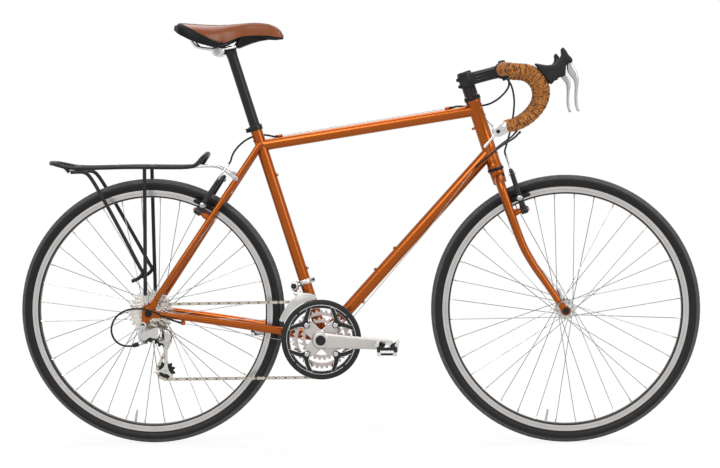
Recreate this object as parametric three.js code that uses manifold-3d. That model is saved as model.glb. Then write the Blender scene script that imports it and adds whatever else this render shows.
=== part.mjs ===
// A steel touring bicycle with drop handlebar, rear rack, triple crankset and linear-pull brakes.
// Millimetres. +X is the riding direction, -Y the drive side, +Z up. The origin lies on the ground
// under the middle of the wheelbase.
import * as THREE from "three";
import { mergeVertices } from "three/addons/utils/BufferGeometryUtils.js";
import Module from "manifold-3d";

const wasm = await Module();
wasm.setup();

// Driving dimensions of the whole bicycle
const wheelbase = 1062;
const tyreRadius = 343;
const tyreWidth = 32;
const bottomBracketDrop = 70;
const chainstayLength = 446.4;
const seatAngle = THREE.MathUtils.degToRad(72.8);
const headAngle = THREE.MathUtils.degToRad(72.2);
const forkLength = 390;
const forkOffset = 56.4;
const headTubeLength = 180;
const seatTubeLength = 572;
const gap = 0.3;
const overrun = 2;
const weld = 1e-3;

const axleHeight = tyreRadius;
const right = -1;
const left = 1;
const up = new THREE.Vector3(0, 0, 1);
const acrossBike = new THREE.Vector3(0, 1, 0);

const at = (x, y, z) => new THREE.Vector3(x, y, z);
const frontAxle = at(wheelbase / 2, 0, axleHeight);
const rearAxle = at(-wheelbase / 2, 0, axleHeight);
const bottomBracket = at(
  -wheelbase / 2 + Math.sqrt(chainstayLength ** 2 - bottomBracketDrop ** 2),
  0,
  axleHeight - bottomBracketDrop,
);

// A place given along a sloping line in the bicycle's middle plane: s along it, d square to it, y across.
function line(origin, angle) {
  const along = at(-Math.cos(angle), 0, Math.sin(angle));
  const ahead = at(Math.sin(angle), 0, Math.cos(angle));
  const place = (s, d = 0, y = 0) =>
    origin.clone().addScaledVector(along, s).addScaledVector(ahead, d).add(at(0, y, 0));
  return { place, along, ahead };
}
const steerFoot = frontAxle
  .clone()
  .addScaledVector(at(Math.sin(headAngle), 0, Math.cos(headAngle)), -forkOffset);
const steer = line(steerFoot, headAngle);
const seat = line(bottomBracket, seatAngle);

// Colours of the finishes
const paint = { color: 0x9a4a16, roughness: 0.3, metalness: 0.6 };
const black = { color: 0x1b1b1c, roughness: 0.45, metalness: 0.3 };
const silver = { color: 0xc2c2bf, roughness: 0.3, metalness: 0.9 };
const steel = { color: 0xa8a59c, roughness: 0.35, metalness: 0.9 };
const rubber = { color: 0x222224, roughness: 0.8, metalness: 0 };
const leather = { color: 0x8a4a22, roughness: 0.5, metalness: 0 };
const tapeBrown = { color: 0x8c5a2b, roughness: 0.8, metalness: 0 };

const bicycle = new THREE.Group();

// A closed geometry as a solid that can be joined and cut, turned the right way out
function solid(geometry) {
  const bare = new THREE.BufferGeometry();
  bare.setAttribute("position", geometry.getAttribute("position"));
  if (geometry.index) bare.setIndex(geometry.index);
  const merged = mergeVertices(bare, weld);
  const corners = [];
  const index = merged.index.array;
  for (let i = 0; i < index.length; i += 3) {
    const [a, b, c] = [index[i], index[i + 1], index[i + 2]];
    if (a !== b && b !== c && c !== a) corners.push(a, b, c);
  }
  const build = (list) =>
    new wasm.Manifold(
      new wasm.Mesh({
        numProp: 3,
        vertProperties: new Float32Array(merged.attributes.position.array),
        triVerts: new Uint32Array(list),
      }),
    );
  const made = build(corners);
  return made.volume() < 0 ? build(corners.slice().reverse()) : made;
}

const join = (first, ...rest) => rest.reduce((whole, piece) => whole.add(piece), first);
const cut = (first, ...rest) => rest.reduce((whole, piece) => whole.subtract(piece), first);

// Corner radius of a faceted bore whose flats clear a pin of the given radius at every turn
const boreFor = (radius, sides) => (radius + gap) / Math.cos(Math.PI / sides);

function geometryOf(piece) {
  const mesh = piece.getMesh();
  const geometry = new THREE.BufferGeometry();
  const places = new Float32Array(mesh.numVert * 3);
  for (let i = 0; i < mesh.numVert; i += 1) {
    places.set(mesh.vertProperties.subarray(i * mesh.numProp, i * mesh.numProp + 3), i * 3);
  }
  geometry.setAttribute("position", new THREE.BufferAttribute(places, 3));
  geometry.setIndex(new THREE.BufferAttribute(new Uint32Array(mesh.triVerts), 1));
  geometry.computeVertexNormals();
  return geometry;
}

function add(name, piece, finish) {
  const mesh = new THREE.Mesh(geometryOf(piece), new THREE.MeshStandardMaterial(finish));
  mesh.name = name;
  bicycle.add(mesh);
}

// A round rod or cone between two places
function rod(from, to, radiusFrom, radiusTo = radiusFrom, sides = 8) {
  const axis = to.clone().sub(from);
  const geometry = new THREE.CylinderGeometry(radiusTo, radiusFrom, axis.length(), sides);
  const turn = new THREE.Quaternion().setFromUnitVectors(acrossBike, axis.clone().normalize());
  geometry.applyQuaternion(turn);
  const middle = from.clone().lerp(to, 1 / 2);
  geometry.translate(middle.x, middle.y, middle.z);
  return solid(geometry);
}

// A round piece across the bicycle, from one y to another
const pin = (centre, yFrom, yTo, radius, sides = 8) =>
  rod(at(centre.x, yFrom, centre.z), at(centre.x, yTo, centre.z), radius, radius, sides);

// A closed profile of [radius, y] turned about a line across the bicycle
function turned(centre, profile, sides) {
  const points = profile.map(([radius, y]) => new THREE.Vector2(radius, y));
  points.push(points[0].clone());
  const geometry = new THREE.LatheGeometry(points, sides);
  geometry.translate(centre.x, 0, centre.z);
  return solid(geometry);
}

// A block with its own length, width and height directions
function block(centre, lengthAxis, heightAxis, length, width, height) {
  const widthAxis = heightAxis.clone().cross(lengthAxis);
  const geometry = new THREE.BoxGeometry(length, width, height);
  geometry.applyMatrix4(new THREE.Matrix4().makeBasis(lengthAxis, widthAxis, heightAxis));
  geometry.translate(centre.x, centre.y, centre.z);
  return solid(geometry);
}

// A flat bar between two places, wide in the middle plane and thick across the bicycle
function flat(from, to, width, thickness) {
  const axis = to.clone().sub(from);
  const ahead = axis.clone().normalize();
  const middle = from.clone().lerp(to, 1 / 2);
  const side = acrossBike.clone().cross(ahead).normalize();
  return block(middle, ahead, side, axis.length(), thickness, width);
}

// An outline in the middle plane, [x, z] pairs, as a plate from one y to another
function plate(outline, yLow, yHigh) {
  const shape = new THREE.Shape(outline.map(([x, z]) => new THREE.Vector2(x, z)));
  const geometry = new THREE.ExtrudeGeometry(shape, { depth: yHigh - yLow, bevelEnabled: false });
  geometry.applyMatrix4(
    new THREE.Matrix4().makeBasis(at(1, 0, 0), at(0, 0, 1), at(0, -1, 0)).setPosition(0, yHigh, 0),
  );
  return solid(geometry);
}

// An outline turned clockwise and moved inwards, or outwards by a negative distance
function inset(outline, distance) {
  const ring = outline.map(([x, z]) => new THREE.Vector2(x, z));
  if (!THREE.ShapeUtils.isClockWise(ring)) ring.reverse();
  const count = ring.length;
  return ring.map((point, i) => {
    const before = point.clone().sub(ring[(i + count - 1) % count]).normalize();
    const after = ring[(i + 1) % count].clone().sub(point).normalize();
    const inward = before.add(after).normalize();
    return new THREE.Vector2(point.x + distance * inward.y, point.y - distance * inward.x);
  });
}

// An outline in the middle plane as a thick plate with its edges worn off
function cushion(outline, y, halfWidth, bevel) {
  const ring = inset(outline, 0);
  const shrunk = inset(outline, bevel);
  const count = ring.length;
  const layers = [
    [shrunk, y - halfWidth],
    [ring, y - halfWidth + bevel],
    [ring, y + halfWidth - bevel],
    [shrunk, y + halfWidth],
  ];
  const places = layers.flatMap(([points, level]) => points.flatMap((p) => [p.x, level, p.y]));
  const corners = [];
  for (let i = 0; i + 1 < layers.length; i += 1) {
    for (let j = 0; j < count; j += 1) {
      const next = (j + 1) % count;
      const [a, b] = [i * count + j, i * count + next];
      corners.push(a, b, b + count, a, b + count, a + count);
    }
  }
  const top = (layers.length - 1) * count;
  for (const face of THREE.ShapeUtils.triangulateShape(shrunk, [])) {
    const turn = THREE.ShapeUtils.isClockWise(face.map((i) => shrunk[i]));
    const [a, b, c] = turn ? face : face.slice().reverse();
    corners.push(a, c, b, top + a, top + b, top + c);
  }
  const geometry = new THREE.BufferGeometry();
  geometry.setAttribute("position", new THREE.Float32BufferAttribute(places, 3));
  geometry.setIndex(corners);
  return solid(geometry);
}

// Rings of equal count joined into a closed skin
function loft(rings) {
  const count = rings[0].length;
  const places = rings.flat().flatMap((p) => [p.x, p.y, p.z]);
  const corners = [];
  for (let i = 0; i + 1 < rings.length; i += 1) {
    for (let j = 0; j < count; j += 1) {
      const next = (j + 1) % count;
      const [a, b] = [i * count + j, i * count + next];
      corners.push(a, b, b + count, a, b + count, a + count);
    }
  }
  for (let j = 1; j + 1 < count; j += 1) {
    const end = (rings.length - 1) * count;
    corners.push(0, j + 1, j, end, end + j, end + j + 1);
  }
  const geometry = new THREE.BufferGeometry();
  geometry.setAttribute("position", new THREE.Float32BufferAttribute(places, 3));
  geometry.setIndex(corners);
  return solid(geometry);
}

// A tube along a smooth route, whose section may change. sizes gives [half width across the
// bicycle, half height square to it] at a share of the way.
function sweep(route, sizes, sides, steps, smooth = true) {
  const curve = smooth ? new THREE.CatmullRomCurve3(route, false, "centripetal") : null;
  const rings = [];
  const last = smooth ? steps : route.length - 1;
  for (let i = 0; i <= last; i += 1) {
    const share = i / last;
    const place = smooth ? curve.getPointAt(share) : route[i];
    const before = route[Math.max(i - 1, 0)];
    const after = route[Math.min(i + 1, last)];
    const tangent = smooth ? curve.getTangentAt(share) : after.clone().sub(before).normalize();
    const start = Math.abs(tangent.y) > 0.9 ? at(1, 0, 0) : acrossBike;
    if (i === 0) rings.side = start.clone();
    const side = rings.side.clone().addScaledVector(tangent, -rings.side.dot(tangent)).normalize();
    rings.side = side;
    const high = tangent.clone().cross(side);
    const [wide, tall] = sizes(share);
    rings.push(
      Array.from({ length: sides }, (_, j) => {
        const angle = ((j + 1 / 2) / sides) * 2 * Math.PI;
        return place
          .clone()
          .addScaledVector(side, wide * Math.cos(angle))
          .addScaledVector(high, tall * Math.sin(angle));
      }),
    );
  }
  return loft(rings);
}
const round = (radius) => () => [radius, radius];
const lerp = THREE.MathUtils.lerp;

// A cord of plain round section along hand-chosen points
function cord(points, radius, sides, steps) {
  const route = points.map(([x, y, z]) => at(x, y, z));
  const ring = Array.from({ length: sides }, (_, j) => {
    const angle = (j / sides) * 2 * Math.PI;
    return new THREE.Vector2(radius * Math.cos(angle), radius * Math.sin(angle));
  });
  const geometry = new THREE.ExtrudeGeometry(new THREE.Shape(ring), {
    steps,
    bevelEnabled: false,
    extrudePath: new THREE.CatmullRomCurve3(route, false, "centripetal"),
  });
  return solid(geometry);
}

// Wheels: 36 spokes crossed three times, on a single-wall rim
const rim = { outer: 316, inner: 294, halfWidth: 12.2, wall: 2, channel: 303, sides: 30 };
const tyre = { bead: 317, wall: 3 };
const hub = {
  barrel: 13, flange: 24, holeCircle: 20, flangeThickness: 5.2, spoke: 1.1, stagger: 1.3, rimSpread: 3, sides: 8,
};
const skewer = { radius: 4.7, nutRadius: 9, nutLength: 7 };
const frontHub = { half: 49.4, flangeRight: -35, flangeLeft: 35 };
const rearHub = { rightEnd: -22, leftEnd: 66, flangeRight: -19, flangeLeft: 35 };
const spokeCount = 36;
const crossings = 3;

function makeTyre(name, axle) {
  const section = tyreWidth / 2;
  const middle = tyreRadius - section;
  const half = Math.acos((middle - tyre.bead) / section);
  const outside = [];
  const inside = [];
  const facets = 6;
  const innerStep = 2;
  for (let i = 0; i <= facets; i += 1) {
    const angle = lerp(Math.PI - half, half - Math.PI, i / facets);
    outside.push([middle + section * Math.cos(angle), section * Math.sin(angle)]);
    if (i % innerStep) continue;
    const wall = section - tyre.wall;
    inside.push([middle + wall * Math.cos(angle), wall * Math.sin(angle)]);
  }
  inside[0] = [tyre.bead, inside[0][1]];
  inside[inside.length - 1] = [tyre.bead, inside.at(-1)[1]];
  add(name, turned(axle, [...outside, ...inside.reverse()], rim.sides), rubber);
}

function makeRim(name, axle) {
  const { outer, inner, halfWidth, wall, channel, sides } = rim;
  const half = [
    [inner, halfWidth],
    [outer, halfWidth],
    [outer, halfWidth - wall],
    [channel, halfWidth - wall],
  ];
  const other = half.map(([radius, y]) => [radius, -y]).reverse();
  add(name, turned(axle, [...half, ...other], sides), silver);
}

function makeSpokedHub(name, axle, yRight, yLeft, flangeRight, flangeLeft) {
  const { barrel, flange, holeCircle, flangeThickness, spoke, stagger, rimSpread, sides } = hub;
  const bore = boreFor(skewer.radius, sides);
  const half = flangeThickness / 2;
  const profile = [
    [bore, yRight],
    [barrel, yRight],
    [barrel, flangeRight - half],
    [flange, flangeRight - half],
    [flange, flangeRight + half],
    [barrel, flangeRight + half],
    [barrel, flangeLeft - half],
    [flange, flangeLeft - half],
    [flange, flangeLeft + half],
    [barrel, flangeLeft + half],
    [barrel, yLeft],
    [bore, yLeft],
  ];
  let made = turned(axle, profile, sides);
  const facet = Math.PI / rim.sides;
  const firstSpoke = Math.PI / spokeCount;
  const reach = rim.inner * Math.cos(facet) - gap;
  const pitch = (4 * Math.PI) / spokeCount;
  for (const flangeY of [flangeRight, flangeLeft]) {
    const side = Math.sign(flangeY);
    const phase = firstSpoke + (side > 0 ? pitch / 2 : 0);
    for (let i = 0; i < spokeCount / 2; i += 1) {
      const lead = i % 2 ? -1 : 1;
      const hubAngle = i * pitch + phase;
      const rimAngle = hubAngle + lead * crossings * pitch;
      const from = at(
        axle.x + holeCircle * Math.sin(hubAngle),
        flangeY + lead * stagger,
        axle.z + holeCircle * Math.cos(hubAngle),
      );
      const to = at(
        axle.x + reach * Math.sin(rimAngle),
        side * rimSpread + lead * stagger,
        axle.z + reach * Math.cos(rimAngle),
      );
      made = made.add(rod(from, to, spoke, spoke, 3));
    }
  }
  add(name, made, silver);
}

for (const [end, axle] of [["front", frontAxle], ["rear", rearAxle]]) {
  makeTyre(`${end}_tyre`, axle);
  makeRim(`${end}_rim`, axle);
}
makeSpokedHub(
  "front_hub_spokes", frontAxle, -frontHub.half, frontHub.half, frontHub.flangeRight, frontHub.flangeLeft,
);
makeSpokedHub(
  "rear_hub_spokes", rearAxle, rearHub.rightEnd, rearHub.leftEnd, rearHub.flangeRight, rearHub.flangeLeft,
);

// Hollow axles with their clamping skewers, and the quick-release levers
const quickLever = { pivot: 7, pivotLength: 14, length: 52, width: 13, thickness: 5 };
const frontDropout = { inner: 50, thickness: 6 };
const rearDropout = { inner: 67.5, thickness: 5 };

function makeAxle(name, axle, dropout) {
  const outside = dropout.inner + dropout.thickness + gap;
  const body = pin(axle, -outside - skewer.nutLength, outside + skewer.nutLength, skewer.radius);
  const nuts = [right, left].map((side) =>
    pin(axle, side * outside, side * (outside + skewer.nutLength), skewer.nutRadius),
  );
  add(name, join(body, ...nuts), steel);
}

function makeQuickLever(name, axle, dropout, direction) {
  const { pivot, pivotLength, length, width, thickness } = quickLever;
  const y = dropout.inner + dropout.thickness + skewer.nutLength + 2 * gap + pivot;
  const centre = at(axle.x, y, axle.z);
  const cross = acrossBike.clone().cross(direction);
  const hinge = rod(
    centre.clone().addScaledVector(cross, -pivotLength / 2),
    centre.clone().addScaledVector(cross, pivotLength / 2),
    pivot,
  );
  const blade = flat(centre, centre.clone().addScaledVector(direction, length), width, thickness);
  add(name, join(hinge, blade), silver);
}
makeAxle("front_axle", frontAxle, frontDropout);
makeAxle("rear_axle", rearAxle, rearDropout);
makeQuickLever("front_quick_release_lever", frontAxle, frontDropout, steer.along);
const rearLeverDirection = rearAxle.clone().sub(bottomBracket).normalize();
makeQuickLever("rear_quick_release_lever", rearAxle, rearDropout, rearLeverDirection);

// Main frame tubes, mitred on each other with a hair's gap at each weld
const headTube = { outer: 18, bore: 15.6, sides: 14 };
const cup = { outer: 21.5, height: 12, lowerHeight: 8 };
const steerer = { outer: 14.3, inner: 12, sides: 12 };
const topTube = { outer: 14.3, inner: 13.2, seatEnd: 518, headEnd: 552.5, sides: 12 };
const downTube = { outer: 15.9, inner: 14.8, headEnd: 442, sides: 12 };
const seatTube = { outer: 15, bore: 14, sides: 12 };
const shell = { outer: 20, bore: 17, half: 34, sides: 16 };
const collar = { outer: 18, height: 14, lugLength: 12, lugWidth: 9, lugReach: 20 };
const boss = { radius: 3.6, height: 4 };
const stop = { radius: 3.7, length: 11, stand: 2.7 };
const pumpPeg = { radius: 3.2, length: 8, share: 0.62 };
const wireHole = 1.2;

const headBottom = forkLength + cup.lowerHeight + 2 * gap;
const headTop = headBottom + headTubeLength;
const headSpace = rod(
  steer.place(headBottom - overrun), steer.place(headTop + overrun), headTube.outer + gap,
  headTube.outer + gap, headTube.sides,
);
const seatSpace = rod(
  seat.place(-shell.outer), seat.place(seatTubeLength + overrun), seatTube.outer + gap,
  seatTube.outer + gap, seatTube.sides,
);
const shellSpace = pin(bottomBracket, -shell.half * 2, shell.half * 2, shell.outer + gap, shell.sides);

function ringAlong(from, to, outer, inner, sides) {
  const way = to.clone().sub(from).normalize();
  const bore = rod(
    from.clone().addScaledVector(way, -overrun), to.clone().addScaledVector(way, overrun), inner, inner, sides,
  );
  return cut(rod(from, to, outer, outer, sides), bore);
}

const pegPlace = headBottom + headTubeLength * pumpPeg.share;
const peg = rod(
  steer.place(pegPlace, -headTube.outer + overrun),
  steer.place(pegPlace, -headTube.outer - pumpPeg.length),
  pumpPeg.radius,
);
const head = ringAlong(
  steer.place(headBottom), steer.place(headTop), headTube.outer, headTube.bore, headTube.sides,
);
add("head_tube", join(head, peg), paint);
add(
  "headset_upper_cup",
  ringAlong(
    steer.place(headTop + gap), steer.place(headTop + gap + cup.height), cup.outer,
    boreFor(steerer.outer, steerer.sides), steerer.sides,
  ),
  black,
);
add(
  "headset_lower_cup",
  ringAlong(
    steer.place(forkLength + gap), steer.place(forkLength + gap + cup.lowerHeight), cup.outer,
    boreFor(steerer.outer, steerer.sides), steerer.sides,
  ),
  black,
);

// Cable stops stand on the tube that carries them; bosses hold the bottle cages
function standOn(tubeFrom, tubeTo, share, normal, y, tubeRadius) {
  const way = tubeTo.clone().sub(tubeFrom).normalize();
  const foot = tubeFrom.clone().lerp(tubeTo, share);
  const centre = foot
    .clone()
    .addScaledVector(normal, tubeRadius + stop.stand)
    .add(at(0, y, 0));
  return rod(
    centre.clone().addScaledVector(way, -stop.length / 2),
    centre.clone().addScaledVector(way, stop.length / 2),
    stop.radius, stop.radius, 6,
  );
}
function bossOn(foot, normal, tubeRadius) {
  return rod(
    foot.clone().addScaledVector(normal, tubeRadius - overrun),
    foot.clone().addScaledVector(normal, tubeRadius + boss.height),
    boss.radius, boss.radius, 6,
  );
}

const topFrom = seat.place(topTube.seatEnd);
const topTo = steer.place(topTube.headEnd);
const topWay = topTo.clone().sub(topFrom).normalize();
const topNormal = at(-topWay.z, 0, topWay.x);
const topStopShares = [0.095, 0.87];
const topStops = topStopShares.map((share) =>
  standOn(topFrom, topTo, share, topNormal, 0, topTube.outer),
);
const topRing = join(rod(topFrom, topTo, topTube.outer, topTube.outer, topTube.sides), ...topStops);
const topBore = rod(topFrom, topTo, topTube.inner, topTube.inner, topTube.sides);
const topWireLine = (share) =>
  topFrom.clone().lerp(topTo, share).addScaledVector(topNormal, topTube.outer + stop.stand);
const wireSpace = rod(
  topWireLine(topStopShares[0] / 3), topWireLine(3 * topStopShares[0]), wireHole, wireHole, 6,
);
add("top_tube", cut(topRing, topBore, seatSpace, headSpace, wireSpace), paint);

const downTo = steer.place(downTube.headEnd);
const downWay = downTo.clone().sub(bottomBracket).normalize();
const downNormal = at(-downWay.z, 0, downWay.x);
const downStopShare = 0.905;
const downBossShares = [0.46, 0.345];
const underBossShare = 0.215;
const downFoot = (share) => bottomBracket.clone().lerp(downTo, share);
const downStops = [right, left].map((side) =>
  standOn(bottomBracket, downTo, downStopShare, acrossBike.clone().multiplyScalar(side), 0, downTube.outer),
);
const downBosses = downBossShares.map((share) => bossOn(downFoot(share), downNormal, downTube.outer));
const underBoss = bossOn(downFoot(underBossShare), downNormal.clone().negate(), downTube.outer);
const downRing = join(
  rod(bottomBracket, downTo, downTube.outer, downTube.outer, downTube.sides),
  ...downStops, ...downBosses, underBoss,
);
const downBore = rod(bottomBracket, downTo, downTube.inner, downTube.inner, downTube.sides);
add("down_tube", cut(downRing, downBore, seatSpace, shellSpace, headSpace), paint);

const seatBossShares = [0.76, 0.32];
const seatBosses = seatBossShares.map((share) =>
  bossOn(seat.place(seatTubeLength * share), seat.ahead, seatTube.outer),
);
const seatCollar = join(
  rod(seat.place(seatTubeLength - collar.height), seat.place(seatTubeLength), collar.outer, collar.outer, 16),
  block(
    seat.place(seatTubeLength - collar.height / 2, -collar.lugReach),
    seat.ahead, seat.along, collar.lugLength, collar.lugWidth, collar.height * (3 / 4),
  ),
);
const seatRing = rod(bottomBracket, seat.place(seatTubeLength), seatTube.outer, seatTube.outer, seatTube.sides);
const seatBore = rod(
  bottomBracket, seat.place(seatTubeLength + overrun), seatTube.bore, seatTube.bore, seatTube.sides,
);
const shellRing = pin(bottomBracket, -shell.half, shell.half, shell.outer, shell.sides);
const shellBore = pin(bottomBracket, -shell.half - overrun, shell.half + overrun, shell.bore, shell.sides);
const topSpace = rod(topFrom, topTo, topTube.outer + gap, topTube.outer + gap, topTube.sides);
add("seat_tube", cut(join(seatRing, shellRing, seatCollar, ...seatBosses), seatBore, shellBore), paint);

// The sealed bearing cartridge inside the bottom bracket shell
const spindle = { radius: 8.5, half: 82, flange: 3, sides: 10 };
const cartridgeHalf = shell.half + spindle.flange;
const cartridge = pin(bottomBracket, -cartridgeHalf, cartridgeHalf, shell.bore - gap, shell.sides);
const spindleBore = boreFor(spindle.radius, spindle.sides);
const spindleSpace = pin(bottomBracket, -spindle.half, spindle.half, spindleBore, spindle.sides);
add("bottom_bracket_cartridge", cut(cartridge, spindleSpace), steel);

// Rear stays, with the plate dropouts that hold the axle
const chainStay = { tall: 11.5, wide: 8.8, tip: 7.3, sides: 8, steps: 7 };
const chainStayShares = [
  [0.03, 18],
  [0.3, 40],
  [0.76, 60],
  [0.93, 66.5],
];
const chainStayRise = 5;
const chainStayPoint = (share, y) =>
  bottomBracket.clone().lerp(rearAxle, share).add(at(0, y, 0));
const stayBridge = { radius: 5.5, share: 0.165, y: 27 };
const dropoutDisc = 17;
const dropoutPlate = { width: 24, stayReach: 34 };
const hangerOffset = { behind: 13, below: 29 };
const hanger = at(rearAxle.x - hangerOffset.behind, 0, rearAxle.z - hangerOffset.below);
const hangerRadius = 10;
const eyeletOffset = { behind: 5, above: 27 };
const eyelet = at(rearAxle.x - eyeletOffset.behind, 0, rearAxle.z + eyeletOffset.above);
const eyeletRadius = 6.5;

const seatStay = { top: 8.2, bottom: 7.2, aboveTopTube: 4, ahead: 21, above: 38, sides: 8, steps: 5 };
const seatStayTop = seat.place(topTube.seatEnd + seatStay.aboveTopTube);
const seatStayEnd = at(rearAxle.x + seatStay.ahead, 0, rearAxle.z + seatStay.above);
const seatStayShares = [
  [0, 16],
  [0.26, 28],
  [0.56, 45],
  [0.8, 61],
  [1, 69.5],
];
const seatStayPoint = (share, y) => seatStayTop.clone().lerp(seatStayEnd, share).add(at(0, y, 0));
const brakeBridge = { share: 0.31, radius: 6, y: 30 };

function dropout(side) {
  const [near, far] = [rearDropout.inner, rearDropout.inner + rearDropout.thickness];
  const [low, high] = side < 0 ? [-far, -near] : [near, far];
  const disc = pin(rearAxle, low, high, dropoutDisc, 12);
  const middle = (low + high) / 2;
  const mid = (place) => at(place.x, middle, place.z);
  const towardBracket = chainStayPoint(chainStayShares.at(-1)[0] - stayOverlapShare, 0);
  const pieces = [
    disc,
    flat(mid(rearAxle), mid(towardBracket), dropoutPlate.width * (3 / 4), rearDropout.thickness),
    flat(mid(rearAxle), mid(eyelet), eyeletRadius * 2, rearDropout.thickness),
    pin(eyelet, low, high, eyeletRadius, 8),
  ];
  if (side < 0) {
    pieces.push(flat(mid(rearAxle), mid(hanger), hangerRadius * (3 / 2), rearDropout.thickness));
    pieces.push(pin(hanger, low, high, hangerRadius, 10));
  }
  return join(...pieces);
}
const stayOverlapShare = 0.03;

function makeChainStays() {
  const sides = [right, left].map((side) => {
    const route = chainStayShares.map(([share, y]) => {
      const place = chainStayPoint(share, side * y);
      place.z += chainStayRise * Math.sin(Math.PI * share);
      return place;
    });
    const sizes = (share) => [
      lerp(chainStay.wide, chainStay.tip, share),
      lerp(chainStay.tall, chainStay.tip, share),
    ];
    return join(sweep(route, sizes, chainStay.sides, chainStay.steps), dropout(side));
  });
  const bridgeAt = chainStayPoint(stayBridge.share, 0);
  bridgeAt.z += chainStayRise * Math.sin(Math.PI * stayBridge.share);
  const bridge = pin(bridgeAt, -stayBridge.y, stayBridge.y, stayBridge.radius, 8);
  const axleSpace = pin(
    rearAxle, -2 * rearDropout.inner, 2 * rearDropout.inner, skewer.radius + gap,
  );
  add("chain_stays", cut(join(...sides, bridge), shellSpace, seatSpace, axleSpace), paint);
}
makeChainStays();

// Linear-pull brake arms turn on posts that stand square to the blades and stays
const post = { radius: 5, length: 48 };
const arm = {
  hubRadius: 9, hubFrom: 27, hubTo: 45, length: 103, width: 14, thickness: 11, y: 40, topY: 37,
};
const pad = { up: 27, length: 56, height: 11, thickness: 9, clearance: 1.5, post: 4, track: 8 };

const stayAngle = Math.atan2(seatStayTop.z - seatStayEnd.z, seatStayTop.x - seatStayEnd.x);
const rearBrakeLine = {
  along: at(Math.cos(stayAngle), 0, Math.sin(stayAngle)),
  ahead: at(-Math.sin(stayAngle), 0, Math.cos(stayAngle)),
};
const rearPostShare = 0.487;
const rearPostFoot = seatStayTop.clone().lerp(seatStayEnd, rearPostShare);
const rearBrake = (s, d, y) =>
  rearPostFoot
    .clone()
    .addScaledVector(rearBrakeLine.along, s)
    .addScaledVector(rearBrakeLine.ahead, d)
    .add(at(0, y, 0));
const frontPostHeight = 274;
const frontBrake = (s, d, y) => steer.place(frontPostHeight + s, d, y);

const brakePost = (brake, side) =>
  rod(brake(0, 0, side * arm.y), brake(0, post.length, side * arm.y), post.radius, post.radius, 8);
const brakePostSpace = (brake, side) =>
  rod(
    brake(0, -overrun, side * arm.y), brake(0, post.length + overrun, side * arm.y),
    post.radius + gap, post.radius + gap, 8,
  );

function makeSeatStays() {
  const sides = [right, left].map((side) => {
    const route = seatStayShares.map(([share, y]) => seatStayPoint(share, side * y));
    const sizes = (share) => {
      const radius = lerp(seatStay.top, seatStay.bottom, share);
      return [radius, radius];
    };
    const tube = sweep(route, sizes, seatStay.sides, seatStay.steps);
    return join(tube, brakePost(rearBrake, side));
  });
  const bridgeAt = seatStayPoint(brakeBridge.share, 0);
  const bridge = pin(bridgeAt, -brakeBridge.y, brakeBridge.y, brakeBridge.radius, 8);
  const dropoutSpace = [right, left].map((side) => {
    const [near, far] = [rearDropout.inner - gap, rearDropout.inner + rearDropout.thickness + gap];
    const [low, high] = side < 0 ? [-far, -near] : [near, far];
    return pin(rearAxle, low, high, dropoutDisc + gap, 12);
  });
  add("seat_stays", cut(join(...sides, bridge), seatSpace, topSpace, ...dropoutSpace), paint);
}
makeSeatStays();

function makeBrakeArm(name, brake, side, axle, withNoodle) {
  const y = side * arm.y;
  const middle = (arm.hubFrom + arm.hubTo) / 2;
  const hubBarrel = rod(brake(0, arm.hubFrom, y), brake(0, arm.hubTo, y), arm.hubRadius, arm.hubRadius, 10);
  const foot = brake(0, middle, y);
  const top = brake(arm.length, middle, side * arm.topY);
  const way = top.clone().sub(foot).normalize();
  const thicknessWay = brake(0, 1, 0).sub(brake(0, 0, 0));
  const beam = block(
    foot.clone().lerp(top, 1 / 2), way, thicknessWay, arm.length, arm.width, arm.thickness,
  );
  const shoeAt = brake(pad.up, middle, 0);
  const radial = shoeAt.clone().sub(axle).normalize();
  const tangent = acrossBike.clone().cross(radial);
  const trackRadius = rim.outer - pad.track;
  const shoeCentre = axle.clone().addScaledVector(radial, trackRadius);
  const inner = rim.halfWidth + pad.clearance;
  shoeCentre.y = side * (inner + pad.thickness / 2);
  const shoe = block(shoeCentre, tangent, radial, pad.length, pad.thickness, pad.height);
  const stud = pin(shoeCentre, side * (inner + pad.thickness / 2), y, pad.post, 6);
  const pieces = [hubBarrel, beam, shoe, stud];
  if (withNoodle) pieces.push(noodle(brake, side, middle));
  add(name, cut(join(...pieces), brakePostSpace(brake, side)), black);
}

// The bent guide pipe that leads the cable into one arm
const pipe = { radius: 2.6, rise: 42, bend: 14, inset: 5, lip: 3 };
function noodle(brake, side, middle) {
  const y = side * arm.topY;
  const route = [
    brake(arm.length - pipe.inset, middle, y * (2 / 3)),
    brake(arm.length - pipe.inset, middle, y),
    brake(arm.length - pipe.lip, middle, y + side * pipe.bend),
    brake(arm.length + pipe.bend, middle, y + side * pipe.bend * (3 / 2)),
    brake(arm.length + pipe.rise, middle, y + side * pipe.bend),
  ];
  return sweep(route, round(pipe.radius), 6, 6);
}
function noodleMouth(brake, side) {
  const middle = (arm.hubFrom + arm.hubTo) / 2;
  const mouth = brake(arm.length + pipe.rise, middle, side * (arm.topY + pipe.bend));
  const before = brake(arm.length + pipe.bend, middle, side * (arm.topY + pipe.bend * (3 / 2)));
  const way = mouth.clone().sub(before).normalize();
  return { beyond: (distance) => mouth.clone().addScaledVector(way, distance) };
}
makeBrakeArm("front_brake_arm_right", frontBrake, right, frontAxle, false);
makeBrakeArm("front_brake_arm_left", frontBrake, left, frontAxle, true);
makeBrakeArm("rear_brake_arm_right", rearBrake, right, rearAxle, true);
makeBrakeArm("rear_brake_arm_left", rearBrake, left, rearAxle, false);

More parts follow.
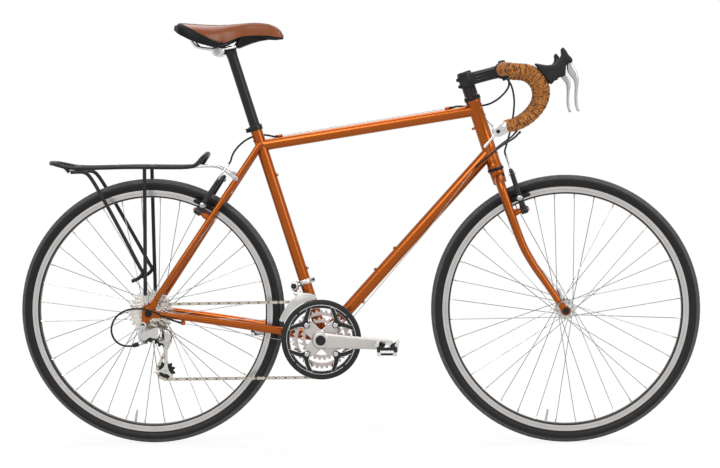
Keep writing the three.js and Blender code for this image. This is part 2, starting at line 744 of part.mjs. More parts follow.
// Fork: steerer, unicrown blades raked forward, and plate tips
const stem = { spacerHeight: 29, clampHeight: 41, outer: 19.5, spacerOuter: 17.5, cap: 6 };
const clampBottom = headTop + 2 * gap + cup.height + stem.spacerHeight;
const stemTop = clampBottom + stem.clampHeight;
const blade = { tall: 15, wide: 11, tipTall: 8.5, tipWide: 8, spread: 47, sides: 8, steps: 9 };
const bladeShares = [
  [0.942, 0, 0.2],
  [0.93, 0, 0.55],
  [0.89, 0, 0.86],
  [0.81, 0, 1],
  [0.56, 0.05, 1.04],
  [0.45, 0.12, 1.06],
  [0.33, 0.3, 1.08],
  [0.21, 0.545, 1.1],
  [0.075, 0.81, 1.13],
];
const crown = { radius: 19, height: 34 };
const forkTip = { disc: 13, width: 15 };
const rackBoss = { share: 0.5, radius: 3.5 };

function makeFork() {
  const tube = rod(
    steer.place(forkLength - crown.height), steer.place(stemTop - stem.cap), steerer.outer,
    steerer.outer, steerer.sides,
  );
  const crownRace = rod(
    steer.place(forkLength - crown.height), steer.place(forkLength), crown.radius - overrun, crown.radius, 10,
  );
  const blades = [right, left].map((side) => {
    const route = bladeShares.map(([s, d, y]) =>
      steer.place(forkLength * s, forkOffset * d, side * blade.spread * y),
    );
    const sizes = (share) => {
      const taper = Math.max(0, (share - 0.35) / 0.65);
      return [lerp(blade.wide, blade.tipWide, taper), lerp(blade.tall, blade.tipTall, taper)];
    };
    const middle = side * (frontDropout.inner + frontDropout.thickness / 2);
    const [near, far] = [frontDropout.inner, frontDropout.inner + frontDropout.thickness];
    const [low, high] = side < 0 ? [-far, -near] : [near, far];
    const end = route.at(-1);
    return join(
      sweep(route, sizes, blade.sides, blade.steps),
      pin(frontAxle, low, high, forkTip.disc, 10),
      flat(at(frontAxle.x, middle, frontAxle.z), at(end.x, middle, end.z), forkTip.width, frontDropout.thickness),
      brakePost(frontBrake, side),
    );
  });
  const bore = rod(
    steer.place(forkLength - crown.height - overrun), steer.place(stemTop), steerer.inner,
    steerer.inner, steerer.sides,
  );
  const axleSpace = pin(frontAxle, -2 * frontDropout.inner, 2 * frontDropout.inner, skewer.radius + gap);
  add("fork", cut(join(tube, crownRace, ...blades), bore, axleSpace), paint);
}
makeFork();

// Handlebar: one bent bar with a clamp bulge and a bar-end shifter pod plugged into each end
const bar = {
  clamp: 15.9, grip: 12.2, reach: 96.5, drop: 143, halfWidth: 215, bulge: 30, sides: 7,
};
const stemReach = 95.7;
const stemAngle = THREE.MathUtils.degToRad(9.57);
const clampCentre = steer
  .place(clampBottom + stem.clampHeight / 2)
  .add(at(stemReach * Math.cos(stemAngle), 0, stemReach * Math.sin(stemAngle)));
const barShares = [
  [0, 0, 0],
  [0, 0, 0.16],
  [0, 0, 0.5],
  [0, 0, 0.77],
  [0.04, 0.003, 0.885],
  [0.18, 0.015, 0.972],
  [0.38, 0.03, 1],
  [0.6, 0.045, 1],
  [0.79, 0.11, 1],
  [0.945, 0.24, 1],
  [1, 0.42, 1],
  [0.945, 0.58, 1],
  [0.79, 0.735, 1],
  [0.58, 0.86, 1],
  [0.32, 0.95, 1],
  [0.03, 0.995, 1],
];
const barPoint = ([reach, drop, width], side) =>
  at(
    clampCentre.x + bar.reach * reach,
    side * bar.halfWidth * width,
    clampCentre.z - bar.drop * drop,
  );
const barRoute = (side) => barShares.map((shares) => barPoint(shares, side));
const pod = { pivotBack: 17, pivotDown: 11, radius: 11.5, halfThickness: 7.5 };
const podPivot = (side) => {
  const end = barPoint(barShares.at(-1), side);
  return at(end.x - pod.pivotBack, end.y, end.z - pod.pivotDown);
};

// Places and facings of the bar's own rings, shared by the tape so that both bend alike
const barStations = 15;
function barRings(side, shares, radiusAt, sides) {
  const curve = new THREE.CatmullRomCurve3(barRoute(side), false, "centripetal");
  const frames = Array.from({ length: barStations + 1 }, (_, i) => curve.getPointAt(i / barStations));
  const facing = [];
  let across = at(1, 0, 0);
  frames.forEach((place, i) => {
    const before = frames[Math.max(i - 1, 0)];
    const after = frames[Math.min(i + 1, barStations)];
    const tangent = after.clone().sub(before).normalize();
    across = across.clone().addScaledVector(tangent, -across.dot(tangent)).normalize();
    facing.push({ across, other: tangent.clone().cross(across) });
  });
  return shares.map((share, k) => {
    const step = Math.min(Math.floor(share * barStations), barStations - 1);
    const part = share * barStations - step;
    const radius = radiusAt(share, k);
    return Array.from({ length: sides }, (_, j) => {
      const angle = ((j + 1 / 2) / sides) * 2 * Math.PI;
      const spot = (i) =>
        frames[i]
          .clone()
          .addScaledVector(facing[i].across, radius * Math.cos(angle))
          .addScaledVector(facing[i].other, radius * Math.sin(angle));
      return spot(step).lerp(spot(step + 1), part);
    });
  });
}

function makeHandlebar() {
  const bulgeShares = [0, 0.05, 0.08];
  const stations = [0, 0.05, 0.08, ...Array.from({ length: barStations - 1 }, (_, i) => (i + 2) / barStations)];
  const radiusAt = (share) => (share <= bulgeShares[1] ? bar.clamp : bar.grip);
  const halves = [right, left].map((side) => {
    const rings = barRings(side, stations, radiusAt, bar.sides);
    return loft(rings);
  });
  const bent = join(...halves);
  const pods = [right, left].map((side) => {
    const pivot = podPivot(side);
    const end = barPoint(barShares.at(-1), side);
    const [low, high] = [pivot.y - pod.halfThickness, pivot.y + pod.halfThickness];
    return join(
      pin(pivot, low, high, pod.radius, 10),
      flat(pivot, end, pod.radius * 2, pod.halfThickness * 2),
    );
  });
  add("handlebar", join(bent, ...pods), silver);
}
makeHandlebar();

const shiftLever = { radius: 11, thickness: 5, length: 52, width: 9 };
const shiftLeverAngles = { right: 228, left: 131 };
function makeShiftLever(name, side, degrees) {
  const pivot = podPivot(side);
  const angle = THREE.MathUtils.degToRad(degrees);
  const near = pivot.y + side * (pod.halfThickness + gap);
  const middle = near + (side * shiftLever.thickness) / 2;
  const from = at(pivot.x, middle, pivot.z);
  const tip = at(
    pivot.x + shiftLever.length * Math.cos(angle),
    middle,
    pivot.z + shiftLever.length * Math.sin(angle),
  );
  const disc = pin(pivot, near, near + side * shiftLever.thickness, shiftLever.radius, 10);
  add(name, join(disc, flat(from, tip, shiftLever.width, shiftLever.thickness)), silver);
}
makeShiftLever("shift_lever_right", right, shiftLeverAngles.right);
makeShiftLever("shift_lever_left", left, shiftLeverAngles.left);

// Bar tape: a strip wound round the bar, so each turn laps over the one before
const tape = { thickness: 2.6, lap: 1.7, wraps: 13, startShare: 0.155, endShare: 0.985 };
function makeTape(name, side) {
  const span = tape.endShare - tape.startShare;
  const edges = Array.from({ length: 2 * tape.wraps + 1 }, (_, i) => tape.startShare + (span * i) / (2 * tape.wraps));
  const room = bar.grip + (2 * gap) / Math.cos(Math.PI / bar.sides);
  const skin = barRings(side, edges, (_, k) => room + tape.thickness + (k % 2 ? tape.lap : 0), bar.sides);
  const inner = Array.from({ length: barStations + 1 }, (_, i) => i / barStations).filter(
    (share) => share > tape.startShare && share < tape.endShare,
  );
  const step = 1 / (2 * barStations);
  const bore = barRings(side, [tape.startShare - step, ...inner, 1], () => room, bar.sides);
  add(name, cut(loft(skin), loft(bore)), tapeBrown);
}
makeTape("bar_tape_right", right);
makeTape("bar_tape_left", left);

// Stem with its spacers, bar clamp and top cap
const stemBody = { width: 30, height: 31, barClampRadius: 21.5, barClampHalf: 23, ear: 8 };
function makeStem() {
  const clampMiddle = steer.place(clampBottom + stem.clampHeight / 2);
  const reachWay = clampCentre.clone().sub(clampMiddle).normalize();
  const heightWay = reachWay.clone().cross(acrossBike).normalize();
  const pieces = [
    rod(
      steer.place(headTop + 2 * gap + cup.height), steer.place(clampBottom + overrun), stem.spacerOuter,
      stem.spacerOuter, 16,
    ),
    rod(steer.place(clampBottom), steer.place(stemTop), stem.outer, stem.outer, 16),
    rod(steer.place(stemTop - overrun), steer.place(stemTop + stem.cap), stem.outer - overrun, stem.spacerOuter - overrun, 16),
    block(
      clampMiddle.clone().lerp(clampCentre, 1 / 2), reachWay, heightWay, stemReach, stemBody.width,
      stemBody.height,
    ),
    pin(clampCentre, -stemBody.barClampHalf, stemBody.barClampHalf, stemBody.barClampRadius, 16),
  ];
  for (const z of [right, left]) {
    const centre = clampCentre.clone().addScaledVector(heightWay, z * stemBody.barClampRadius);
    pieces.push(block(centre, reachWay, heightWay, stemBody.ear, stemBody.width, stemBody.ear));
  }
  const steererSpace = rod(
    steer.place(headTop), steer.place(stemTop - stem.cap + gap), steerer.outer + gap,
    steerer.outer + gap, steerer.sides,
  );
  const barSpace = pin(clampCentre, -2 * bar.bulge, 2 * bar.bulge, bar.clamp + 2 * gap, 16);
  add("stem", cut(join(...pieces), steererSpace, barSpace), black);
}
makeStem();

// Brake hoods sit on the front of each bend and carry the brake levers
const hoodShares = [
  [0.78, -0.07], [1.1, -0.045], [1.26, -0.065], [1.355, -0.12], [1.44, -0.205], [1.44, -0.31],
  [1.49, -0.34], [1.55, -0.305], [1.645, -0.205], [1.715, -0.155], [1.725, -0.09], [1.59, -0.05],
  [1.56, 0.05], [1.54, 0.14], [1.4, 0.17], [1.3, 0.21], [1.19, 0.28], [0.99, 0.13], [0.86, 0.01],
];
const hood = { halfWidth: 17, bevel: 4 };
const brakeLever = {
  pivotReach: 1.65, pivotDrop: -0.11, halfWidth: 8, pull: 20, slotGap: 0.4, pin: 2.4, pinHalf: 15, pinSides: 6,
};
const leverShares = [
  [1.6, -0.1], [1.62, -0.14], [1.67, -0.145], [1.705, -0.11], [1.76, -0.02], [1.86, 0.1], [1.89, 0.23], [1.865, 0.36], [1.85, 0.5], [1.865, 0.64],
  [1.9, 0.745], [1.84, 0.74], [1.78, 0.58], [1.78, 0.42], [1.78, 0.3], [1.75, 0.21], [1.66, 0.13],
  [1.6, 0.05],
];
const barPlane = ([reach, drop]) => [clampCentre.x + bar.reach * reach, clampCentre.z - bar.drop * drop];
const leverPivot = (side) => {
  const [x, z] = barPlane([brakeLever.pivotReach, brakeLever.pivotDrop]);
  return at(x, side * bar.halfWidth, z);
};
function leverPlate(side, grow, degrees) {
  const y = side * bar.halfWidth;
  const outline = inset(leverShares.map(barPlane), -grow).map((point) => [point.x, point.y]);
  const made = plate(outline, y - brakeLever.halfWidth - grow, y + brakeLever.halfWidth + grow);
  const pivot = leverPivot(side);
  return made
    .translate([-pivot.x, 0, -pivot.z])
    .rotate([0, degrees, 0])
    .translate([pivot.x, 0, pivot.z]);
}
function makeHood(name, side) {
  const body = cushion(hoodShares.map(barPlane), side * bar.halfWidth, hood.halfWidth, hood.bevel);
  const tapeRoom = bar.grip + 3 * gap + tape.thickness + tape.lap;
  const roomShares = Array.from({ length: barStations + 1 }, (_, i) => i / barStations);
  const barRoom = loft(barRings(side, roomShares, () => tapeRoom, bar.sides));
  const steps = 3;
  let made = cut(body, barRoom);
  for (let i = -1; i <= steps; i += 1) {
    made = cut(made, leverPlate(side, brakeLever.slotGap, (brakeLever.pull * i) / steps));
  }
  const pieces = made.decompose().sort((a, b) => b.volume() - a.volume());
  const pivot = leverPivot(side);
  const { pin: radius, pinHalf, pinSides } = brakeLever;
  add(name, join(pieces[0], pin(pivot, pivot.y - pinHalf, pivot.y + pinHalf, radius, pinSides)), rubber);
}
function makeBrakeLever(name, side) {
  const pivot = leverPivot(side);
  const { pin: radius, pinHalf, pinSides } = brakeLever;
  const hole = pin(pivot, pivot.y - pinHalf, pivot.y + pinHalf, boreFor(radius, pinSides), pinSides);
  add(name, cut(leverPlate(side, 0, 0), hole), silver);
}
makeHood("brake_hood_right", right);
makeHood("brake_hood_left", left);
makeBrakeLever("brake_lever_right", right);
makeBrakeLever("brake_lever_left", left);

// Seatpost, saddle and its rails
const seatpost = { radius: 13.6, bottom: 460, head: 772 };
const seatpostHead = seat.place(seatpost.head);
const saddle = {
  length: 276, behindHead: 139.5909, aboveHead: 73.0251, depth: 62, halfWidth: 76, thickness: 13,
  tailShare: 0.16, noseShare: 0.8,
};
const saddleRear = seatpostHead.x - saddle.behindHead;
const saddleShares = [
  // share of length, half width, top level, edge level, all as shares of the saddle's own sizes
  [0, 0.42, 0.9, 0.68],
  [0.05, 0.78, 1, 0.55],
  [0.15, 0.97, 0.985, 0.33],
  [0.28, 0.98, 0.95, 0.12],
  [0.4, 0.8, 0.93, 0.04],
  [0.5, 0.52, 0.94, 0.2],
  [0.62, 0.34, 0.975, 0.4],
  [0.75, 0.28, 1, 0.44],
  [0.87, 0.25, 0.93, 0.42],
  [0.95, 0.22, 0.78, 0.36],
  [1, 0.11, 0.52, 0.3],
];
const saddleBase = seatpostHead.z + saddle.aboveHead - saddle.depth;
function makeSaddle() {
  const rings = saddleShares.map(([lengthShare, widthShare, topShare, edgeShare]) => {
    const x = saddleRear + saddle.length * lengthShare;
    const half = saddle.halfWidth * widthShare;
    const crownHeight = saddleBase + saddle.depth * topShare;
    const edge = saddleBase + saddle.depth * edgeShare;
    const skirt = crownHeight - edge;
    const outsideShares = [
      [1, 0], [0.98, 0.45], [0.82, 0.8], [0.45, 0.96], [0, 1],
      [-0.45, 0.96], [-0.82, 0.8], [-0.98, 0.45], [-1, 0],
    ];
    const outside = outsideShares.map(([y, z]) => at(x, half * y, edge + skirt * z));
    const inner = Math.min(saddle.thickness, half / 2);
    const lift = Math.max(skirt - saddle.thickness, skirt / 3);
    const fill = lengthShare < saddle.tailShare || lengthShare > saddle.noseShare ? 0 : 2 / 3;
    const inside = [-1, -0.6, 0, 0.6, 1].map((share) =>
      at(x, (half - inner / 2) * share, edge + lift * (1 - share ** 2) * fill),
    );
    inside.shift();
    inside.pop();
    return [...outside, ...inside];
  });
  add("saddle", cut(loft(rings), railWire(gap)), leather);
}

const rail = { radius: 3.6, half: 22, sides: 6 };
const railShares = [
  // share of saddle length, height as a share of the depth below the top, spread share
  [0.145, 0.47, 1.72],
  [0.165, 0.2, 1.66],
  [0.2, 0.02, 1.5],
  [0.28, -0.07, 1.15],
  [0.4, -0.09, 1],
  [0.52, -0.06, 1],
  [0.62, 0.06, 0.9],
  [0.78, 0.33, 0.6],
  [0.885, 0.47, 0.3],
  [0.9, 0.49, 0],
];
const railPoint = ([lengthShare, heightShare, spreadShare], side) =>
  at(
    saddleRear + saddle.length * lengthShare,
    side * rail.half * spreadShare,
    saddleBase + saddle.depth * heightShare,
  );
const railRoute = [
  ...railShares.map((shares) => railPoint(shares, right)),
  ...railShares.slice(0, -1).reverse().map((shares) => railPoint(shares, left)),
];
const railWire = (extra) => sweep(railRoute, round(rail.radius + extra), rail.sides, 26);
makeSaddle();
const saddleRails = railWire(0);
add("saddle_rails", saddleRails, silver);

const clampBlock = { length: 32, height: 24, half: 27, setback: 29, stand: 0 };
function makeSeatpost() {
  const clampAt = at(seatpostHead.x - clampBlock.setback, 0, seatpostHead.z);
  const ahead = at(1, 0, 0);
  const pieces = [
    rod(seat.place(seatpost.bottom), seatpostHead, seatpost.radius, seatpost.radius, seatTube.sides),
    pin(seatpostHead, -seatpost.radius, seatpost.radius, seatpost.radius, 10),
    block(
      seatpostHead.clone().lerp(clampAt, 1 / 2), ahead, up, clampBlock.setback, 2 * seatpost.radius,
      clampBlock.height * (3 / 4),
    ),
    block(clampAt, ahead, up, clampBlock.length, 2 * clampBlock.half, clampBlock.height),
  ];
  const bore = rod(
    seat.place(seatpost.bottom - overrun), seat.place(seatpost.head - 3 * seatpost.radius),
    seatpost.radius - overrun, seatpost.radius - overrun, seatTube.sides,
  );
  add("seatpost", cut(join(...pieces), bore, railWire(gap)), black);
}
makeSeatpost();

// Rear rack: one welded piece of bent tube
const rack = {
  tube: 5.2, leg: 4.8, stay: 3, above: 374, ahead: 126, behind: 211, halfWidth: 57, corner: 12,
  legBehind: 6, legBottomY: 77.8, legFoot: 18, frontTip: 22, frontRise: 30, rearTip: 42, rearRise: 11, sides: 6,
};
const strut = { ahead: 14, below: 11.5, straight: 36, kneeAhead: 14, kneeBelow: 12, y: 54, footY: 71, hook: 40 };
// places ahead of and above the eyelet, as shares of the strut's hook
const hookShares = [
  [-0.125, 2.125],
  [0.1, 1.675],
  [-0.225, 1.375],
  [-0.9, 1.225],
];
const rackStay = { behindFront: 8, bendY: 46, bendBelow: 2, endY: 38.6, lead: 17, rise: 14, tabShare: 0.225 };
function makeRack() {
  const { tube, leg, stay, halfWidth, corner, legBottomY, sides } = rack;
  const z = rearAxle.z + rack.above;
  const front = rearAxle.x + rack.ahead;
  const rear = rearAxle.x - rack.behind;
  const legX = rearAxle.x - rack.legBehind;
  const loopHalf = (side) => [
    at(rear - rack.rearTip, side, z + rack.rearRise),
    at(rear - rack.rearTip * 0.85, side * halfWidth * 0.6, z + rack.rearRise * 0.95),
    at(rear - rack.rearTip * 0.35, side * halfWidth * 0.9, z + rack.rearRise * 0.5),
    at(rear + corner, side * halfWidth, z),
    at((front + rear) / 2, side * halfWidth, z),
    at(front - corner, side * halfWidth, z),
    at(front, side * halfWidth * 0.97, z + rack.frontRise * 0.15),
    at(front + rack.frontTip * 0.6, side * halfWidth * 0.8, z + rack.frontRise * 0.65),
    at(front + rack.frontTip, side * halfWidth * 0.4, z + rack.frontRise),
  ];
  const route = [...loopHalf(right), ...loopHalf(left).reverse()];
  const sleeveAt = at(rear - rack.rearTip, 0, z + rack.rearRise);
  const pieces = [
    sweep(route, round(tube), sides, 20),
    pin(sleeveAt, -4 * tube, 4 * tube, tube + 1, 6),
  ];
  const crossShares = [0.06, 0.36, 0.64, 0.94];
  for (const share of crossShares) {
    const x = lerp(rear, front, share);
    pieces.push(pin(at(x, 0, z), -halfWidth, halfWidth, tube * (4 / 5), sides));
  }
  for (const side of [right, left]) {
    const bottom = at(eyelet.x, side * legBottomY, eyelet.z);
    const knee = at(legX, side * halfWidth, z - 3 * tube);
    const low = at(legX, side * (legBottomY - overrun), eyelet.z + rack.legFoot);
    pieces.push(sweep([at(legX, side * halfWidth, z), knee, low, bottom], round(leg), sides, 3, false));
    const level = z - strut.below;
    const bendX = rear + strut.ahead + strut.straight;
    const strutRoute = [
      at(rear + strut.ahead, side * strut.y, level),
      at(bendX, side * strut.y, level),
      at(bendX + strut.kneeAhead, side * strut.y, level - strut.kneeBelow),
      ...hookShares.map(([aheadShare, aboveShare]) =>
        at(eyelet.x + strut.hook * aheadShare, side * strut.footY, eyelet.z + strut.hook * aboveShare),
      ),
    ];
    pieces.push(sweep(strutRoute, round(leg), sides, strutRoute.length - 1, false));
    pieces.push(
      rod(
        at(rear, side * strut.y, z), at(rear + 2 * tube, side * strut.y, level), leg, leg, sides,
      ),
    );
    const tab = seatStayPoint(rackStay.tabShare, side * rackStay.endY);
    pieces.push(
      sweep(
        [
          at(front - rackStay.behindFront, side * (halfWidth - tube), z),
          at(lerp(front, tab.x, 0.55), side * rackStay.bendY, z - rackStay.bendBelow),
          at(tab.x - rackStay.lead, tab.y, tab.z + rackStay.rise),
          tab,
        ],
        round(stay), 6, 3, false,
      ),
    );
  }
  add("rear_rack", join(...pieces), black);
}
makeRack();

// Crankset, chain and cassette
const pitch = 12.7;
const pitchRadius = (teeth) => pitch / 2 / Math.sin(Math.PI / teeth);
const ring = {
  outerTeeth: 48, middleTeeth: 36, innerTeeth: 26, tooth: 3, root: 4, thickness: 2.2,
  outerY: -54.5, middleY: -47.5, innerY: -40.5,
};
const guard = { inner: 84, outer: 102.5, yFrom: -58.5, yTo: -61.5, webOuter: 90 };
const spider = { bolt: 52, boltRadius: 4.6, arm: 17, yFrom: -56.4, yTo: -63, hub: 24 };
const crank = {
  length: 173, angle: THREE.MathUtils.degToRad(-4), hub: 21, eye: 13.5, inner: 66, thickness: 15, waist: 22,
};
const pedalAxle = { radius: 4.3, length: 78, sides: 8 };
const boltAngles = [45, 135, 225, 315].map((degrees) => THREE.MathUtils.degToRad(degrees));
const around = (centre, radius, angle, y = 0) =>
  at(centre.x + radius * Math.cos(angle), y, centre.z + radius * Math.sin(angle));

// A sprocket with a pointed tooth for each link, or a plain edge where points is 1
function sprocket(centre, teeth, y, thickness, bore, boreSides, pointsPerTooth = 2) {
  const radius = pitchRadius(teeth);
  const count = Math.round(teeth * pointsPerTooth);
  const outline = Array.from({ length: count }, (_, i) => {
    const reach = pointsPerTooth > 1 && i % 2 ? radius - ring.root : radius + ring.tooth;
    const angle = (i / count) * 2 * Math.PI;
    return [centre.x + reach * Math.cos(angle), centre.z + reach * Math.sin(angle)];
  });
  const [low, high] = [y - thickness / 2, y + thickness / 2];
  const disc = plate(outline, low, high);
  return bore > 0 ? cut(disc, pin(centre, low - overrun, high + overrun, bore, boreSides)) : disc;
}

function makeChainrings() {
  const teeth = sprocket(bottomBracket, ring.outerTeeth, ring.outerY, ring.thickness, 0, 0, 1);
  const inside = guard.inner - overrun;
  const web = turned(
    bottomBracket,
    [
      [inside, ring.outerY],
      [guard.webOuter, ring.outerY],
      [guard.webOuter, guard.yFrom],
      [guard.outer, guard.yFrom],
      [guard.outer, guard.yTo],
      [inside, guard.yTo],
    ],
    22,
  );
  const hollow = pin(bottomBracket, 0, 2 * guard.yTo, guard.inner, 22);
  const forkedArms = boltAngles.flatMap((angle) => {
    const tab = around(bottomBracket, spider.bolt, angle, ring.outerY);
    const fork = [-1, 1].map((lean) =>
      flat(
        tab,
        around(bottomBracket, guard.inner + overrun, angle + lean * 0.24, ring.outerY),
        spider.arm / 2, ring.thickness,
      ),
    );
    return [...fork, pin(tab, ring.outerY - ring.thickness / 2, ring.outerY + ring.thickness / 2, spider.arm / 2, 6)];
  });
  const bolts = boltAngles.map((angle) =>
    pin(
      around(bottomBracket, spider.bolt, angle), ring.outerY - 3 * ring.thickness,
      ring.outerY + 3 * ring.thickness, spider.boltRadius + gap, 6,
    ),
  );
  add("chainring_outer", cut(join(cut(join(teeth, web), hollow), ...forkedArms), ...bolts), black);
}
makeChainrings();

function crankArm(side, direction) {
  const angle = crank.angle + (direction < 0 ? Math.PI : 0);
  const end = around(bottomBracket, crank.length, angle);
  const [near, far] = [crank.inner, crank.inner + crank.thickness];
  const [low, high] = side < 0 ? [-far, -near] : [near, far];
  const way = end.clone().sub(bottomBracket).normalize();
  const normal = at(-way.z, 0, way.x);
  const middleShare = 0.3;
  const waistAt = bottomBracket.clone().lerp(end, middleShare);
  const edge = (place, half) => {
    const point = place.clone().addScaledVector(normal, half);
    return [point.x, point.z];
  };
  const outline = [
    edge(bottomBracket, crank.hub),
    edge(waistAt, crank.waist * (3 / 4)),
    edge(end, crank.eye),
    edge(end.clone().addScaledVector(way, crank.eye * (3 / 4)), crank.eye / 2),
    edge(end.clone().addScaledVector(way, crank.eye * (3 / 4)), -crank.eye / 2),
    edge(end, -crank.eye),
    edge(waistAt, -crank.waist * (3 / 4)),
    edge(bottomBracket, -crank.hub),
    edge(bottomBracket.clone().addScaledVector(way, -crank.hub), -crank.hub / 2),
    edge(bottomBracket.clone().addScaledVector(way, -crank.hub), crank.hub / 2),
  ];
  const axleEnd = side * (far + pedalAxle.length);
  return join(plate(outline, low, high), pin(end, side * near, axleEnd, pedalAxle.radius, pedalAxle.sides));
}

function makeCranks() {
  const arms = boltAngles.map((angle) =>
    flat(
      around(bottomBracket, 0, angle, (spider.yFrom + spider.yTo) / 2),
      around(bottomBracket, spider.bolt, angle, (spider.yFrom + spider.yTo) / 2),
      spider.arm, spider.yFrom - spider.yTo,
    ),
  );
  const hubDisc = pin(bottomBracket, ring.innerY, -crank.inner - overrun, spider.hub, 10);
  const bolts = boltAngles.map((angle) =>
    pin(around(bottomBracket, spider.bolt, angle), spider.yTo, ring.middleY, spider.boltRadius, 6),
  );
  const middle = sprocket(bottomBracket, ring.middleTeeth, ring.middleY, ring.thickness, spider.bolt - 6, 12, 2 / 3);
  const inner = sprocket(bottomBracket, ring.innerTeeth, ring.innerY, ring.thickness, 0, 0, 1);
  const made = join(crankArm(right, 1), hubDisc, ...arms, ...bolts, middle, inner);
  const spindleRoom = pin(bottomBracket, 0, -spindle.half - gap, spindle.radius + gap, 10);
  add("crank_right", cut(made, spindleRoom), silver);
  const shaft = pin(bottomBracket, -spindle.half + gap, crank.inner + overrun, spindle.radius, 10);
  add("crank_left", join(crankArm(left, -1), shaft), silver);
}
makeCranks();

const pedal = {
  length: 62, width: 92, height: 20, plate: 2.5, barrel: 10, from: 3, crossThickness: 5,
};
function makePedal(name, side, direction) {
  const angle = crank.angle + (direction < 0 ? Math.PI : 0);
  const centre = around(bottomBracket, crank.length, angle);
  const start = crank.inner + crank.thickness + pedal.from;
  const middle = side * (start + pedal.width / 2);
  const ahead = at(1, 0, 0);
  const y = (share) => side * (start + pedal.width * share);
  const barrel = pin(centre, y(0.02), y(0.98), pedal.barrel, 10);
  const cages = [-1, 1].map((end) =>
    block(
      at(centre.x + (end * (pedal.length - pedal.plate)) / 2, middle, centre.z),
      ahead, up, pedal.plate, pedal.width, pedal.height,
    ),
  );
  const crossShares = [0.06, 0.9];
  const crosses = crossShares.map((share) =>
    block(
      at(centre.x, y(share), centre.z), ahead, up, pedal.length - pedal.plate, pedal.crossThickness,
      pedal.height * (3 / 4),
    ),
  );
  const axleRoom = pin(
    centre, 0, side * (crank.inner + crank.thickness + pedalAxle.length + gap),
    boreFor(pedalAxle.radius, pedalAxle.sides), pedalAxle.sides,
  );
  add(name, cut(join(barrel, ...cages, ...crosses), axleRoom), black);
}
makePedal("pedal_right", right, 1);
makePedal("pedal_left", left, -1);

const cassette = {
  teeth: [11, 12, 13, 14, 16, 18, 21, 24, 28], firstY: -62, spacing: 4.34, thickness: 1.6,
  body: 16, bore: 6, inner: -23.4, outer: -64,
};
function makeCassette() {
  const { teeth, firstY, spacing, thickness, body, bore, inner, outer } = cassette;
  const barrel = pin(rearAxle, inner, outer, body, 8);
  const cogs = teeth.map((count, k) => {
    const coarse = k === teeth.length - 1 ? 1 : 10 / count;
    return sprocket(rearAxle, count, firstY + k * spacing, thickness, 0, 0, coarse);
  });
  add("cassette", cut(join(barrel, ...cogs), pin(rearAxle, inner + overrun, outer - overrun, bore, 10)), steel);
}
makeCassette();

// Rear derailleur: hanger knuckle, slanted link, lower knuckle, sprung cage and two pulleys
const derailleur = {
  link: 45, slant: THREE.MathUtils.degToRad(25), halfSwing: THREE.MathUtils.degToRad(25.3),
  knuckleY: -92, pulleyTeeth: 11, pulleyThickness: 2.2, bolt: 2.6, cagePlate: 1.5, cageHalf: 4.2,
  guideAhead: 33, guideBelow: 63, linkBelow: 52, pivotAhead: 41.5, pivotBelow: 54, tensionBelow: 147.5,
  cageWidth: 12, guideEnd: 13, tensionEnd: 9, stub: 3, stubRadius: 8,
};
const pulleyPlane = cassette.firstY;
const belowAxle = (ahead, y, below) => at(rearAxle.x + ahead, y, rearAxle.z - below);
const guidePulley = belowAxle(derailleur.guideAhead, pulleyPlane, derailleur.guideBelow);
const tensionPulley = belowAxle(derailleur.pivotAhead, pulleyPlane, derailleur.tensionBelow);
const cagePivot = belowAxle(derailleur.pivotAhead, pulleyPlane, derailleur.pivotBelow);
const linkFar = belowAxle(derailleur.guideAhead, derailleur.knuckleY, derailleur.linkBelow);
const linkAcross = at(0, Math.cos(derailleur.slant), -Math.sin(derailleur.slant));
const linkRest = at(1, 0, 0)
  .multiplyScalar(derailleur.link * Math.cos(derailleur.halfSwing))
  .addScaledVector(linkAcross, -derailleur.link * Math.sin(derailleur.halfSwing));
const linkNear = linkFar.clone().sub(linkRest);
const linkAxis = at(0, Math.sin(derailleur.slant), Math.cos(derailleur.slant));
const knuckleShape = {
  height: 24, linkHeight: 14, linkWidth: 9, linkEnds: 10, pin: 3.2, pinEnd: 1, pinSides: 8, pivot: 11, hanger: 10,
  ear: 4.5, bone: 4.5, lowerBone: 3.5, boltLength: 12, depth: 7, neckAhead: 4, neckIn: 3, neckBelow: 17,
  armBehind: 7, armTop: 14, armLow: 40, armFoot: 45, adjusterAt: 2, adjusterEnd: 11, adjusterBelow: 47.5,
  spreadAhead: 3, spread: 9,
};

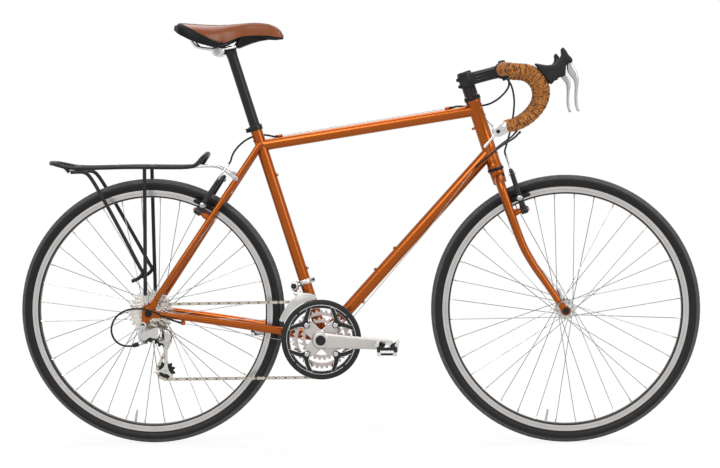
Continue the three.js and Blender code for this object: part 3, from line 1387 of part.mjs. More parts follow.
function makeRearDerailleur() {
  const outerFace = -(rearDropout.inner + rearDropout.thickness) - gap;
  const k = knuckleShape;
  const { height, linkHeight, pin: pinRadius, pinEnd, pinSides, pivot, ear, bone } = k;
  const earAt = (place, shift) => place.clone().addScaledVector(linkAxis, shift);
  const linkWay = linkRest.clone().normalize();
  const widthWay = linkAxis.clone().cross(linkWay);
  const hangerBolt = pin(hanger, outerFace, outerFace - k.boltLength, k.hanger, 10);
  const ears = [-1, 1].map((end) =>
    rod(
      earAt(linkNear, end * (linkHeight / 2 + gap)), earAt(linkNear, end * (height / 2 + ear)),
      pinRadius * 2, pinRadius * 2, 6,
    ),
  );
  const pinThrough = (place, radius) =>
    rod(earAt(place, -height / 2 - pinEnd), earAt(place, height / 2 + pinEnd), radius, radius, pinSides);
  const nearPin = pinThrough(linkNear, pinRadius);
  const bodyY = outerFace - k.depth;
  const belowHanger = (ahead, below, y = bodyY) => at(hanger.x + ahead, y, hanger.z - below);
  const upperBone = rod(belowHanger(0, 0), belowHanger(k.neckAhead, k.neckBelow, bodyY + k.neckIn), bone, bone, 6);
  const lowerBone = sweep(
    [
      belowHanger(0, 0), belowHanger(-k.armBehind, k.armTop), belowHanger(-k.armBehind, k.armLow),
      belowHanger(k.neckAhead, k.armFoot),
    ],
    round(bone), 6, 3, false,
  );
  const barrelAdjuster = rod(
    belowHanger(-k.adjusterAt, k.armFoot), belowHanger(-k.adjusterEnd, k.adjusterBelow), bone, bone, 8,
  );
  add(
    "rear_derailleur_knuckle",
    join(hangerBolt, upperBone, lowerBone, ...ears, nearPin, barrelAdjuster), silver,
  );
  const linkPlate = block(
    linkNear.clone().lerp(linkFar, 1 / 2), linkWay, linkAxis, derailleur.link + k.linkEnds,
    k.linkWidth, linkHeight,
  );
  const pinHoles = [linkNear, linkFar].map((place) => pinThrough(place, boreFor(pinRadius, pinSides)));
  add("rear_derailleur_link", cut(linkPlate, ...pinHoles), silver);
  const farPin = pinThrough(linkFar, pinRadius);
  const farEars = [-1, 1].map((end) =>
    rod(
      earAt(linkFar, end * (linkHeight / 2 + gap)), earAt(linkFar, end * (height / 2 + ear)),
      pinRadius * 2, pinRadius * 2, 6,
    ),
  );
  const cageOuter = cagePivot.y - derailleur.cageHalf - derailleur.cagePlate;
  const pivotFace = cageOuter - derailleur.stub - gap;
  const housing = pin(cagePivot, pivotFace, pivotFace - k.boltLength, pivot, 10);
  const farBones = [-1, 1].map((end) =>
    rod(
      earAt(linkFar, end * (height / 2 + ear / 2)),
      at(cagePivot.x + k.spreadAhead, pivotFace - k.boltLength / 2, cagePivot.z + end * k.spread),
      k.lowerBone, k.lowerBone, 6,
    ),
  );
  add("rear_derailleur_lower_knuckle", join(farPin, ...farEars, housing, ...farBones), silver);

  const plates = [-1, 1].map((end) => {
    const y = pulleyPlane + end * (derailleur.cageHalf + derailleur.cagePlate / 2);
    const place = (p) => at(p.x, y, p.z);
    const half = derailleur.cagePlate / 2;
    return join(
      flat(place(guidePulley), place(tensionPulley), derailleur.cageWidth, derailleur.cagePlate),
      pin(guidePulley, y - half, y + half, derailleur.guideEnd, 8),
      pin(tensionPulley, y - half, y + half, derailleur.tensionEnd, 8),
    );
  });
  const reach = derailleur.cageHalf + derailleur.cagePlate;
  const bolts = [guidePulley, tensionPulley].map((place) =>
    pin(place, pulleyPlane - reach, pulleyPlane + reach, derailleur.bolt, 6),
  );
  const cageStub = pin(cagePivot, cageOuter + derailleur.cagePlate, cageOuter - derailleur.stub, derailleur.stubRadius, 10);
  add("rear_derailleur_cage", join(...plates, ...bolts, cageStub), silver);
  const pulleyBore = boreFor(derailleur.bolt, 6);
  const pulley = (place) =>
    sprocket(place, derailleur.pulleyTeeth, pulleyPlane, derailleur.pulleyThickness, pulleyBore, 6);
  add("guide_pulley", pulley(guidePulley), black);
  add("tension_pulley", pulley(tensionPulley), black);
}
makeRearDerailleur();

// Chain: two bands of side plates beside the teeth, tied by rollers where it runs straight
const chain = { plateHeight: 7, plateThickness: 0.9, plateY: 2.4, rollers: 2, rollerRadius: 3.2 };
function chainRoute() {
  const stations = [
    { centre: bottomBracket, radius: pitchRadius(ring.outerTeeth), turn: 1, y: ring.outerY, steps: 9 },
    { centre: tensionPulley, radius: pitchRadius(derailleur.pulleyTeeth), turn: 1, y: pulleyPlane, steps: 5 },
    { centre: guidePulley, radius: pitchRadius(derailleur.pulleyTeeth), turn: -1, y: pulleyPlane, steps: 4 },
    { centre: rearAxle, radius: pitchRadius(cassette.teeth[0]), turn: 1, y: cassette.firstY, steps: 5 },
  ];
  // Leaving angle of the common tangent from one wheel to the next; turn 1 runs clockwise seen from -Y
  const spans = stations.map((from, i) => {
    const to = stations[(i + 1) % stations.length];
    const [dx, dz] = [to.centre.x - from.centre.x, to.centre.z - from.centre.z];
    const lean = Math.asin((from.turn * from.radius - to.turn * to.radius) / Math.hypot(dx, dz));
    const normal = Math.atan2(dz, dx) + Math.PI / 2 - lean;
    return normal;
  });
  const points = [];
  stations.forEach((station, i) => {
    const arrive = spans[(i + stations.length - 1) % stations.length] + (station.turn < 0 ? Math.PI : 0);
    let leave = spans[i] + (station.turn < 0 ? Math.PI : 0);
    while (station.turn > 0 && leave > arrive) leave -= 2 * Math.PI;
    while (station.turn < 0 && leave < arrive) leave += 2 * Math.PI;
    for (let k = 0; k <= station.steps; k += 1) {
      const angle = lerp(arrive, leave, k / station.steps);
      const outward = at(Math.cos(angle), 0, Math.sin(angle)).multiplyScalar(station.turn);
      const place = around(station.centre, station.radius, angle, station.y);
      points.push({ place, outward });
    }
  });
  return points;
}
function makeChain() {
  const route = chainRoute();
  const band = (yFrom, yTo) => {
    const half = chain.plateHeight / 2;
    const count = 4;
    const places = route.flatMap(({ place, outward }) =>
      [[half, yFrom], [half, yTo], [-half, yTo], [-half, yFrom]].flatMap(([reach, y]) => {
        const p = place.clone().addScaledVector(outward, reach);
        return [p.x, p.y + y, p.z];
      }),
    );
    const corners = [];
    for (let i = 0; i < route.length; i += 1) {
      const next = (i + 1) % route.length;
      for (let j = 0; j < count; j += 1) {
        const k = (j + 1) % count;
        const [a, b, c, d] = [i * count + j, i * count + k, next * count + k, next * count + j];
        corners.push(a, b, c, a, c, d);
      }
    }
    const geometry = new THREE.BufferGeometry();
    geometry.setAttribute("position", new THREE.Float32BufferAttribute(places, 3));
    geometry.setIndex(corners);
    return solid(geometry);
  };
  const outerY = chain.plateY + chain.plateThickness / 2;
  const innerY = chain.plateY - chain.plateThickness / 2;
  const pieces = [band(innerY, outerY), band(-outerY, -innerY)];
  const runs = [];
  route.forEach(({ place }, i) => {
    const next = route[(i + 1) % route.length].place;
    if (place.distanceTo(next) > wheelbase / 4) runs.push([place, next]);
  });
  for (const [from, to] of runs) {
    for (let i = 1; i <= chain.rollers; i += 1) {
      const share = lerp(0.14, 0.8, i / (chain.rollers + 1));
      const centre = from.clone().lerp(to, share);
      pieces.push(pin(centre, centre.y - chain.plateY, centre.y + chain.plateY, chain.rollerRadius, 5));
    }
  }
  add("chain", join(...pieces), steel);
}
makeChain();

// Front derailleur: band clamp and body on the seat tube, and the cage over the big ring
const frontMech = {
  clampAt: 150, clampHalf: 7, clampOuter: 18.6, bodyY: -30, cageInner: 104, cageOuter: 117,
  cageFrom: 98, cageTo: 152, plate: 1.4, plateGap: 11, steps: 6, lugStand: 3, lugLength: 9, lugWidth: 8,
  lugHeight: 12, body: 22, bodyBelow: 3, bodyBehind: 9, bodyOut: 12, neckLength: 10, neckWidth: 16, neckHeight: 12,
  neckBelow: 2, neckOut: 10, bridge: 3, bridgeIn: 2, bridgeAt: 105, tail: 2.5, tailOut: 6, tailBack: 3, link: 4,
  linkOut: 6,
};
function makeFrontDerailleur() {
  const m = frontMech;
  const clampRing = cut(
    rod(seat.place(m.clampAt - m.clampHalf), seat.place(m.clampAt + m.clampHalf), m.clampOuter, m.clampOuter, 12),
    seatSpace,
  );
  const lug = block(
    seat.place(m.clampAt, m.clampOuter + m.lugStand), seat.ahead, seat.along, m.lugLength, m.lugWidth, m.lugHeight,
  );
  const body = block(
    seat.place(m.clampAt - m.bodyBelow, -m.clampOuter - m.bodyBehind, -m.bodyOut), seat.ahead, seat.along,
    m.body, m.body, m.body,
  );
  const neck = block(
    seat.place(m.clampAt - m.neckBelow, -m.clampOuter, -m.neckOut), seat.ahead, seat.along,
    m.neckLength, m.neckWidth, m.neckHeight,
  );
  const whole = join(clampRing, lug, body, cut(neck, seatSpace));
  add("front_derailleur_body", whole, silver);

  const middle = ring.outerY;
  const arc = (reach, degrees) => {
    const p = around(bottomBracket, reach, THREE.MathUtils.degToRad(degrees));
    return [p.x, p.z];
  };
  const outline = [];
  for (let i = 0; i <= m.steps; i += 1) outline.push(arc(m.cageOuter, lerp(m.cageFrom, m.cageTo, i / m.steps)));
  for (let i = m.steps; i >= 0; i -= 1) outline.push(arc(m.cageInner, lerp(m.cageFrom, m.cageTo, i / m.steps)));
  const plates = [-1, 1].map((end) => {
    const y = middle + (end * m.plateGap) / 2;
    return plate(outline, y - m.plate / 2, y + m.plate / 2);
  });
  const [topX, topZ] = arc(m.cageOuter - m.bridgeIn, m.bridgeAt);
  const topBridge = pin(at(topX, 0, topZ), middle - m.plateGap / 2, middle + m.plateGap / 2, m.bridge, 8);
  const [tailX, tailZ] = arc(m.cageInner + m.tailOut, m.cageTo - m.tailBack);
  const tailBridge = pin(at(tailX, 0, tailZ), middle - m.plateGap / 2, middle + m.plateGap / 2, m.tail, 8);
  const bodyBottom = seat.place(
    m.clampAt - m.bodyBelow - m.body / 2 - gap, -m.clampOuter - m.bodyBehind, -m.bodyOut,
  );
  const linkFoot = at(bodyBottom.x, middle + m.plateGap / 2, bodyBottom.z - m.link);
  const carrier = rod(at(topX, middle + m.plateGap / 2, topZ), linkFoot, m.link, m.link, 8);
  const linkTop = at(linkFoot.x, bodyBottom.y - m.linkOut, linkFoot.z);
  const link = rod(linkFoot, linkTop, m.link, m.link, 8);
  add("front_derailleur_cage", join(...plates, topBridge, tailBridge, carrier, link), silver);
}
makeFrontDerailleur();

// Cables and housings, along hand-chosen routes
const housing = { radius: 2.5, wire: 0.8 };
const lead = 9;
const frontMouth = noodleMouth(frontBrake, left);
const rearMouth = noodleMouth(rearBrake, right);
const xyz = (place) => [place.x, place.y, place.z];
add(
  "front_brake_housing",
  cord(
    [
      [390, 61, 931], [399, 62, 915], [409, 62, 880], [410, 58, 830], [406, 54, 785],
      xyz(frontMouth.beyond(lead)), xyz(frontMouth.beyond(2 * gap)),
    ],
    housing.radius, 5, 11,
  ),
  black,
);
const topStopAt = (share, shift) =>
  topFrom
    .clone()
    .lerp(topTo, share)
    .addScaledVector(topNormal, topTube.outer + stop.stand)
    .addScaledVector(topWay, shift);
const stopEnd = stop.length / 2 + 2 * gap;
add(
  "rear_brake_housing",
  cord(
    [
      [390, -61, 931], [391, -50, 912], [374, -22, 888], [345, 12, 869], [318, 29, 863], [284, 27, 862],
      [260, 12, 862.5], xyz(topStopAt(topStopShares[1], stopEnd + lead)),
      xyz(topStopAt(topStopShares[1], stopEnd)),
    ],
    housing.radius, 5, 13,
  ),
  black,
);
const bareTop = rod(
  topStopAt(topStopShares[0], -stopEnd - overrun), topStopAt(topStopShares[1], -stopEnd),
  housing.wire, housing.wire, 6,
);
const rearLoop = cord(
  [
    xyz(topStopAt(topStopShares[0], -stopEnd)), xyz(topStopAt(topStopShares[0], -stopEnd - lead)),
    [-217, 9, 791], [-238, 20.5, 792.5], [-260, 22, 791],
    [-284, 6, 783], [-306, -20, 768], [-322, -38, 752], xyz(rearMouth.beyond(lead)),
    xyz(rearMouth.beyond(2 * gap)),
  ],
  housing.radius, 5, 15,
);
add("rear_brake_cable", join(bareTop, rearLoop), black);
function makeShiftHousing(name, side) {
  const stopAt = (shift) =>
    downFoot(downStopShare)
      .addScaledVector(downWay, shift)
      .add(at(0, side * (downTube.outer + stop.stand), 0));
  add(
    name,
    cord(
      [
        [415, side * 212, 796.5], [402, side * 185, 783], [383, side * 140, 770], [362, side * 90, 755],
        [340, side * 48, 736], xyz(stopAt(stopEnd + lead)), xyz(stopAt(stopEnd)),
      ],
      housing.radius, 5, 12,
    ),
    black,
  );
}
makeShiftHousing("shift_housing_right", right);
makeShiftHousing("shift_housing_left", left);

// Bare gear wires under the down tube, held by the guide under the bottom bracket
const guide = { length: 26, width: 20, height: 5 };
function makeGearWires() {
  const under = at(0, 0, -1);
  const guideAt = bottomBracket.clone().addScaledVector(under, shell.outer + gap + guide.height / 2);
  const pieces = [block(guideAt, at(1, 0, 0), up, guide.length, guide.width, guide.height)];
  const wire = (points) => sweep(points, round(housing.wire), 4, points.length - 1, false);
  const lower = downNormal.clone().negate();
  for (const side of [right, left]) {
    const from = downFoot(downStopShare)
      .addScaledVector(downWay, -stopEnd)
      .add(at(0, side * (downTube.outer + stop.stand), 0));
    const bend = downFoot(0.6).addScaledVector(lower, downTube.outer).add(at(0, side * 11.5, 0));
    const low = downFoot(0.16).addScaledVector(lower, downTube.outer + 7).add(at(0, side * 6, 0));
    const end = guideAt.clone().add(at(guide.length / 3, side * 6, -1));
    pieces.push(wire([from, bend, low, end]));
  }
  const stayRun = [
    guideAt.clone().add(at(0, -5, 0)),
    at(-120, -17, 254.5), at(-218, -40, 275), at(-421, -60, 312.5), at(-446, -62.5, 317.5),
  ];
  pieces.push(wire(stayRun));
  const mechRun = [
    guideAt.clone().add(at(-guide.length / 4, 4, 0)),
    at(-117, 4, 258), at(-121, 3, 285), at(-123.5, 2, 315), at(-144.2, -6, 382), at(-148, -8, 396),
  ];
  pieces.push(wire(mechRun));
  add("gear_wires", join(...pieces), steel);
}
makeGearWires();
add(
  "rear_derailleur_housing",
  cord(
    [
      [-449, -66, 318.5], [-468, -76, 326], [-490, -82, 336], [-520, -84, 349], [-552, -84, 354],
      [-585, -84, 347], [-609, -83, 329], [-620, -82, 306], [-615, -81, 282], [-597, -80, 266],
      [-575, -79.8, 262], [-555.8, -79.8, 266.3],
    ],
    housing.radius, 5, 18,
  ),
  black,
);

export default bicycle;
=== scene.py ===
# A steel touring bicycle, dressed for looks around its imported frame. Blender 4.5.
# Shapes are worked out in millimetres and turned into metres when a piece is finished.
import math

import bmesh
import bpy
from mathutils import Matrix, Vector
from mathutils.geometry import convex_hull_2d, delaunay_2d_cdt


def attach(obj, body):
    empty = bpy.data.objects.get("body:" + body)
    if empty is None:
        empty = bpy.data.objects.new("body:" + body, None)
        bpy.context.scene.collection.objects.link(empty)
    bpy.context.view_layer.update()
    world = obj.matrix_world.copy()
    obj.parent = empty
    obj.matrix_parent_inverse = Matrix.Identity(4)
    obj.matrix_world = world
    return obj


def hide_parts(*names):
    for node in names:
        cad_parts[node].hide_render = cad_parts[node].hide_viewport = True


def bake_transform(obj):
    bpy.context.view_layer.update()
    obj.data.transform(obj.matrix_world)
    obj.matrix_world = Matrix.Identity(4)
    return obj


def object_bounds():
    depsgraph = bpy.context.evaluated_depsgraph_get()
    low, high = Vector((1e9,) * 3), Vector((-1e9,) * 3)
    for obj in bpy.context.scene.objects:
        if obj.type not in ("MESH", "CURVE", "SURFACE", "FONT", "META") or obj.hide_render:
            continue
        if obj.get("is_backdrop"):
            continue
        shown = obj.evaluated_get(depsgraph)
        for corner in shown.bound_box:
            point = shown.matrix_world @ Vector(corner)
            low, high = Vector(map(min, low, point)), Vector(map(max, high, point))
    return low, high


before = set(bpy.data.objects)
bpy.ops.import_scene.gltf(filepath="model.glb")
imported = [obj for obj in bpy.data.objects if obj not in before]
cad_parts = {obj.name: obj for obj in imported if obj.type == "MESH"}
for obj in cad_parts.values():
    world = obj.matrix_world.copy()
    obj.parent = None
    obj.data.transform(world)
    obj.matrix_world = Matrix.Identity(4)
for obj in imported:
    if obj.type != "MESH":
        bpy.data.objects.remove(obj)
cad_box = [list(corner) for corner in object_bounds()]

# Camera: it stands about five metres off the drive side, level with the saddle, and looks a little
# down and back along the bicycle. The long lens keeps both wheels nearly round.
lens_in_pixels = 1954.2
photo_width = 720
camera_yaw, camera_pitch, camera_roll = 0.0610510, 0.0566793, -0.0114423
camera_data = bpy.data.cameras.new("studio_camera")
camera_data.sensor_width = 36
camera_data.lens = lens_in_pixels * camera_data.sensor_width / photo_width
camera_data.clip_end = 60
camera = bpy.data.objects.new("studio_camera", camera_data)
bpy.context.scene.collection.objects.link(camera)
forward = Vector((
    -math.sin(camera_yaw) * math.cos(camera_pitch),
    math.cos(camera_yaw) * math.cos(camera_pitch),
    -math.sin(camera_pitch),
))
level_right = forward.cross(Vector((0, 0, 1))).normalized()
level_up = level_right.cross(forward)
tilt_right = level_right * math.cos(camera_roll) + level_up * math.sin(camera_roll)
tilt_up = level_up * math.cos(camera_roll) - level_right * math.sin(camera_roll)
turn = Matrix((tilt_right, tilt_up, -forward)).transposed().to_4x4()
camera.matrix_world = Matrix.Translation((0.31377, -4.9988, 0.82255)) @ turn
bpy.context.scene.camera = camera

# Cables: black outer housings of five millimetres, each a stiff cord held at both ends, and the bare
# steel wires that run on from the stops. A housing bends in one smooth line from lever to stop.
mm = 0.001


def smooth_route(corners, steps):
    """A smooth line through given points, cut into equal steps."""
    points = [Vector(corner) for corner in corners]
    ends = [2 * points[0] - points[1], *points, 2 * points[-1] - points[-2]]
    dense, parts = [], 12
    for before, start, end, after in zip(ends, ends[1:], ends[2:], ends[3:]):
        near, here, far = [
            max((b - a).length, 1e-4) ** 0.5 for a, b in ((before, start), (start, end), (end, after))
        ]
        leave = ((start - before) / near - (end - before) / (near + here) + (end - start) / here) * here
        arrive = ((end - start) / here - (after - start) / (here + far) + (after - end) / far) * here
        for k in range(parts):
            t = k / parts
            dense.append(
                start * (2 * t**3 - 3 * t**2 + 1) + leave * (t**3 - 2 * t**2 + t)
                + end * (3 * t**2 - 2 * t**3) + arrive * (t**3 - t**2)
            )
    dense.append(points[-1])
    return even_steps(dense, steps)


def even_steps(dense, steps):
    """The same line in equal steps."""
    reach = [0.0]
    for a, b in zip(dense, dense[1:]):
        reach.append(reach[-1] + (b - a).length)
    found, i = [], 0
    for k in range(steps + 1):
        want = reach[-1] * k / steps
        while i < len(dense) - 2 and reach[i + 1] < want:
            i += 1
        share = (want - reach[i]) / max(reach[i + 1] - reach[i], 1e-9)
        found.append(dense[i].lerp(dense[i + 1], min(share, 1)))
    return found


class Shape:
    """One piece's mesh while it is being made, in millimetres."""

    def __init__(self):
        self.mesh = bmesh.new()
        self.layers = {}

    def skin(self, rings, around=True, ends=True, loop=False):
        """Rings of equal count joined into a skin. loop joins the last ring to the first."""
        rows = [[self.mesh.verts.new(point) for point in ring] for ring in rings]
        for near, far in list(zip(rows, rows[1:])) + ([(rows[-1], rows[0])] if loop else []):
            for i in range(len(near) if around else len(near) - 1):
                j = (i + 1) % len(near)
                self.mesh.faces.new((near[i], near[j], far[j], far[i]))
        if ends and not loop:
            self.mesh.faces.new(rows[0][::-1])
            self.mesh.faces.new(rows[-1])
        return self

    def tube(self, route, radius, sides=16, loop=False, ends=True):
        """A tube along a route. radius is a number, or a function of the share of the way that
        gives half the width across the bicycle and half the height square to it."""
        rings, side = [], None
        last = len(route) - 1
        for i, place in enumerate(route):
            before = route[(i - 1) % len(route)] if loop else route[max(i - 1, 0)]
            after = route[(i + 1) % len(route)] if loop else route[min(i + 1, last)]
            way = (after - before).normalized()
            if side is None:
                side = Vector((1, 0, 0)) if abs(way.y) > 0.9 else Vector((0, 1, 0))
            side = (side - way * side.dot(way)).normalized()
            high = way.cross(side)
            wide, tall = radius(i / last) if callable(radius) else (radius, radius)
            rings.append([
                place + side * (wide * math.cos(angle)) + high * (tall * math.sin(angle))
                for angle in ((j + 0.5) / sides * math.tau for j in range(sides))
            ])
        return self.skin(rings, loop=loop, ends=ends)

    def turn(self, centre, way, profile, steps=32, hollow=False):
        """A profile of (distance along way, radius) turned about that line. hollow joins its ends
        into a ring, and otherwise they are closed on the line itself."""
        way = Vector(way).normalized()
        side = way.cross(Vector((0, 0, 1)) if abs(way.z) < 0.9 else Vector((1, 0, 0))).normalized()
        other = way.cross(side)
        if not hollow:
            profile = [(profile[0][0], 0), *profile, (profile[-1][0], 0)]
        rings = [
            [centre + way * d + (side * math.cos(a) + other * math.sin(a)) * r for d, r in profile]
            for a in (k / steps * math.tau for k in range(steps))
        ]
        return self.skin(rings, around=hollow, loop=True)

    def rod(self, start, end, radius, end_radius=None, steps=20):
        """A round rod or cone between two places."""
        length = (end - start).length
        far = radius if end_radius is None else end_radius
        return self.turn(start, end - start, [(0, radius), (length, far)], steps)

    def slab(self, outline, low, high):
        """An outline of (x, z) points as a plate from one y to another."""
        return self.skin([[Vector((x, y, z)) for x, z in outline] for y in (low, high)])

    def block(self, centre, long_way, high_way, length, width, height):
        """A block with its own length and height directions."""
        long_way, high_way = Vector(long_way).normalized(), Vector(high_way).normalized()
        wide_way = high_way.cross(long_way)
        corner = lambda l, w, h: centre + long_way * l * length / 2 + wide_way * w * width / 2 + (
            high_way * h * height / 2
        )
        rows = [[corner(l, w, h) for w, h in ((-1, -1), (1, -1), (1, 1), (-1, 1))] for l in (-1, 1)]
        return self.skin(rows)

    def piece(self, name, finish, sharp=40, bevel=0, levels=0, grow=()):
        """The finished object, in metres. grow lists Geometry Nodes trees with their values."""
        bmesh.ops.remove_doubles(self.mesh, verts=self.mesh.verts, dist=1e-3)
        bmesh.ops.dissolve_degenerate(self.mesh, edges=self.mesh.edges, dist=1e-4)
        bmesh.ops.recalc_face_normals(self.mesh, faces=self.mesh.faces)
        bmesh.ops.scale(self.mesh, vec=(mm, mm, mm), verts=self.mesh.verts)
        data = bpy.data.meshes.new(name)
        self.mesh.to_mesh(data)
        self.mesh.free()
        for layer, value in self.layers.items():
            data.attributes.new(layer, "FLOAT", "POINT").data.foreach_set("value", value)
        thing = bpy.data.objects.new(name, data)
        bpy.context.scene.collection.objects.link(thing)
        data.materials.append(finish)
        data.shade_smooth()
        if bevel:
            rounding = thing.modifiers.new("rounding", "BEVEL")
            rounding.width, rounding.segments = bevel * mm, 2
            rounding.limit_method, rounding.angle_limit = "ANGLE", math.radians(sharp)
            rounding.use_clamp_overlap = True
        if levels:
            smoothing = thing.modifiers.new("smoothing", "SUBSURF")
            smoothing.levels = smoothing.render_levels = levels
        for tree, values in grow:
            growth = thing.modifiers.new(tree.name, "NODES")
            growth.node_group = tree
            for item in tree.interface.items_tree:
                if item.item_type == "SOCKET" and item.in_out == "INPUT" and item.name in values:
                    growth[item.identifier] = values[item.name]
        if thing.modifiers:
            made = bpy.data.meshes.new_from_object(
                thing.evaluated_get(bpy.context.evaluated_depsgraph_get())
            )
            thing.modifiers.clear()
            thing.data = made
        thing.data.set_sharp_from_angle(angle=math.radians(sharp))
        return thing


def fitted(thing, body, *nodes, slot=None):
    """The piece moves with a body and stands for the CAD nodes it is named with."""
    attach(thing, body)
    if nodes:
        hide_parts(*nodes)
    return thing


def add_node(tree, kind, **settings):
    """A node with its settings. A setting that names an input sets that input's value."""
    node = tree.nodes.new(kind)
    for key, value in settings.items():
        if hasattr(node, key):
            setattr(node, key, value)
        else:
            node.inputs[key.replace("_", " ")].default_value = value
    return node


def wire_nodes(tree, *wires):
    """Link nodes, each wire given as (node, its output, node, its input)."""
    for giver, output, taker, entry in wires:
        tree.links.new(giver.outputs[output], taker.inputs[entry])


def surface_variation():
    """Shader group: two shades in soft patches, an uneven gloss and a fine grain."""
    group = bpy.data.node_groups.new("surface_variation", "ShaderNodeTree")
    plain = "NodeSocketFloat"
    for name, kind in (
        ("Shade", "NodeSocketColor"), ("Other Shade", "NodeSocketColor"), ("Patch Scale", plain),
        ("Patch Contrast", plain), ("Gloss", plain), ("Gloss Spread", plain),
        ("Grain Scale", plain), ("Grain Depth", plain),
    ):
        group.interface.new_socket(name, in_out="INPUT", socket_type=kind)
    for name, kind in (
        ("Colour", "NodeSocketColor"), ("Roughness", plain), ("Normal", "NodeSocketVector"),
    ):
        group.interface.new_socket(name, in_out="OUTPUT", socket_type=kind)
    into, out = group.nodes.new("NodeGroupInput"), group.nodes.new("NodeGroupOutput")
    place = add_node(group, "ShaderNodeTexCoord")
    patches = add_node(group, "ShaderNodeTexNoise", Detail=3)
    grain = add_node(group, "ShaderNodeTexNoise", Detail=4)
    stretch = add_node(group, "ShaderNodeMath", operation="MULTIPLY_ADD", use_clamp=True)
    centre = add_node(group, "ShaderNodeMath", operation="SUBTRACT")
    centre.inputs[1].default_value = 0.5
    shades = add_node(group, "ShaderNodeMix", data_type="RGBA")
    uneven = add_node(group, "ShaderNodeMath", operation="MULTIPLY_ADD", use_clamp=True)
    bump = add_node(group, "ShaderNodeBump")
    for noise, scale in ((patches, "Patch Scale"), (grain, "Grain Scale")):
        wire_nodes(
            group, (place, "Object", noise, "Vector"), (into, scale, noise, "Scale"),
        )
    wire_nodes(
        group, (patches, "Fac", centre, 0), (centre, 0, stretch, 0),
        (into, "Patch Contrast", stretch, 1),
    )
    stretch.inputs[2].default_value = 0.5
    wire_nodes(
        group, (stretch, 0, shades, "Factor"), (into, "Shade", shades, "A"),
        (into, "Other Shade", shades, "B"), (centre, 0, uneven, 0), (into, "Gloss Spread", uneven, 1),
        (into, "Gloss", uneven, 2), (grain, "Fac", bump, "Height"),
        (into, "Grain Depth", bump, "Distance"), (shades, "Result", out, "Colour"),
        (uneven, 0, out, "Roughness"), (bump, "Normal", out, "Normal"),
    )
    return group


variation = surface_variation()


def finish(name, shade, other, gloss, metal=0.0, patch=60, contrast=2.0, spread=0.3, grain=900,
           depth=0.00004, **plain):
    """A material of two linear shades with its own patches, gloss and grain."""
    material = bpy.data.materials.new(name)
    material.use_nodes = True
    tree = material.node_tree
    shader = tree.nodes["Principled BSDF"]
    surface = tree.nodes.new("ShaderNodeGroup")
    surface.node_tree = variation
    for key, value in (
        ("Shade", (*shade, 1)), ("Other Shade", (*other, 1)), ("Patch Scale", patch),
        ("Patch Contrast", contrast), ("Gloss", gloss), ("Gloss Spread", spread),
        ("Grain Scale", grain), ("Grain Depth", depth),
    ):
        surface.inputs[key].default_value = value
    wire_nodes(
        tree, (surface, "Colour", shader, "Base Color"), (surface, "Roughness", shader, "Roughness"),
        (surface, "Normal", shader, "Normal"),
    )
    shader.inputs["Metallic"].default_value = metal
    for key, value in plain.items():
        shader.inputs[key.replace("_", " ")].default_value = value
    return material


housing_black = finish(
    "housing_black", (0.007, 0.007, 0.008), (0.012, 0.012, 0.013), 0.42, Specular_IOR_Level=0.2,
)
wire_steel = finish("wire_steel", (0.46, 0.45, 0.43), (0.36, 0.35, 0.33), 0.34, metal=1.0)

wheelbase, axle_height = 1062, 343
chainstay_length, bracket_drop = 446.4, 70
front_axle = Vector((wheelbase / 2, 0, axle_height))
rear_axle = Vector((-wheelbase / 2, 0, axle_height))
bottom_bracket = Vector((
    rear_axle.x + math.sqrt(chainstay_length**2 - bracket_drop**2), 0, axle_height - bracket_drop,
))


def sloped(origin, degrees):
    """A leaning line in the middle plane: its place function and its two directions."""
    angle = math.radians(degrees)
    along = Vector((-math.cos(angle), 0, math.sin(angle)))
    ahead = Vector((math.sin(angle), 0, math.cos(angle)))
    place = lambda s, d=0, y=0: origin + along * s + ahead * d + Vector((0, y, 0))
    return place, along, ahead


head_angle, seat_angle, fork_offset, fork_length = 72.2, 72.8, 56.4, 390
fork_foot = front_axle - fork_offset * Vector((
    math.sin(math.radians(head_angle)), 0, math.cos(math.radians(head_angle)),
))
steer, steer_along, steer_ahead = sloped(fork_foot, head_angle)
seat, seat_along, seat_ahead = sloped(bottom_bracket, seat_angle)
across = Vector((0, 1, 0))

top_from, top_to = seat(518), steer(552.5)
top_way = (top_to - top_from).normalized()
top_normal = Vector((-top_way.z, 0, top_way.x))
down_to = steer(442)
down_way = (down_to - bottom_bracket).normalized()
down_normal = Vector((-down_way.z, 0, down_way.x))
top_radius, down_radius, stop_stand, stop_end = 14.3, 15.9, 2.7, 6.1
top_stops = (0.095, 0.87)


def top_stop(share, shift):
    """A place on the wire's line above the top tube."""
    return top_from.lerp(top_to, share) + top_normal * (top_radius + stop_stand) + top_way * shift


def down_stop(side, shift):
    """A place on the wire's line beside the down tube."""
    foot = bottom_bracket.lerp(down_to, 0.905) + down_way * shift
    return foot + Vector((0, side * (down_radius + stop_stand), 0))


seat_stay_top = seat(522)
seat_stay_end = rear_axle + Vector((21, 0, 38))
stay_way = (seat_stay_top - seat_stay_end).normalized()
stay_ahead = Vector((-stay_way.z, 0, stay_way.x))
rear_post_foot = seat_stay_top.lerp(seat_stay_end, 0.487)
front_brake = lambda s, d, y: steer(274 + s, d, y)
rear_brake = lambda s, d, y: rear_post_foot + stay_way * s + stay_ahead * d + Vector((0, y, 0))
arm_length, arm_middle, arm_top, noodle_rise, noodle_bend = 103, 36, 37, 42, 14


def noodle_mouth(brake, side, beyond):
    """A place past the open end of a brake's bent guide pipe, where the housing enters."""
    mouth = brake(arm_length + noodle_rise, arm_middle, side * (arm_top + noodle_bend))
    before = brake(arm_length + noodle_bend, arm_middle, side * (arm_top + noodle_bend * 1.5))
    return mouth + (mouth - before).normalized() * beyond


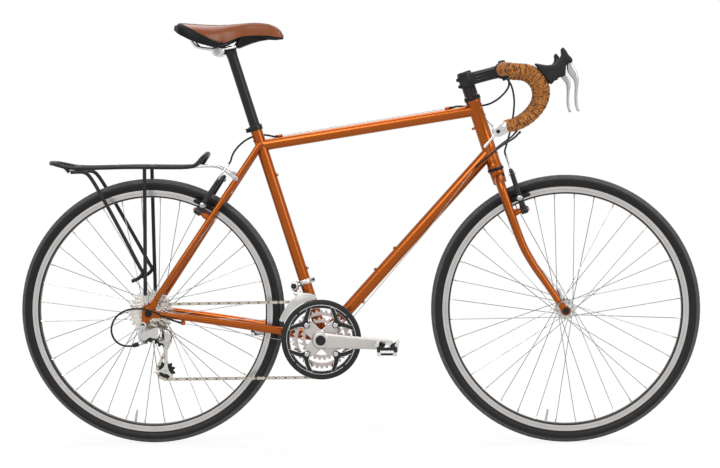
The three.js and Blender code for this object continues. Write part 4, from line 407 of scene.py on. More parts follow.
lead, hair = 9, 0.6
housing_radius = 2.5
housing_routes = {
    "front_brake_cord": ("front_brake_housing", [
        (390, 61, 931), (399, 62, 915), (406, 62, 882), (404, 60, 842), (395, 57, 797), (386, 53.5, 764),
        noodle_mouth(front_brake, 1, lead), noodle_mouth(front_brake, 1, hair),
    ]),
    "rear_brake_cord_front": ("rear_brake_housing", [
        (390, -61, 931), (391, -50, 912), (374, -22, 888), (345, 12, 869), (318, 29, 863),
        (284, 27, 862), (260, 12, 862.5), top_stop(top_stops[1], stop_end + lead),
        top_stop(top_stops[1], stop_end),
    ]),
    "rear_brake_cord_back": ("rear_brake_cable", [
        top_stop(top_stops[0], -stop_end), top_stop(top_stops[0], -stop_end - lead),
        (-217, 9, 792), (-238, 18, 795), (-262, 14, 792), (-284, -6, 781), (-303, -28, 762),
        (-313, -42, 744), noodle_mouth(rear_brake, -1, lead), noodle_mouth(rear_brake, -1, hair),
    ]),
    "shift_cord_right": ("shift_housing_right", [
        (415, -212, 796.5), (402, -185, 783), (383, -140, 770), (362, -90, 755), (340, -48, 736),
        down_stop(-1, stop_end + lead), down_stop(-1, stop_end),
    ]),
    "shift_cord_left": ("shift_housing_left", [
        (415, 212, 796.5), (402, 185, 783), (383, 140, 770), (362, 90, 755), (340, 48, 736),
        down_stop(1, stop_end + lead), down_stop(1, stop_end),
    ]),
    "rear_gear_cord": ("rear_derailleur_housing", [
        (-449, -66, 318.5), (-468, -76, 326), (-490, -82, 336), (-520, -84, 350), (-553, -84, 357),
        (-585, -84, 353), (-608, -84, 340), (-622, -83, 319), (-625, -82, 298), (-617, -81, 277),
        (-600, -80.2, 264), (-578, -79.8, 261), (-555.8, -79.8, 266.3),
    ]),
}
cord_bodies = {
    "front_brake_cord": ("front_brake_arm_left", "steering"),
    "rear_brake_cord_front": ("frame", "steering"),
    "rear_brake_cord_back": ("rear_brake_arm_right", "frame"),
    "shift_cord_right": ("frame", "steering"),
    "shift_cord_left": ("frame", "steering"),
}
ferrules = {"frame": Shape(), "steering": Shape()}
for cord_name, (node, corners) in housing_routes.items():
    route = smooth_route(corners, 40)
    cord = Shape().tube(route, housing_radius, 12).piece(cord_name, housing_black, sharp=50)
    if cord_name in cord_bodies:
        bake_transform(cord)
        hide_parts(node)
    else:
        fitted(cord, "frame", node)
    for end, inner, body in ((0, 3, "steering"), (-1, -4, "frame")):
        if "gear" in cord_name or "back" in cord_name:
            body = "frame"
        if "back" in cord_name and end == -1 or cord_name == "front_brake_cord" and end == -1:
            continue
        way = (route[inner] - route[end]).normalized()
        ferrules[body].turn(
            route[end], way, [(0, 1.6), (0, 2.9), (6.5, 2.95), (7.5, 2.7), (7.5, 2.5)], 16,
        )
for body, shape in ferrules.items():
    fitted(shape.piece(f"{body}_cord_ferrules", housing_black), body)

# Wheels: black single-wall rims with machined braking tracks, 36 stainless spokes crossed three
# times, alloy hubs with pressed flanges, and 32 millimetre road tyres with a fine moulded tread.
tyre_radius, tyre_half, rim_inner, rim_half = 343, 16, 294, 12.2
spoke_count, crossings = 36, 3


def turned_copies():
    """Geometry Nodes: even copies of a piece, turned about a line across the bicycle."""
    tree = bpy.data.node_groups.new("turned_copies", "GeometryNodeTree")
    for name, kind in (
        ("Geometry", "NodeSocketGeometry"), ("Copies", "NodeSocketInt"),
        ("Centre", "NodeSocketVector"), ("Finish", "NodeSocketMaterial"),
    ):
        tree.interface.new_socket(name, in_out="INPUT", socket_type=kind)
    tree.interface.new_socket("Geometry", in_out="OUTPUT", socket_type="NodeSocketGeometry")
    into, out = tree.nodes.new("NodeGroupInput"), tree.nodes.new("NodeGroupOutput")
    away = add_node(tree, "ShaderNodeVectorMath", operation="SCALE", Scale=-1.0)
    shift = add_node(tree, "GeometryNodeTransform")
    line = add_node(tree, "GeometryNodeMeshLine")
    line.inputs["Offset"].default_value = (0, 0, 0)
    index = add_node(tree, "GeometryNodeInputIndex")
    step = add_node(tree, "ShaderNodeMath", operation="DIVIDE")
    step.inputs[0].default_value = math.tau
    angle = add_node(tree, "ShaderNodeMath", operation="MULTIPLY")
    facing = add_node(tree, "ShaderNodeCombineXYZ")
    spread = add_node(tree, "GeometryNodeInstanceOnPoints")
    real = add_node(tree, "GeometryNodeRealizeInstances")
    coat = add_node(tree, "GeometryNodeSetMaterial")
    wire_nodes(
        tree, (into, "Centre", away, 0), (into, "Geometry", shift, "Geometry"),
        (away, 0, shift, "Translation"), (into, "Copies", line, "Count"),
        (into, "Centre", line, "Start Location"), (into, "Copies", step, 1), (index, 0, angle, 0),
        (step, 0, angle, 1), (angle, 0, facing, "Y"), (line, "Mesh", spread, "Points"),
        (shift, "Geometry", spread, "Instance"), (facing, 0, spread, "Rotation"), (spread, 0, real, 0),
        (real, 0, coat, "Geometry"), (into, "Finish", coat, "Material"), (coat, 0, out, 0),
    )
    return tree


copies_tree = turned_copies()


def copies(count, centre, material):
    """The values for a ring of copies about a place."""
    return [(copies_tree, {"Copies": count, "Centre": centre * mm, "Finish": material})]


def around(centre, radius, angle, y=0.0):
    """A place at an angle from +X towards +Z about a centre."""
    return Vector((centre.x + radius * math.cos(angle), y, centre.z + radius * math.sin(angle)))


def clock(centre, radius, angle, y=0.0):
    """A place at an angle from the top towards +X, as a wheel's spokes are counted."""
    return Vector((centre.x + radius * math.sin(angle), y, centre.z + radius * math.cos(angle)))


tyre_rubber = finish(
    "tyre_rubber", (0.006, 0.006, 0.007), (0.010, 0.010, 0.011), 0.5, grain=1400, Specular_IOR_Level=0.22,
)
tread_rubber = finish(
    "tread_rubber", (0.075, 0.075, 0.078), (0.055, 0.055, 0.058), 0.8, grain=1600, Specular_IOR_Level=0.2,
)
rim_black = finish(
    "rim_black", (0.007, 0.007, 0.008), (0.011, 0.011, 0.012), 0.34, metal=0.2, Specular_IOR_Level=0.25,
)
rim_track = finish("rim_track", (0.56, 0.54, 0.525), (0.47, 0.45, 0.44), 0.26, metal=1.0, patch=25)
spoke_steel = finish("spoke_steel", (0.3, 0.3, 0.3), (0.2, 0.2, 0.2), 0.3, metal=1.0)
hub_alloy = finish("hub_alloy", (0.6, 0.6, 0.59), (0.46, 0.46, 0.45), 0.28, metal=1.0)
nipple_brass = finish("nipple_plate", (0.55, 0.54, 0.5), (0.42, 0.41, 0.38), 0.3, metal=1.0)


def tyre_profile():
    """The carcass from bead to bead, a little flat at the crown, with a raised line by the rim."""
    middle, wall = tyre_radius - tyre_half, 2.4
    outside, inside = [], []
    for k in range(37):
        angle = math.radians(-129 + 258 * k / 36)
        bulge = tyre_half - 0.8 + 0.3 * math.exp(-((abs(math.degrees(angle)) - 112) / 4) ** 2)
        outside.append((bulge * math.sin(angle), middle + bulge * math.cos(angle)))
        inside.append(((bulge - wall) * math.sin(angle), middle + (bulge - wall) * math.cos(angle)))
    beads = [[(side * wide, high) for wide, high in ((11.5, 312.6), (11.6, 315))] for side in (-1, 1)]
    hooks = [[(side * 9.3, high) for high in (312.6, 315)] for side in (-1, 1)]
    return beads[0] + outside + beads[1][::-1] + hooks[1] + inside[::-1] + hooks[0][::-1]


def tread_band():
    """The harder rubber over the crown, a shade lighter than the sidewalls."""
    middle, outside, inside = tyre_radius - tyre_half, [], []
    for k in range(25):
        angle = math.radians(-70 + 140 * k / 24)
        for line, reach in ((outside, tyre_half - (0.6 if 0 < k < 24 else 0.8)), (inside, tyre_half - 1.8)):
            line.append((reach * math.sin(angle), middle + reach * math.cos(angle)))
    return outside + inside[::-1]


def tread_lugs(side, axle):
    """One set of the tread: a slanted shoulder lug and a short centre lug, to be copied round."""
    shape = Shape()
    middle = tyre_radius - tyre_half
    rows = ((30, 52, 0.55, 0.32, 1.0), (6, 24, 0.42, -0.3, 0.9), (57, 66, 0.5, 0.2, 0.8))
    for start, end, width, slant, rise in rows:
        corners = []
        for lift in (-0.6, 0.32 * rise):
            ring = []
            for degrees, edge in ((start, -1), (end, -1), (end, 1), (start, 1)):
                angle = math.radians(degrees)
                reach = tyre_half - 0.8 + lift
                lean = slant * (degrees - start) / (end - start)
                round_angle = math.radians(width * edge + lean * 2) * (0.88 if lift > 0 else 1)
                ring.append(clock(
                    axle, middle + reach * math.cos(angle), round_angle, side * reach * math.sin(angle),
                ))
            corners.append(ring)
        shape.skin(corners)
    return shape


def fork_spoke(shape, ends, axle, flange_y, side, hub_radius, lead_way, number):
    """One spoke from its flange hole to the rim, with its bent head and its nipple."""
    pitch = 2 * math.tau / spoke_count
    phase = math.pi / spoke_count + (pitch / 2 if side > 0 else 0)
    hub_turn = number * pitch + phase
    rim_turn = hub_turn + lead_way * crossings * pitch
    start = clock(axle, hub_radius, hub_turn, flange_y + lead_way * 1.3)
    seat_place = clock(axle, rim_inner - 0.3, rim_turn, side * 3 + lead_way * 1.3)
    outward = (seat_place - clock(axle, 0, 0, seat_place.y)).normalized()
    root = seat_place - outward * 11
    shape.rod(start, seat_place, 1.0, steps=6)
    shape.turn(start + across * 2.6 * lead_way, -across * lead_way, [(0, 1.4), (0.8, 2.2), (5, 1.1)], 8)
    ends.turn(
        root, seat_place - start, [(0, 1.2), (0.4, 1.8), (9, 1.9), (10.4, 2.4), (12, 2.5)], 8,
    )


def build_wheel(end, axle, body, right_end, left_end, right_flange, left_flange):
    """Tyre, rim, spokes and hub of one wheel."""
    tyre = Shape().turn(axle, across, tyre_profile(), 150, hollow=True)
    fitted(tyre.piece(f"{end}_tyre_carcass", tyre_rubber, sharp=60), body, f"{end}_tyre")
    crown = Shape().turn(axle, across, tread_band(), 150, hollow=True)
    fitted(crown.piece(f"{end}_tread_band", tread_rubber, sharp=60), body)
    for name, side in (("right", -1), ("left", 1)):
        lugs = tread_lugs(side, axle)
        fitted(
            lugs.piece(f"{end}_tread_{name}", tread_rubber, grow=copies(130, axle, tread_rubber)), body,
        )
    box = [
        (-rim_half + 0.2, 298.4), (-rim_half + 1.6, 295.4), (-7, 294.2), (0, 293.9), (7, 294.2),
        (rim_half - 1.6, 295.4), (rim_half - 0.2, 298.4), (rim_half - 0.4, 304), (9.8, 304.5), (9, 303),
        (-9, 303), (-9.8, 304.5), (-rim_half + 0.4, 304),
    ]
    rim = Shape().turn(axle, across, box, 150, hollow=True)
    fitted(rim.piece(f"{end}_rim_bed", rim_black, sharp=30), body, f"{end}_rim")
    tracks = Shape()
    for side in (-1, 1):
        wall = [
            (side * (rim_half - 2), 298.6), (side * (rim_half - 0.1), 298.6), (side * rim_half, 299.4),
            (side * rim_half, 304.6), (side * (rim_half - 0.5), 305.1), (side * (rim_half - 0.5), 305.7),
            (side * rim_half, 306.2), (side * rim_half, 311.6), (side * (rim_half - 0.2), 312.8),
            (side * (rim_half - 1.2), 313.4), (side * (rim_half - 2), 312.8),
        ]
        tracks.turn(axle, across, wall, 150, hollow=True)
    fitted(tracks.piece(f"{end}_rim_tracks", rim_track, sharp=30), body)

    spokes, ends = Shape(), Shape()
    for side, flange_y in ((-1, right_flange), (1, left_flange)):
        for number in (0, 1):
            fork_spoke(spokes, ends, axle, flange_y, side, 20, -1 if number else 1, number)
    rounds = spoke_count // 4
    fitted(
        spokes.piece(f"{end}_spokes", spoke_steel, grow=copies(rounds, axle, spoke_steel)), body,
        f"{end}_hub_spokes",
    )
    fitted(ends.piece(f"{end}_nipples", nipple_brass, grow=copies(rounds, axle, nipple_brass)), body)

    hub = Shape()
    half = 2.2
    profile = [
        (right_end, 5), (right_end, 9), (right_end + 3, 10.5), (right_end + 5, 12.4),
        (right_flange - half - 2, 13.6), (right_flange - half, 16), (right_flange - half, 23),
        (right_flange - half + 0.8, 24), (right_flange + half - 0.8, 24), (right_flange + half, 23),
        (right_flange + half, 16.5), (right_flange + half + 4, 13), (right_flange + half + 12, 11.4),
        (left_flange - half - 12, 11.4), (left_flange - half - 4, 13), (left_flange - half, 16.5),
        (left_flange - half, 23), (left_flange - half + 0.8, 24), (left_flange + half - 0.8, 24),
        (left_flange + half, 23), (left_flange + half, 16), (left_flange + half + 2, 13.6),
        (min(left_flange + 10, left_end - 6), 12.4), (left_end - 3, 10.5), (left_end, 9), (left_end, 5),
    ]
    hub.turn(axle, across, profile, 48, hollow=True)
    fitted(hub.piece(f"{end}_hub_shell", hub_alloy, sharp=32), body)
    valve_angle = math.pi / spoke_count * 2 + math.pi
    foot, tip = clock(axle, 296, valve_angle), clock(axle, 262, valve_angle)
    valve = Shape().turn(
        foot, tip - foot,
        [(0, 5), (2.5, 5), (3, 3), (20, 3), (20.5, 2.4), (21, 2.9), (33, 2.6), (34, 1.6)], 14,
    )
    fitted(valve.piece(f"{end}_valve", nipple_brass), body)


build_wheel("front", front_axle, "front_wheel", -49.4, 49.4, -35, 35)
build_wheel("rear", rear_axle, "rear_wheel", -22, 66, -19, 35)

# Axles and quick releases: a hollow steel axle clamped by a skewer, with a knurled nut on the drive
# side and a polished cam lever on the other.
lever_chrome = finish("lever_chrome", (0.68, 0.68, 0.67), (0.56, 0.56, 0.55), 0.18, metal=1.0)


def build_axle(end, axle, body, inner, thickness):
    """Axle, locknuts and skewer nuts."""
    outside = inner + thickness + 0.3
    shape = Shape()
    shape.rod(axle - across * outside, axle + across * outside, 4.6, steps=24)
    nut = Shape().turn(
        axle - across * outside, -across,
        [(0, 7.6), (0.6, 8.8), (3.2, 9), (4, 7.6), (6.6, 6.4), (7, 4.5)], 24,
    )
    fitted(nut.piece(f"{end}_skewer_nut", housing_black), body)
    shape.turn(axle + across * outside, across, [(0, 8.4), (0.6, 9), (4, 9), (5, 8.2), (7, 7.6)], 24)
    grips = Shape().block(
        axle + Vector((9, -outside - 1.9, 0)), (0, 1, 0), (1, 0, 0), 3, 1.1, 1.2,
    )
    fitted(shape.piece(f"{end}_skewer", lever_chrome), body, f"{end}_axle")
    fitted(
        grips.piece(f"{end}_skewer_knurl", housing_black, grow=copies(18, axle, housing_black)), body,
    )


def build_quick_lever(end, axle, body, inner, thickness, way):
    """The cam barrel and its curved lever."""
    barrel, length = 7, 52
    y = inner + thickness + 7 + 0.6 + barrel
    centre = Vector((axle.x, y, axle.z))
    square = across.cross(way)
    shape = Shape()
    shape.turn(
        centre - square * 7, square, [(0, 5.4), (0.8, 6.9), (13.2, 6.9), (14, 5.4)], 28,
    )
    blade = [
        centre + way * (length * s) + across * (2.2 * math.sin(s * 2.6) - 0.6) for s in
        (0, 0.12, 0.25, 0.4, 0.55, 0.7, 0.85, 0.95, 1)
    ]
    shares = ((0, 5.6), (0.3, 4.4), (0.6, 5.4), (0.85, 6.4), (0.95, 5.2), (1, 2.6))

    def section(share):
        for (a, wide), (b, far) in zip(shares, shares[1:]):
            if share <= b:
                return 2.3, wide + (far - wide) * (share - a) / (b - a)
        return 2.3, shares[-1][1]

    shape.tube(smooth_route(blade, 24), section, 16)
    fitted(shape.piece(f"{end}_quick_lever", lever_chrome, sharp=50), body, f"{end}_quick_release_lever")


build_axle("front", front_axle, "steering", 50, 6)
build_axle("rear", rear_axle, "frame", 67.5, 5)
build_quick_lever("front", front_axle, "front_quick_release", 50, 6, steer_along)
build_quick_lever(
    "rear", rear_axle, "rear_quick_release", 67.5, 5, (rear_axle - bottom_bracket).normalized(),
)

# Frame: thin-walled steel tubes, mitred and welded with fine ripples, in a metallic copper paint
# under clear lacquer. Stops, bottle bosses and the brake posts are brazed on before painting.
def metallic_paint():
    """Copper flake under lacquer: a deep base, fine flakes and a clear smooth coat."""
    material = finish(
        "copper_paint", (0.335, 0.078, 0.008), (0.28, 0.061, 0.006), 0.26, metal=0.8, patch=900,
        contrast=1.2, spread=0.06, grain=2600, depth=0.000004, Specular_IOR_Level=0.15, Coat_Weight=0.14,
        Coat_Roughness=0.05,
    )
    return material


copper_paint = metallic_paint()
gloss_black = finish(
    "gloss_black", (0.006, 0.006, 0.007), (0.010, 0.010, 0.011), 0.3, spread=0.15, Specular_IOR_Level=0.25,
)
bolt_steel = finish("bolt_steel", (0.5, 0.5, 0.49), (0.34, 0.34, 0.33), 0.3, metal=1.0)
weld_beads = Shape()


def weld(foot, way, radius, other_foot, other_way, other_radius):
    """A rippled bead where one round tube meets the side of another."""
    way, other_way = way.normalized(), other_way.normalized()
    side = way.orthogonal().normalized()
    square = way.cross(side)
    route, steps = [], 72
    for k in range(steps):
        angle = k / steps * math.tau
        start = foot + (side * math.cos(angle) + square * math.sin(angle)) * (radius + 0.3)
        gap_way = start - other_foot
        a = way - other_way * way.dot(other_way)
        b = gap_way - other_way * gap_way.dot(other_way)
        under = a.dot(b) ** 2 - a.dot(a) * (b.dot(b) - (other_radius + 0.2) ** 2)
        reach = (-a.dot(b) + math.sqrt(max(under, 0))) / a.dot(a)
        route.append(start + way * reach)
    ripple = lambda share: (1.5 + 0.18 * math.sin(share * steps * 1.57),) * 2
    weld_beads.tube(route, ripple, 8, loop=True)


head_outer, head_length, cup_stack = 18, 180, 8.6
head_bottom = fork_length + cup_stack
head_top = head_bottom + head_length
head = Shape()
head.turn(
    steer(head_bottom), steer_along,
    [(0, 15.4), (0, 19.2), (5.5, 19.4), (7.5, 18.1), (head_length - 7.5, 18.1),
     (head_length - 5.5, 19.4), (head_length, 19.2), (head_length, 15.4)], 48, hollow=True,
)
peg_place = head_bottom + head_length * 0.62
head.turn(steer(peg_place, -16), -steer_ahead, [(0, 3.4), (8, 3.2), (9.5, 2.4), (10, 1.2)], 16)
fitted(head.piece("head_tube_painted", copper_paint, sharp=34), "frame", "head_tube", slot="frame_paint")

bare_stops, bosses, hex_bolts = Shape(), Shape(), Shape()


def slotted_stop(centre, way):
    """A brazed cable stop: a short barrel with a lip at its open end."""
    bare_stops.turn(
        centre - way * 5.5, way, [(0, 2.6), (0.5, 3.5), (8.5, 3.6), (9, 3.9), (11, 3.9), (11, 2.9)], 20,
    )


def bottle_boss(foot, normal, radius):
    """A threaded boss with its button screw."""
    bosses.turn(foot + normal * (radius - 0.9), normal, [(0, 5.2), (1.3, 5), (1.9, 4.2), (3.3, 4.1)], 20)
    hex_bolts.turn(
        foot + normal * (radius + 2.3), normal,
        [(0, 4.4), (1.2, 4.3), (2.4, 3.2), (2.6, 1.9), (1.2, 1.8)], 20,
    )


top_tube = Shape().rod(top_from, top_to, top_radius, steps=44)
for share in top_stops:
    slotted_stop(top_stop(share, 0), top_way)
fitted(top_tube.piece("top_tube_painted", copper_paint), "frame", "top_tube", slot="frame_paint")

down_tube = Shape().rod(bottom_bracket, down_to, down_radius, steps=44)
for side in (-1, 1):
    slotted_stop(down_stop(side, 0), down_way)
down_foot = lambda share: bottom_bracket.lerp(down_to, share)
for share in (0.46, 0.345):
    bottle_boss(down_foot(share), down_normal, down_radius)
bottle_boss(down_foot(0.215), -down_normal, down_radius)
fitted(down_tube.piece("down_tube_painted", copper_paint), "frame", "down_tube", slot="frame_paint")

seat_radius, seat_length, shell_outer, shell_half = 15, 572, 20, 34
seat_tube = Shape().turn(
    seat(0), seat_along, [(0, 15), (seat_length - 14, 15), (seat_length, 16.2), (seat_length, 14.2),
                          (seat_length - 40, 14.2), (seat_length - 40, 0)], 44,
)
seat_tube.turn(
    bottom_bracket, across,
    [(-shell_half, 17), (-shell_half, 19.4), (-shell_half + 0.6, 20), (shell_half - 0.6, 20),
     (shell_half, 19.4), (shell_half, 17)], 48, hollow=True,
)
for share in (0.76, 0.32):
    bottle_boss(seat(seat_length * share), seat_ahead, seat_radius)
fitted(seat_tube.piece("seat_tube_painted", copper_paint, sharp=34), "frame", "seat_tube", slot="frame_paint")
collar = Shape().turn(
    seat(seat_length - 14), seat_along,
    [(0, 16.4), (0, 17.4), (0.6, 18), (13.4, 18), (14, 17.4), (14, 14.4), (12, 14.2)], 48,
)
for lean in (-1, 1):
    collar.block(
        seat(seat_length - 7, -20.5, lean * 3), seat_ahead, seat_along, 10, 3.4, 11,
    )
collar.turn(seat(seat_length - 7, -21.5, -8), across, [(0, 3.6), (3, 3.6), (3, 2.4), (16, 2.4)], 16)
fitted(collar.piece("seat_collar", gloss_black, sharp=32, bevel=0.5), "frame")

cartridge = Shape()
for side in (-1, 1):
    cartridge.turn(
        bottom_bracket + across * side * 33, across * side,
        [(0, 17), (0.8, 17.6), (3.6, 17.6), (4, 16.6), (3.4, 13), (3.4, 9.2)], 40,
    )
fitted(
    cartridge.piece("bottom_bracket_cups", gloss_black, sharp=32), "frame", "bottom_bracket_cartridge",
)

dropouts = Shape()


def disc_outline(centre, radius, first, last, steps=14):
    """Points of (x, z) on an arc, in degrees from +X towards +Z."""
    return [
        (centre.x + radius * math.cos(math.radians(first + (last - first) * k / steps)),
         centre.z + radius * math.sin(math.radians(first + (last - first) * k / steps)))
        for k in range(steps + 1)
    ]


chain_shares = ((0.03, 18), (0.3, 40), (0.76, 60), (0.93, 66.5))
stay_point = lambda share, y: bottom_bracket.lerp(rear_axle, share) + Vector((
    0, y, 5 * math.sin(math.pi * share),
))
chain_stay_pair = Shape()
for side in (-1, 1):
    route = smooth_route([stay_point(share, side * y) for share, y in chain_shares], 40)
    chain_stay_pair.tube(
        route, lambda share: (8.8 + (7.3 - 8.8) * share, 11.5 + (7.3 - 11.5) * share), 28,
    )
    end_way = (route[-1] - route[-4]).normalized()
    chain_stay_pair.turn(route[-1], end_way, [(0, 7.3), (2, 6.9), (3.6, 5.4), (4.4, 2.6)], 28)
bridge_at = stay_point(0.165, 0)
chain_stay_pair.rod(bridge_at - across * 26, bridge_at + across * 26, 5.5, steps=24)
fitted(
    chain_stay_pair.piece("chain_stays_painted", copper_paint), "frame", "chain_stays",
    slot="frame_paint",
)

eyelet = rear_axle + Vector((-5, 0, 27))
hanger = rear_axle + Vector((-13, 0, -29))
for side in (-1, 1):
    low, high = sorted((side * 67.5, side * 72.5))
    dropouts.slab(disc_outline(rear_axle, 16.5, 0, 360, 31)[:-1], low, high)
    reach = stay_point(0.9, 0)
    toward = (reach - rear_axle).normalized()
    square = across.cross(toward)
    dropouts.slab(
        [(p.x, p.z) for p in (
            rear_axle + square * 12, reach + square * 6.6, reach - square * 6.6, rear_axle - square * 12,
        )], low + 0.2, high - 0.2,
    )
    up_reach = seat_stay_end + (seat_stay_top - seat_stay_end).normalized() * 6
    toward = (up_reach - rear_axle).normalized()
    square = Vector((toward.x, 0, toward.z)).cross(across)
    dropouts.slab(
        [(p.x, p.z) for p in (
            rear_axle + square * 13, up_reach + square * 5.5, up_reach - square * 5.5,
            rear_axle - square * 13,
        )], low + 0.3, high - 0.3,
    )
    dropouts.slab(disc_outline(eyelet, 6.5, 0, 360, 20)[:-1], low, high)
    dropouts.slab(
        [(eyelet.x - 6, eyelet.z), (eyelet.x + 6, eyelet.z), (rear_axle.x + 8, rear_axle.z + 8),
         (rear_axle.x - 12, rear_axle.z + 6)], low + 0.4, high - 0.4,
    )
dropouts.slab(disc_outline(hanger, 10, 0, 360, 24)[:-1], -72.5, -67.5)
dropouts.slab(
    [(hanger.x - 9, hanger.z), (hanger.x + 9, hanger.z), (rear_axle.x + 10, rear_axle.z - 8),
     (rear_axle.x - 14, rear_axle.z - 4)], -72.3, -67.7,
)
fitted(
    dropouts.piece("rear_dropouts", copper_paint, sharp=30, bevel=0.7), "frame", slot="frame_paint",
)

stay_shares = ((0, 16), (0.26, 28), (0.56, 45), (0.8, 61), (1, 69.5))
seat_stay_point = lambda share, y: seat_stay_top.lerp(seat_stay_end, share) + across * y
seat_stay_pair, brake_posts = Shape(), {"frame": Shape(), "steering": Shape()}
for side in (-1, 1):
    route = smooth_route([seat_stay_point(share, side * y) for share, y in stay_shares], 44)
    seat_stay_pair.tube(route, lambda share: (8.2 - share, 8.2 - share), 26)
    end_way = (route[-1] - route[-4]).normalized()
    seat_stay_pair.turn(route[-1], end_way, [(0, 7.2), (2, 6.8), (3.6, 5.2), (4.4, 2.6)], 26)
    seat_stay_pair.turn(route[0], route[0] - route[3], [(0, 8.2), (2.5, 7.6), (5, 5.4), (6.2, 2)], 26)
bridge_at = seat_stay_point(0.31, 0)
seat_stay_pair.rod(bridge_at - across * 29, bridge_at + across * 29, 6, steps=24)
fitted(
    seat_stay_pair.piece("seat_stays_painted", copper_paint), "frame", "seat_stays",
    slot="frame_paint",
)
for body, brake in (("frame", rear_brake), ("steering", front_brake)):
    for side in (-1, 1):
        foot = brake(0, 0, side * 40)
        tip = brake(0, 48, side * 40)
        brake_posts[body].turn(
            foot, tip - foot, [(0, 7.4), (14, 7.2), (20, 6.4), (21, 5), (47.4, 5), (48, 4.4)], 24,
        )
for body, shape in brake_posts.items():
    fitted(shape.piece(f"{body}_brake_posts", copper_paint), body, slot="frame_paint")

weld(top_to - top_way * 60, top_way, top_radius, steer(400), steer_along, head_outer)
weld(down_to - down_way * 60, down_way, down_radius, steer(400), steer_along, head_outer)
weld(top_from + top_way * 60, -top_way, top_radius, bottom_bracket, seat_along, seat_radius)
weld(bottom_bracket + down_way * 70, -down_way, down_radius, bottom_bracket, across, shell_outer)
weld(bottom_bracket + seat_along * 70, -seat_along, seat_radius, bottom_bracket, across, shell_outer)
for side in (-1, 1):
    near = smooth_route([stay_point(share, side * y) for share, y in chain_shares], 40)
    weld(near[4], near[0] - near[4], 9.8, bottom_bracket, across, shell_outer)
fitted(weld_beads.piece("frame_welds", copper_paint, sharp=80), "frame", slot="frame_paint")
fitted(bare_stops.piece("cable_stops", copper_paint, sharp=34), "frame", slot="frame_paint")
fitted(bosses.piece("bottle_bosses", copper_paint, sharp=34), "frame", slot="frame_paint")
fitted(hex_bolts.piece("bottle_screws", bolt_steel, sharp=34), "frame")

# Headset and fork: pressed black cups, a steel steerer, and two oval blades that sweep forward from
# a unicrown and taper to slotted tips, all in the frame's paint.
cups = Shape()
cups.turn(
    steer(head_top + 0.3), steer_along,
    [(0, 15), (0, 20.4), (0.8, 21.2), (4.6, 21.4), (5.2, 20.4), (6, 21.4), (10.4, 20.6), (12, 18.6),
     (12, 15)], 48, hollow=True,
)
fitted(cups.piece("upper_headset_cup", gloss_black, sharp=30), "frame", "headset_upper_cup")
cups = Shape()
cups.turn(
    steer(fork_length + 0.3), steer_along,
    [(0, 15), (0, 20), (1, 21.2), (3.4, 21.4), (4, 20.4), (4.8, 21.4), (7.2, 21.2), (8, 20.4), (8, 15)],
    48, hollow=True,
)
fitted(cups.piece("lower_headset_cup", gloss_black, sharp=30), "frame", "headset_lower_cup")

blade_shares = (
    (0.945, 0, 0.18), (0.935, 0, 0.5), (0.9, 0, 0.82), (0.82, 0, 1), (0.56, 0.05, 1.04),
    (0.45, 0.12, 1.06), (0.33, 0.3, 1.08), (0.21, 0.545, 1.1), (0.075, 0.81, 1.13),
)
blade_spread = 47
fork_shape = Shape()
fork_shape.turn(
    steer(fork_length - 34), steer_along,
    [(0, 16.4), (4, 17.4), (28, 18.2), (33, 19.2), (34, 18.6), (34, 14.3), (270, 14.3)], 44,
)
tips = Shape()
for side in (-1, 1):
    route = smooth_route(
        [steer(fork_length * s, fork_offset * d, side * blade_spread * y) for s, d, y in blade_shares], 72,
    )

    def blade_section(share):
        """Oval below the crown, drawn down to a small round at the tip."""
        taper = max(0, (share - 0.35) / 0.65)
        shoulder = max(0, 1 - share / 0.14)
        return 11 - 3 * taper + shoulder * 1.5, 15 - 6.5 * taper + shoulder * 1.2

    fork_shape.tube(route, blade_section, 30)
    end_way = (route[-1] - route[-4]).normalized()
    fork_shape.turn(route[-1], end_way, [(0, 7.9), (2, 7.5), (4, 6), (5, 3)], 26)
    low, high = sorted((side * 50, side * 56))
    tips.slab(disc_outline(front_axle, 12.6, 0, 360, 28)[:-1], low, high)
    end = steer(fork_length * 0.055, fork_offset * 0.85)
    toward = (end - front_axle).normalized()
    square = across.cross(toward)
    tips.slab(
        [(p.x, p.z) for p in (
            front_axle + square * 11, end + square * 7, end - square * 7, front_axle - square * 11,
        )], low + 0.3, high - 0.3,
    )
fitted(fork_shape.piece("fork_blades", copper_paint, sharp=50), "steering", "fork", slot="frame_paint")
fitted(tips.piece("fork_tips", copper_paint, sharp=30, bevel=0.7), "steering", slot="frame_paint")

# Stem and spacers: a forged black alloy stem clamped on the steerer over three spacers, with a
# ribbed extension and a bolted bar clamp. A pressed cap closes the top.
def smooth_ring(outline, count):
    """A closed smooth line through (x, z) points, in equal steps."""
    points = [Vector((x, 0, z)) for x, z in outline]
    line = smooth_route([*points[-3:], *points, *points[:4]], 24 * len(points))
    start = min(range(len(line) // 2), key=lambda i: (line[i] - points[0]).length)
    end = min(range(len(line) // 2, len(line)), key=lambda i: (line[i] - points[0]).length)
    return [(p.x, p.z) for p in even_steps(line[start:end + 1], count)[:-1]]


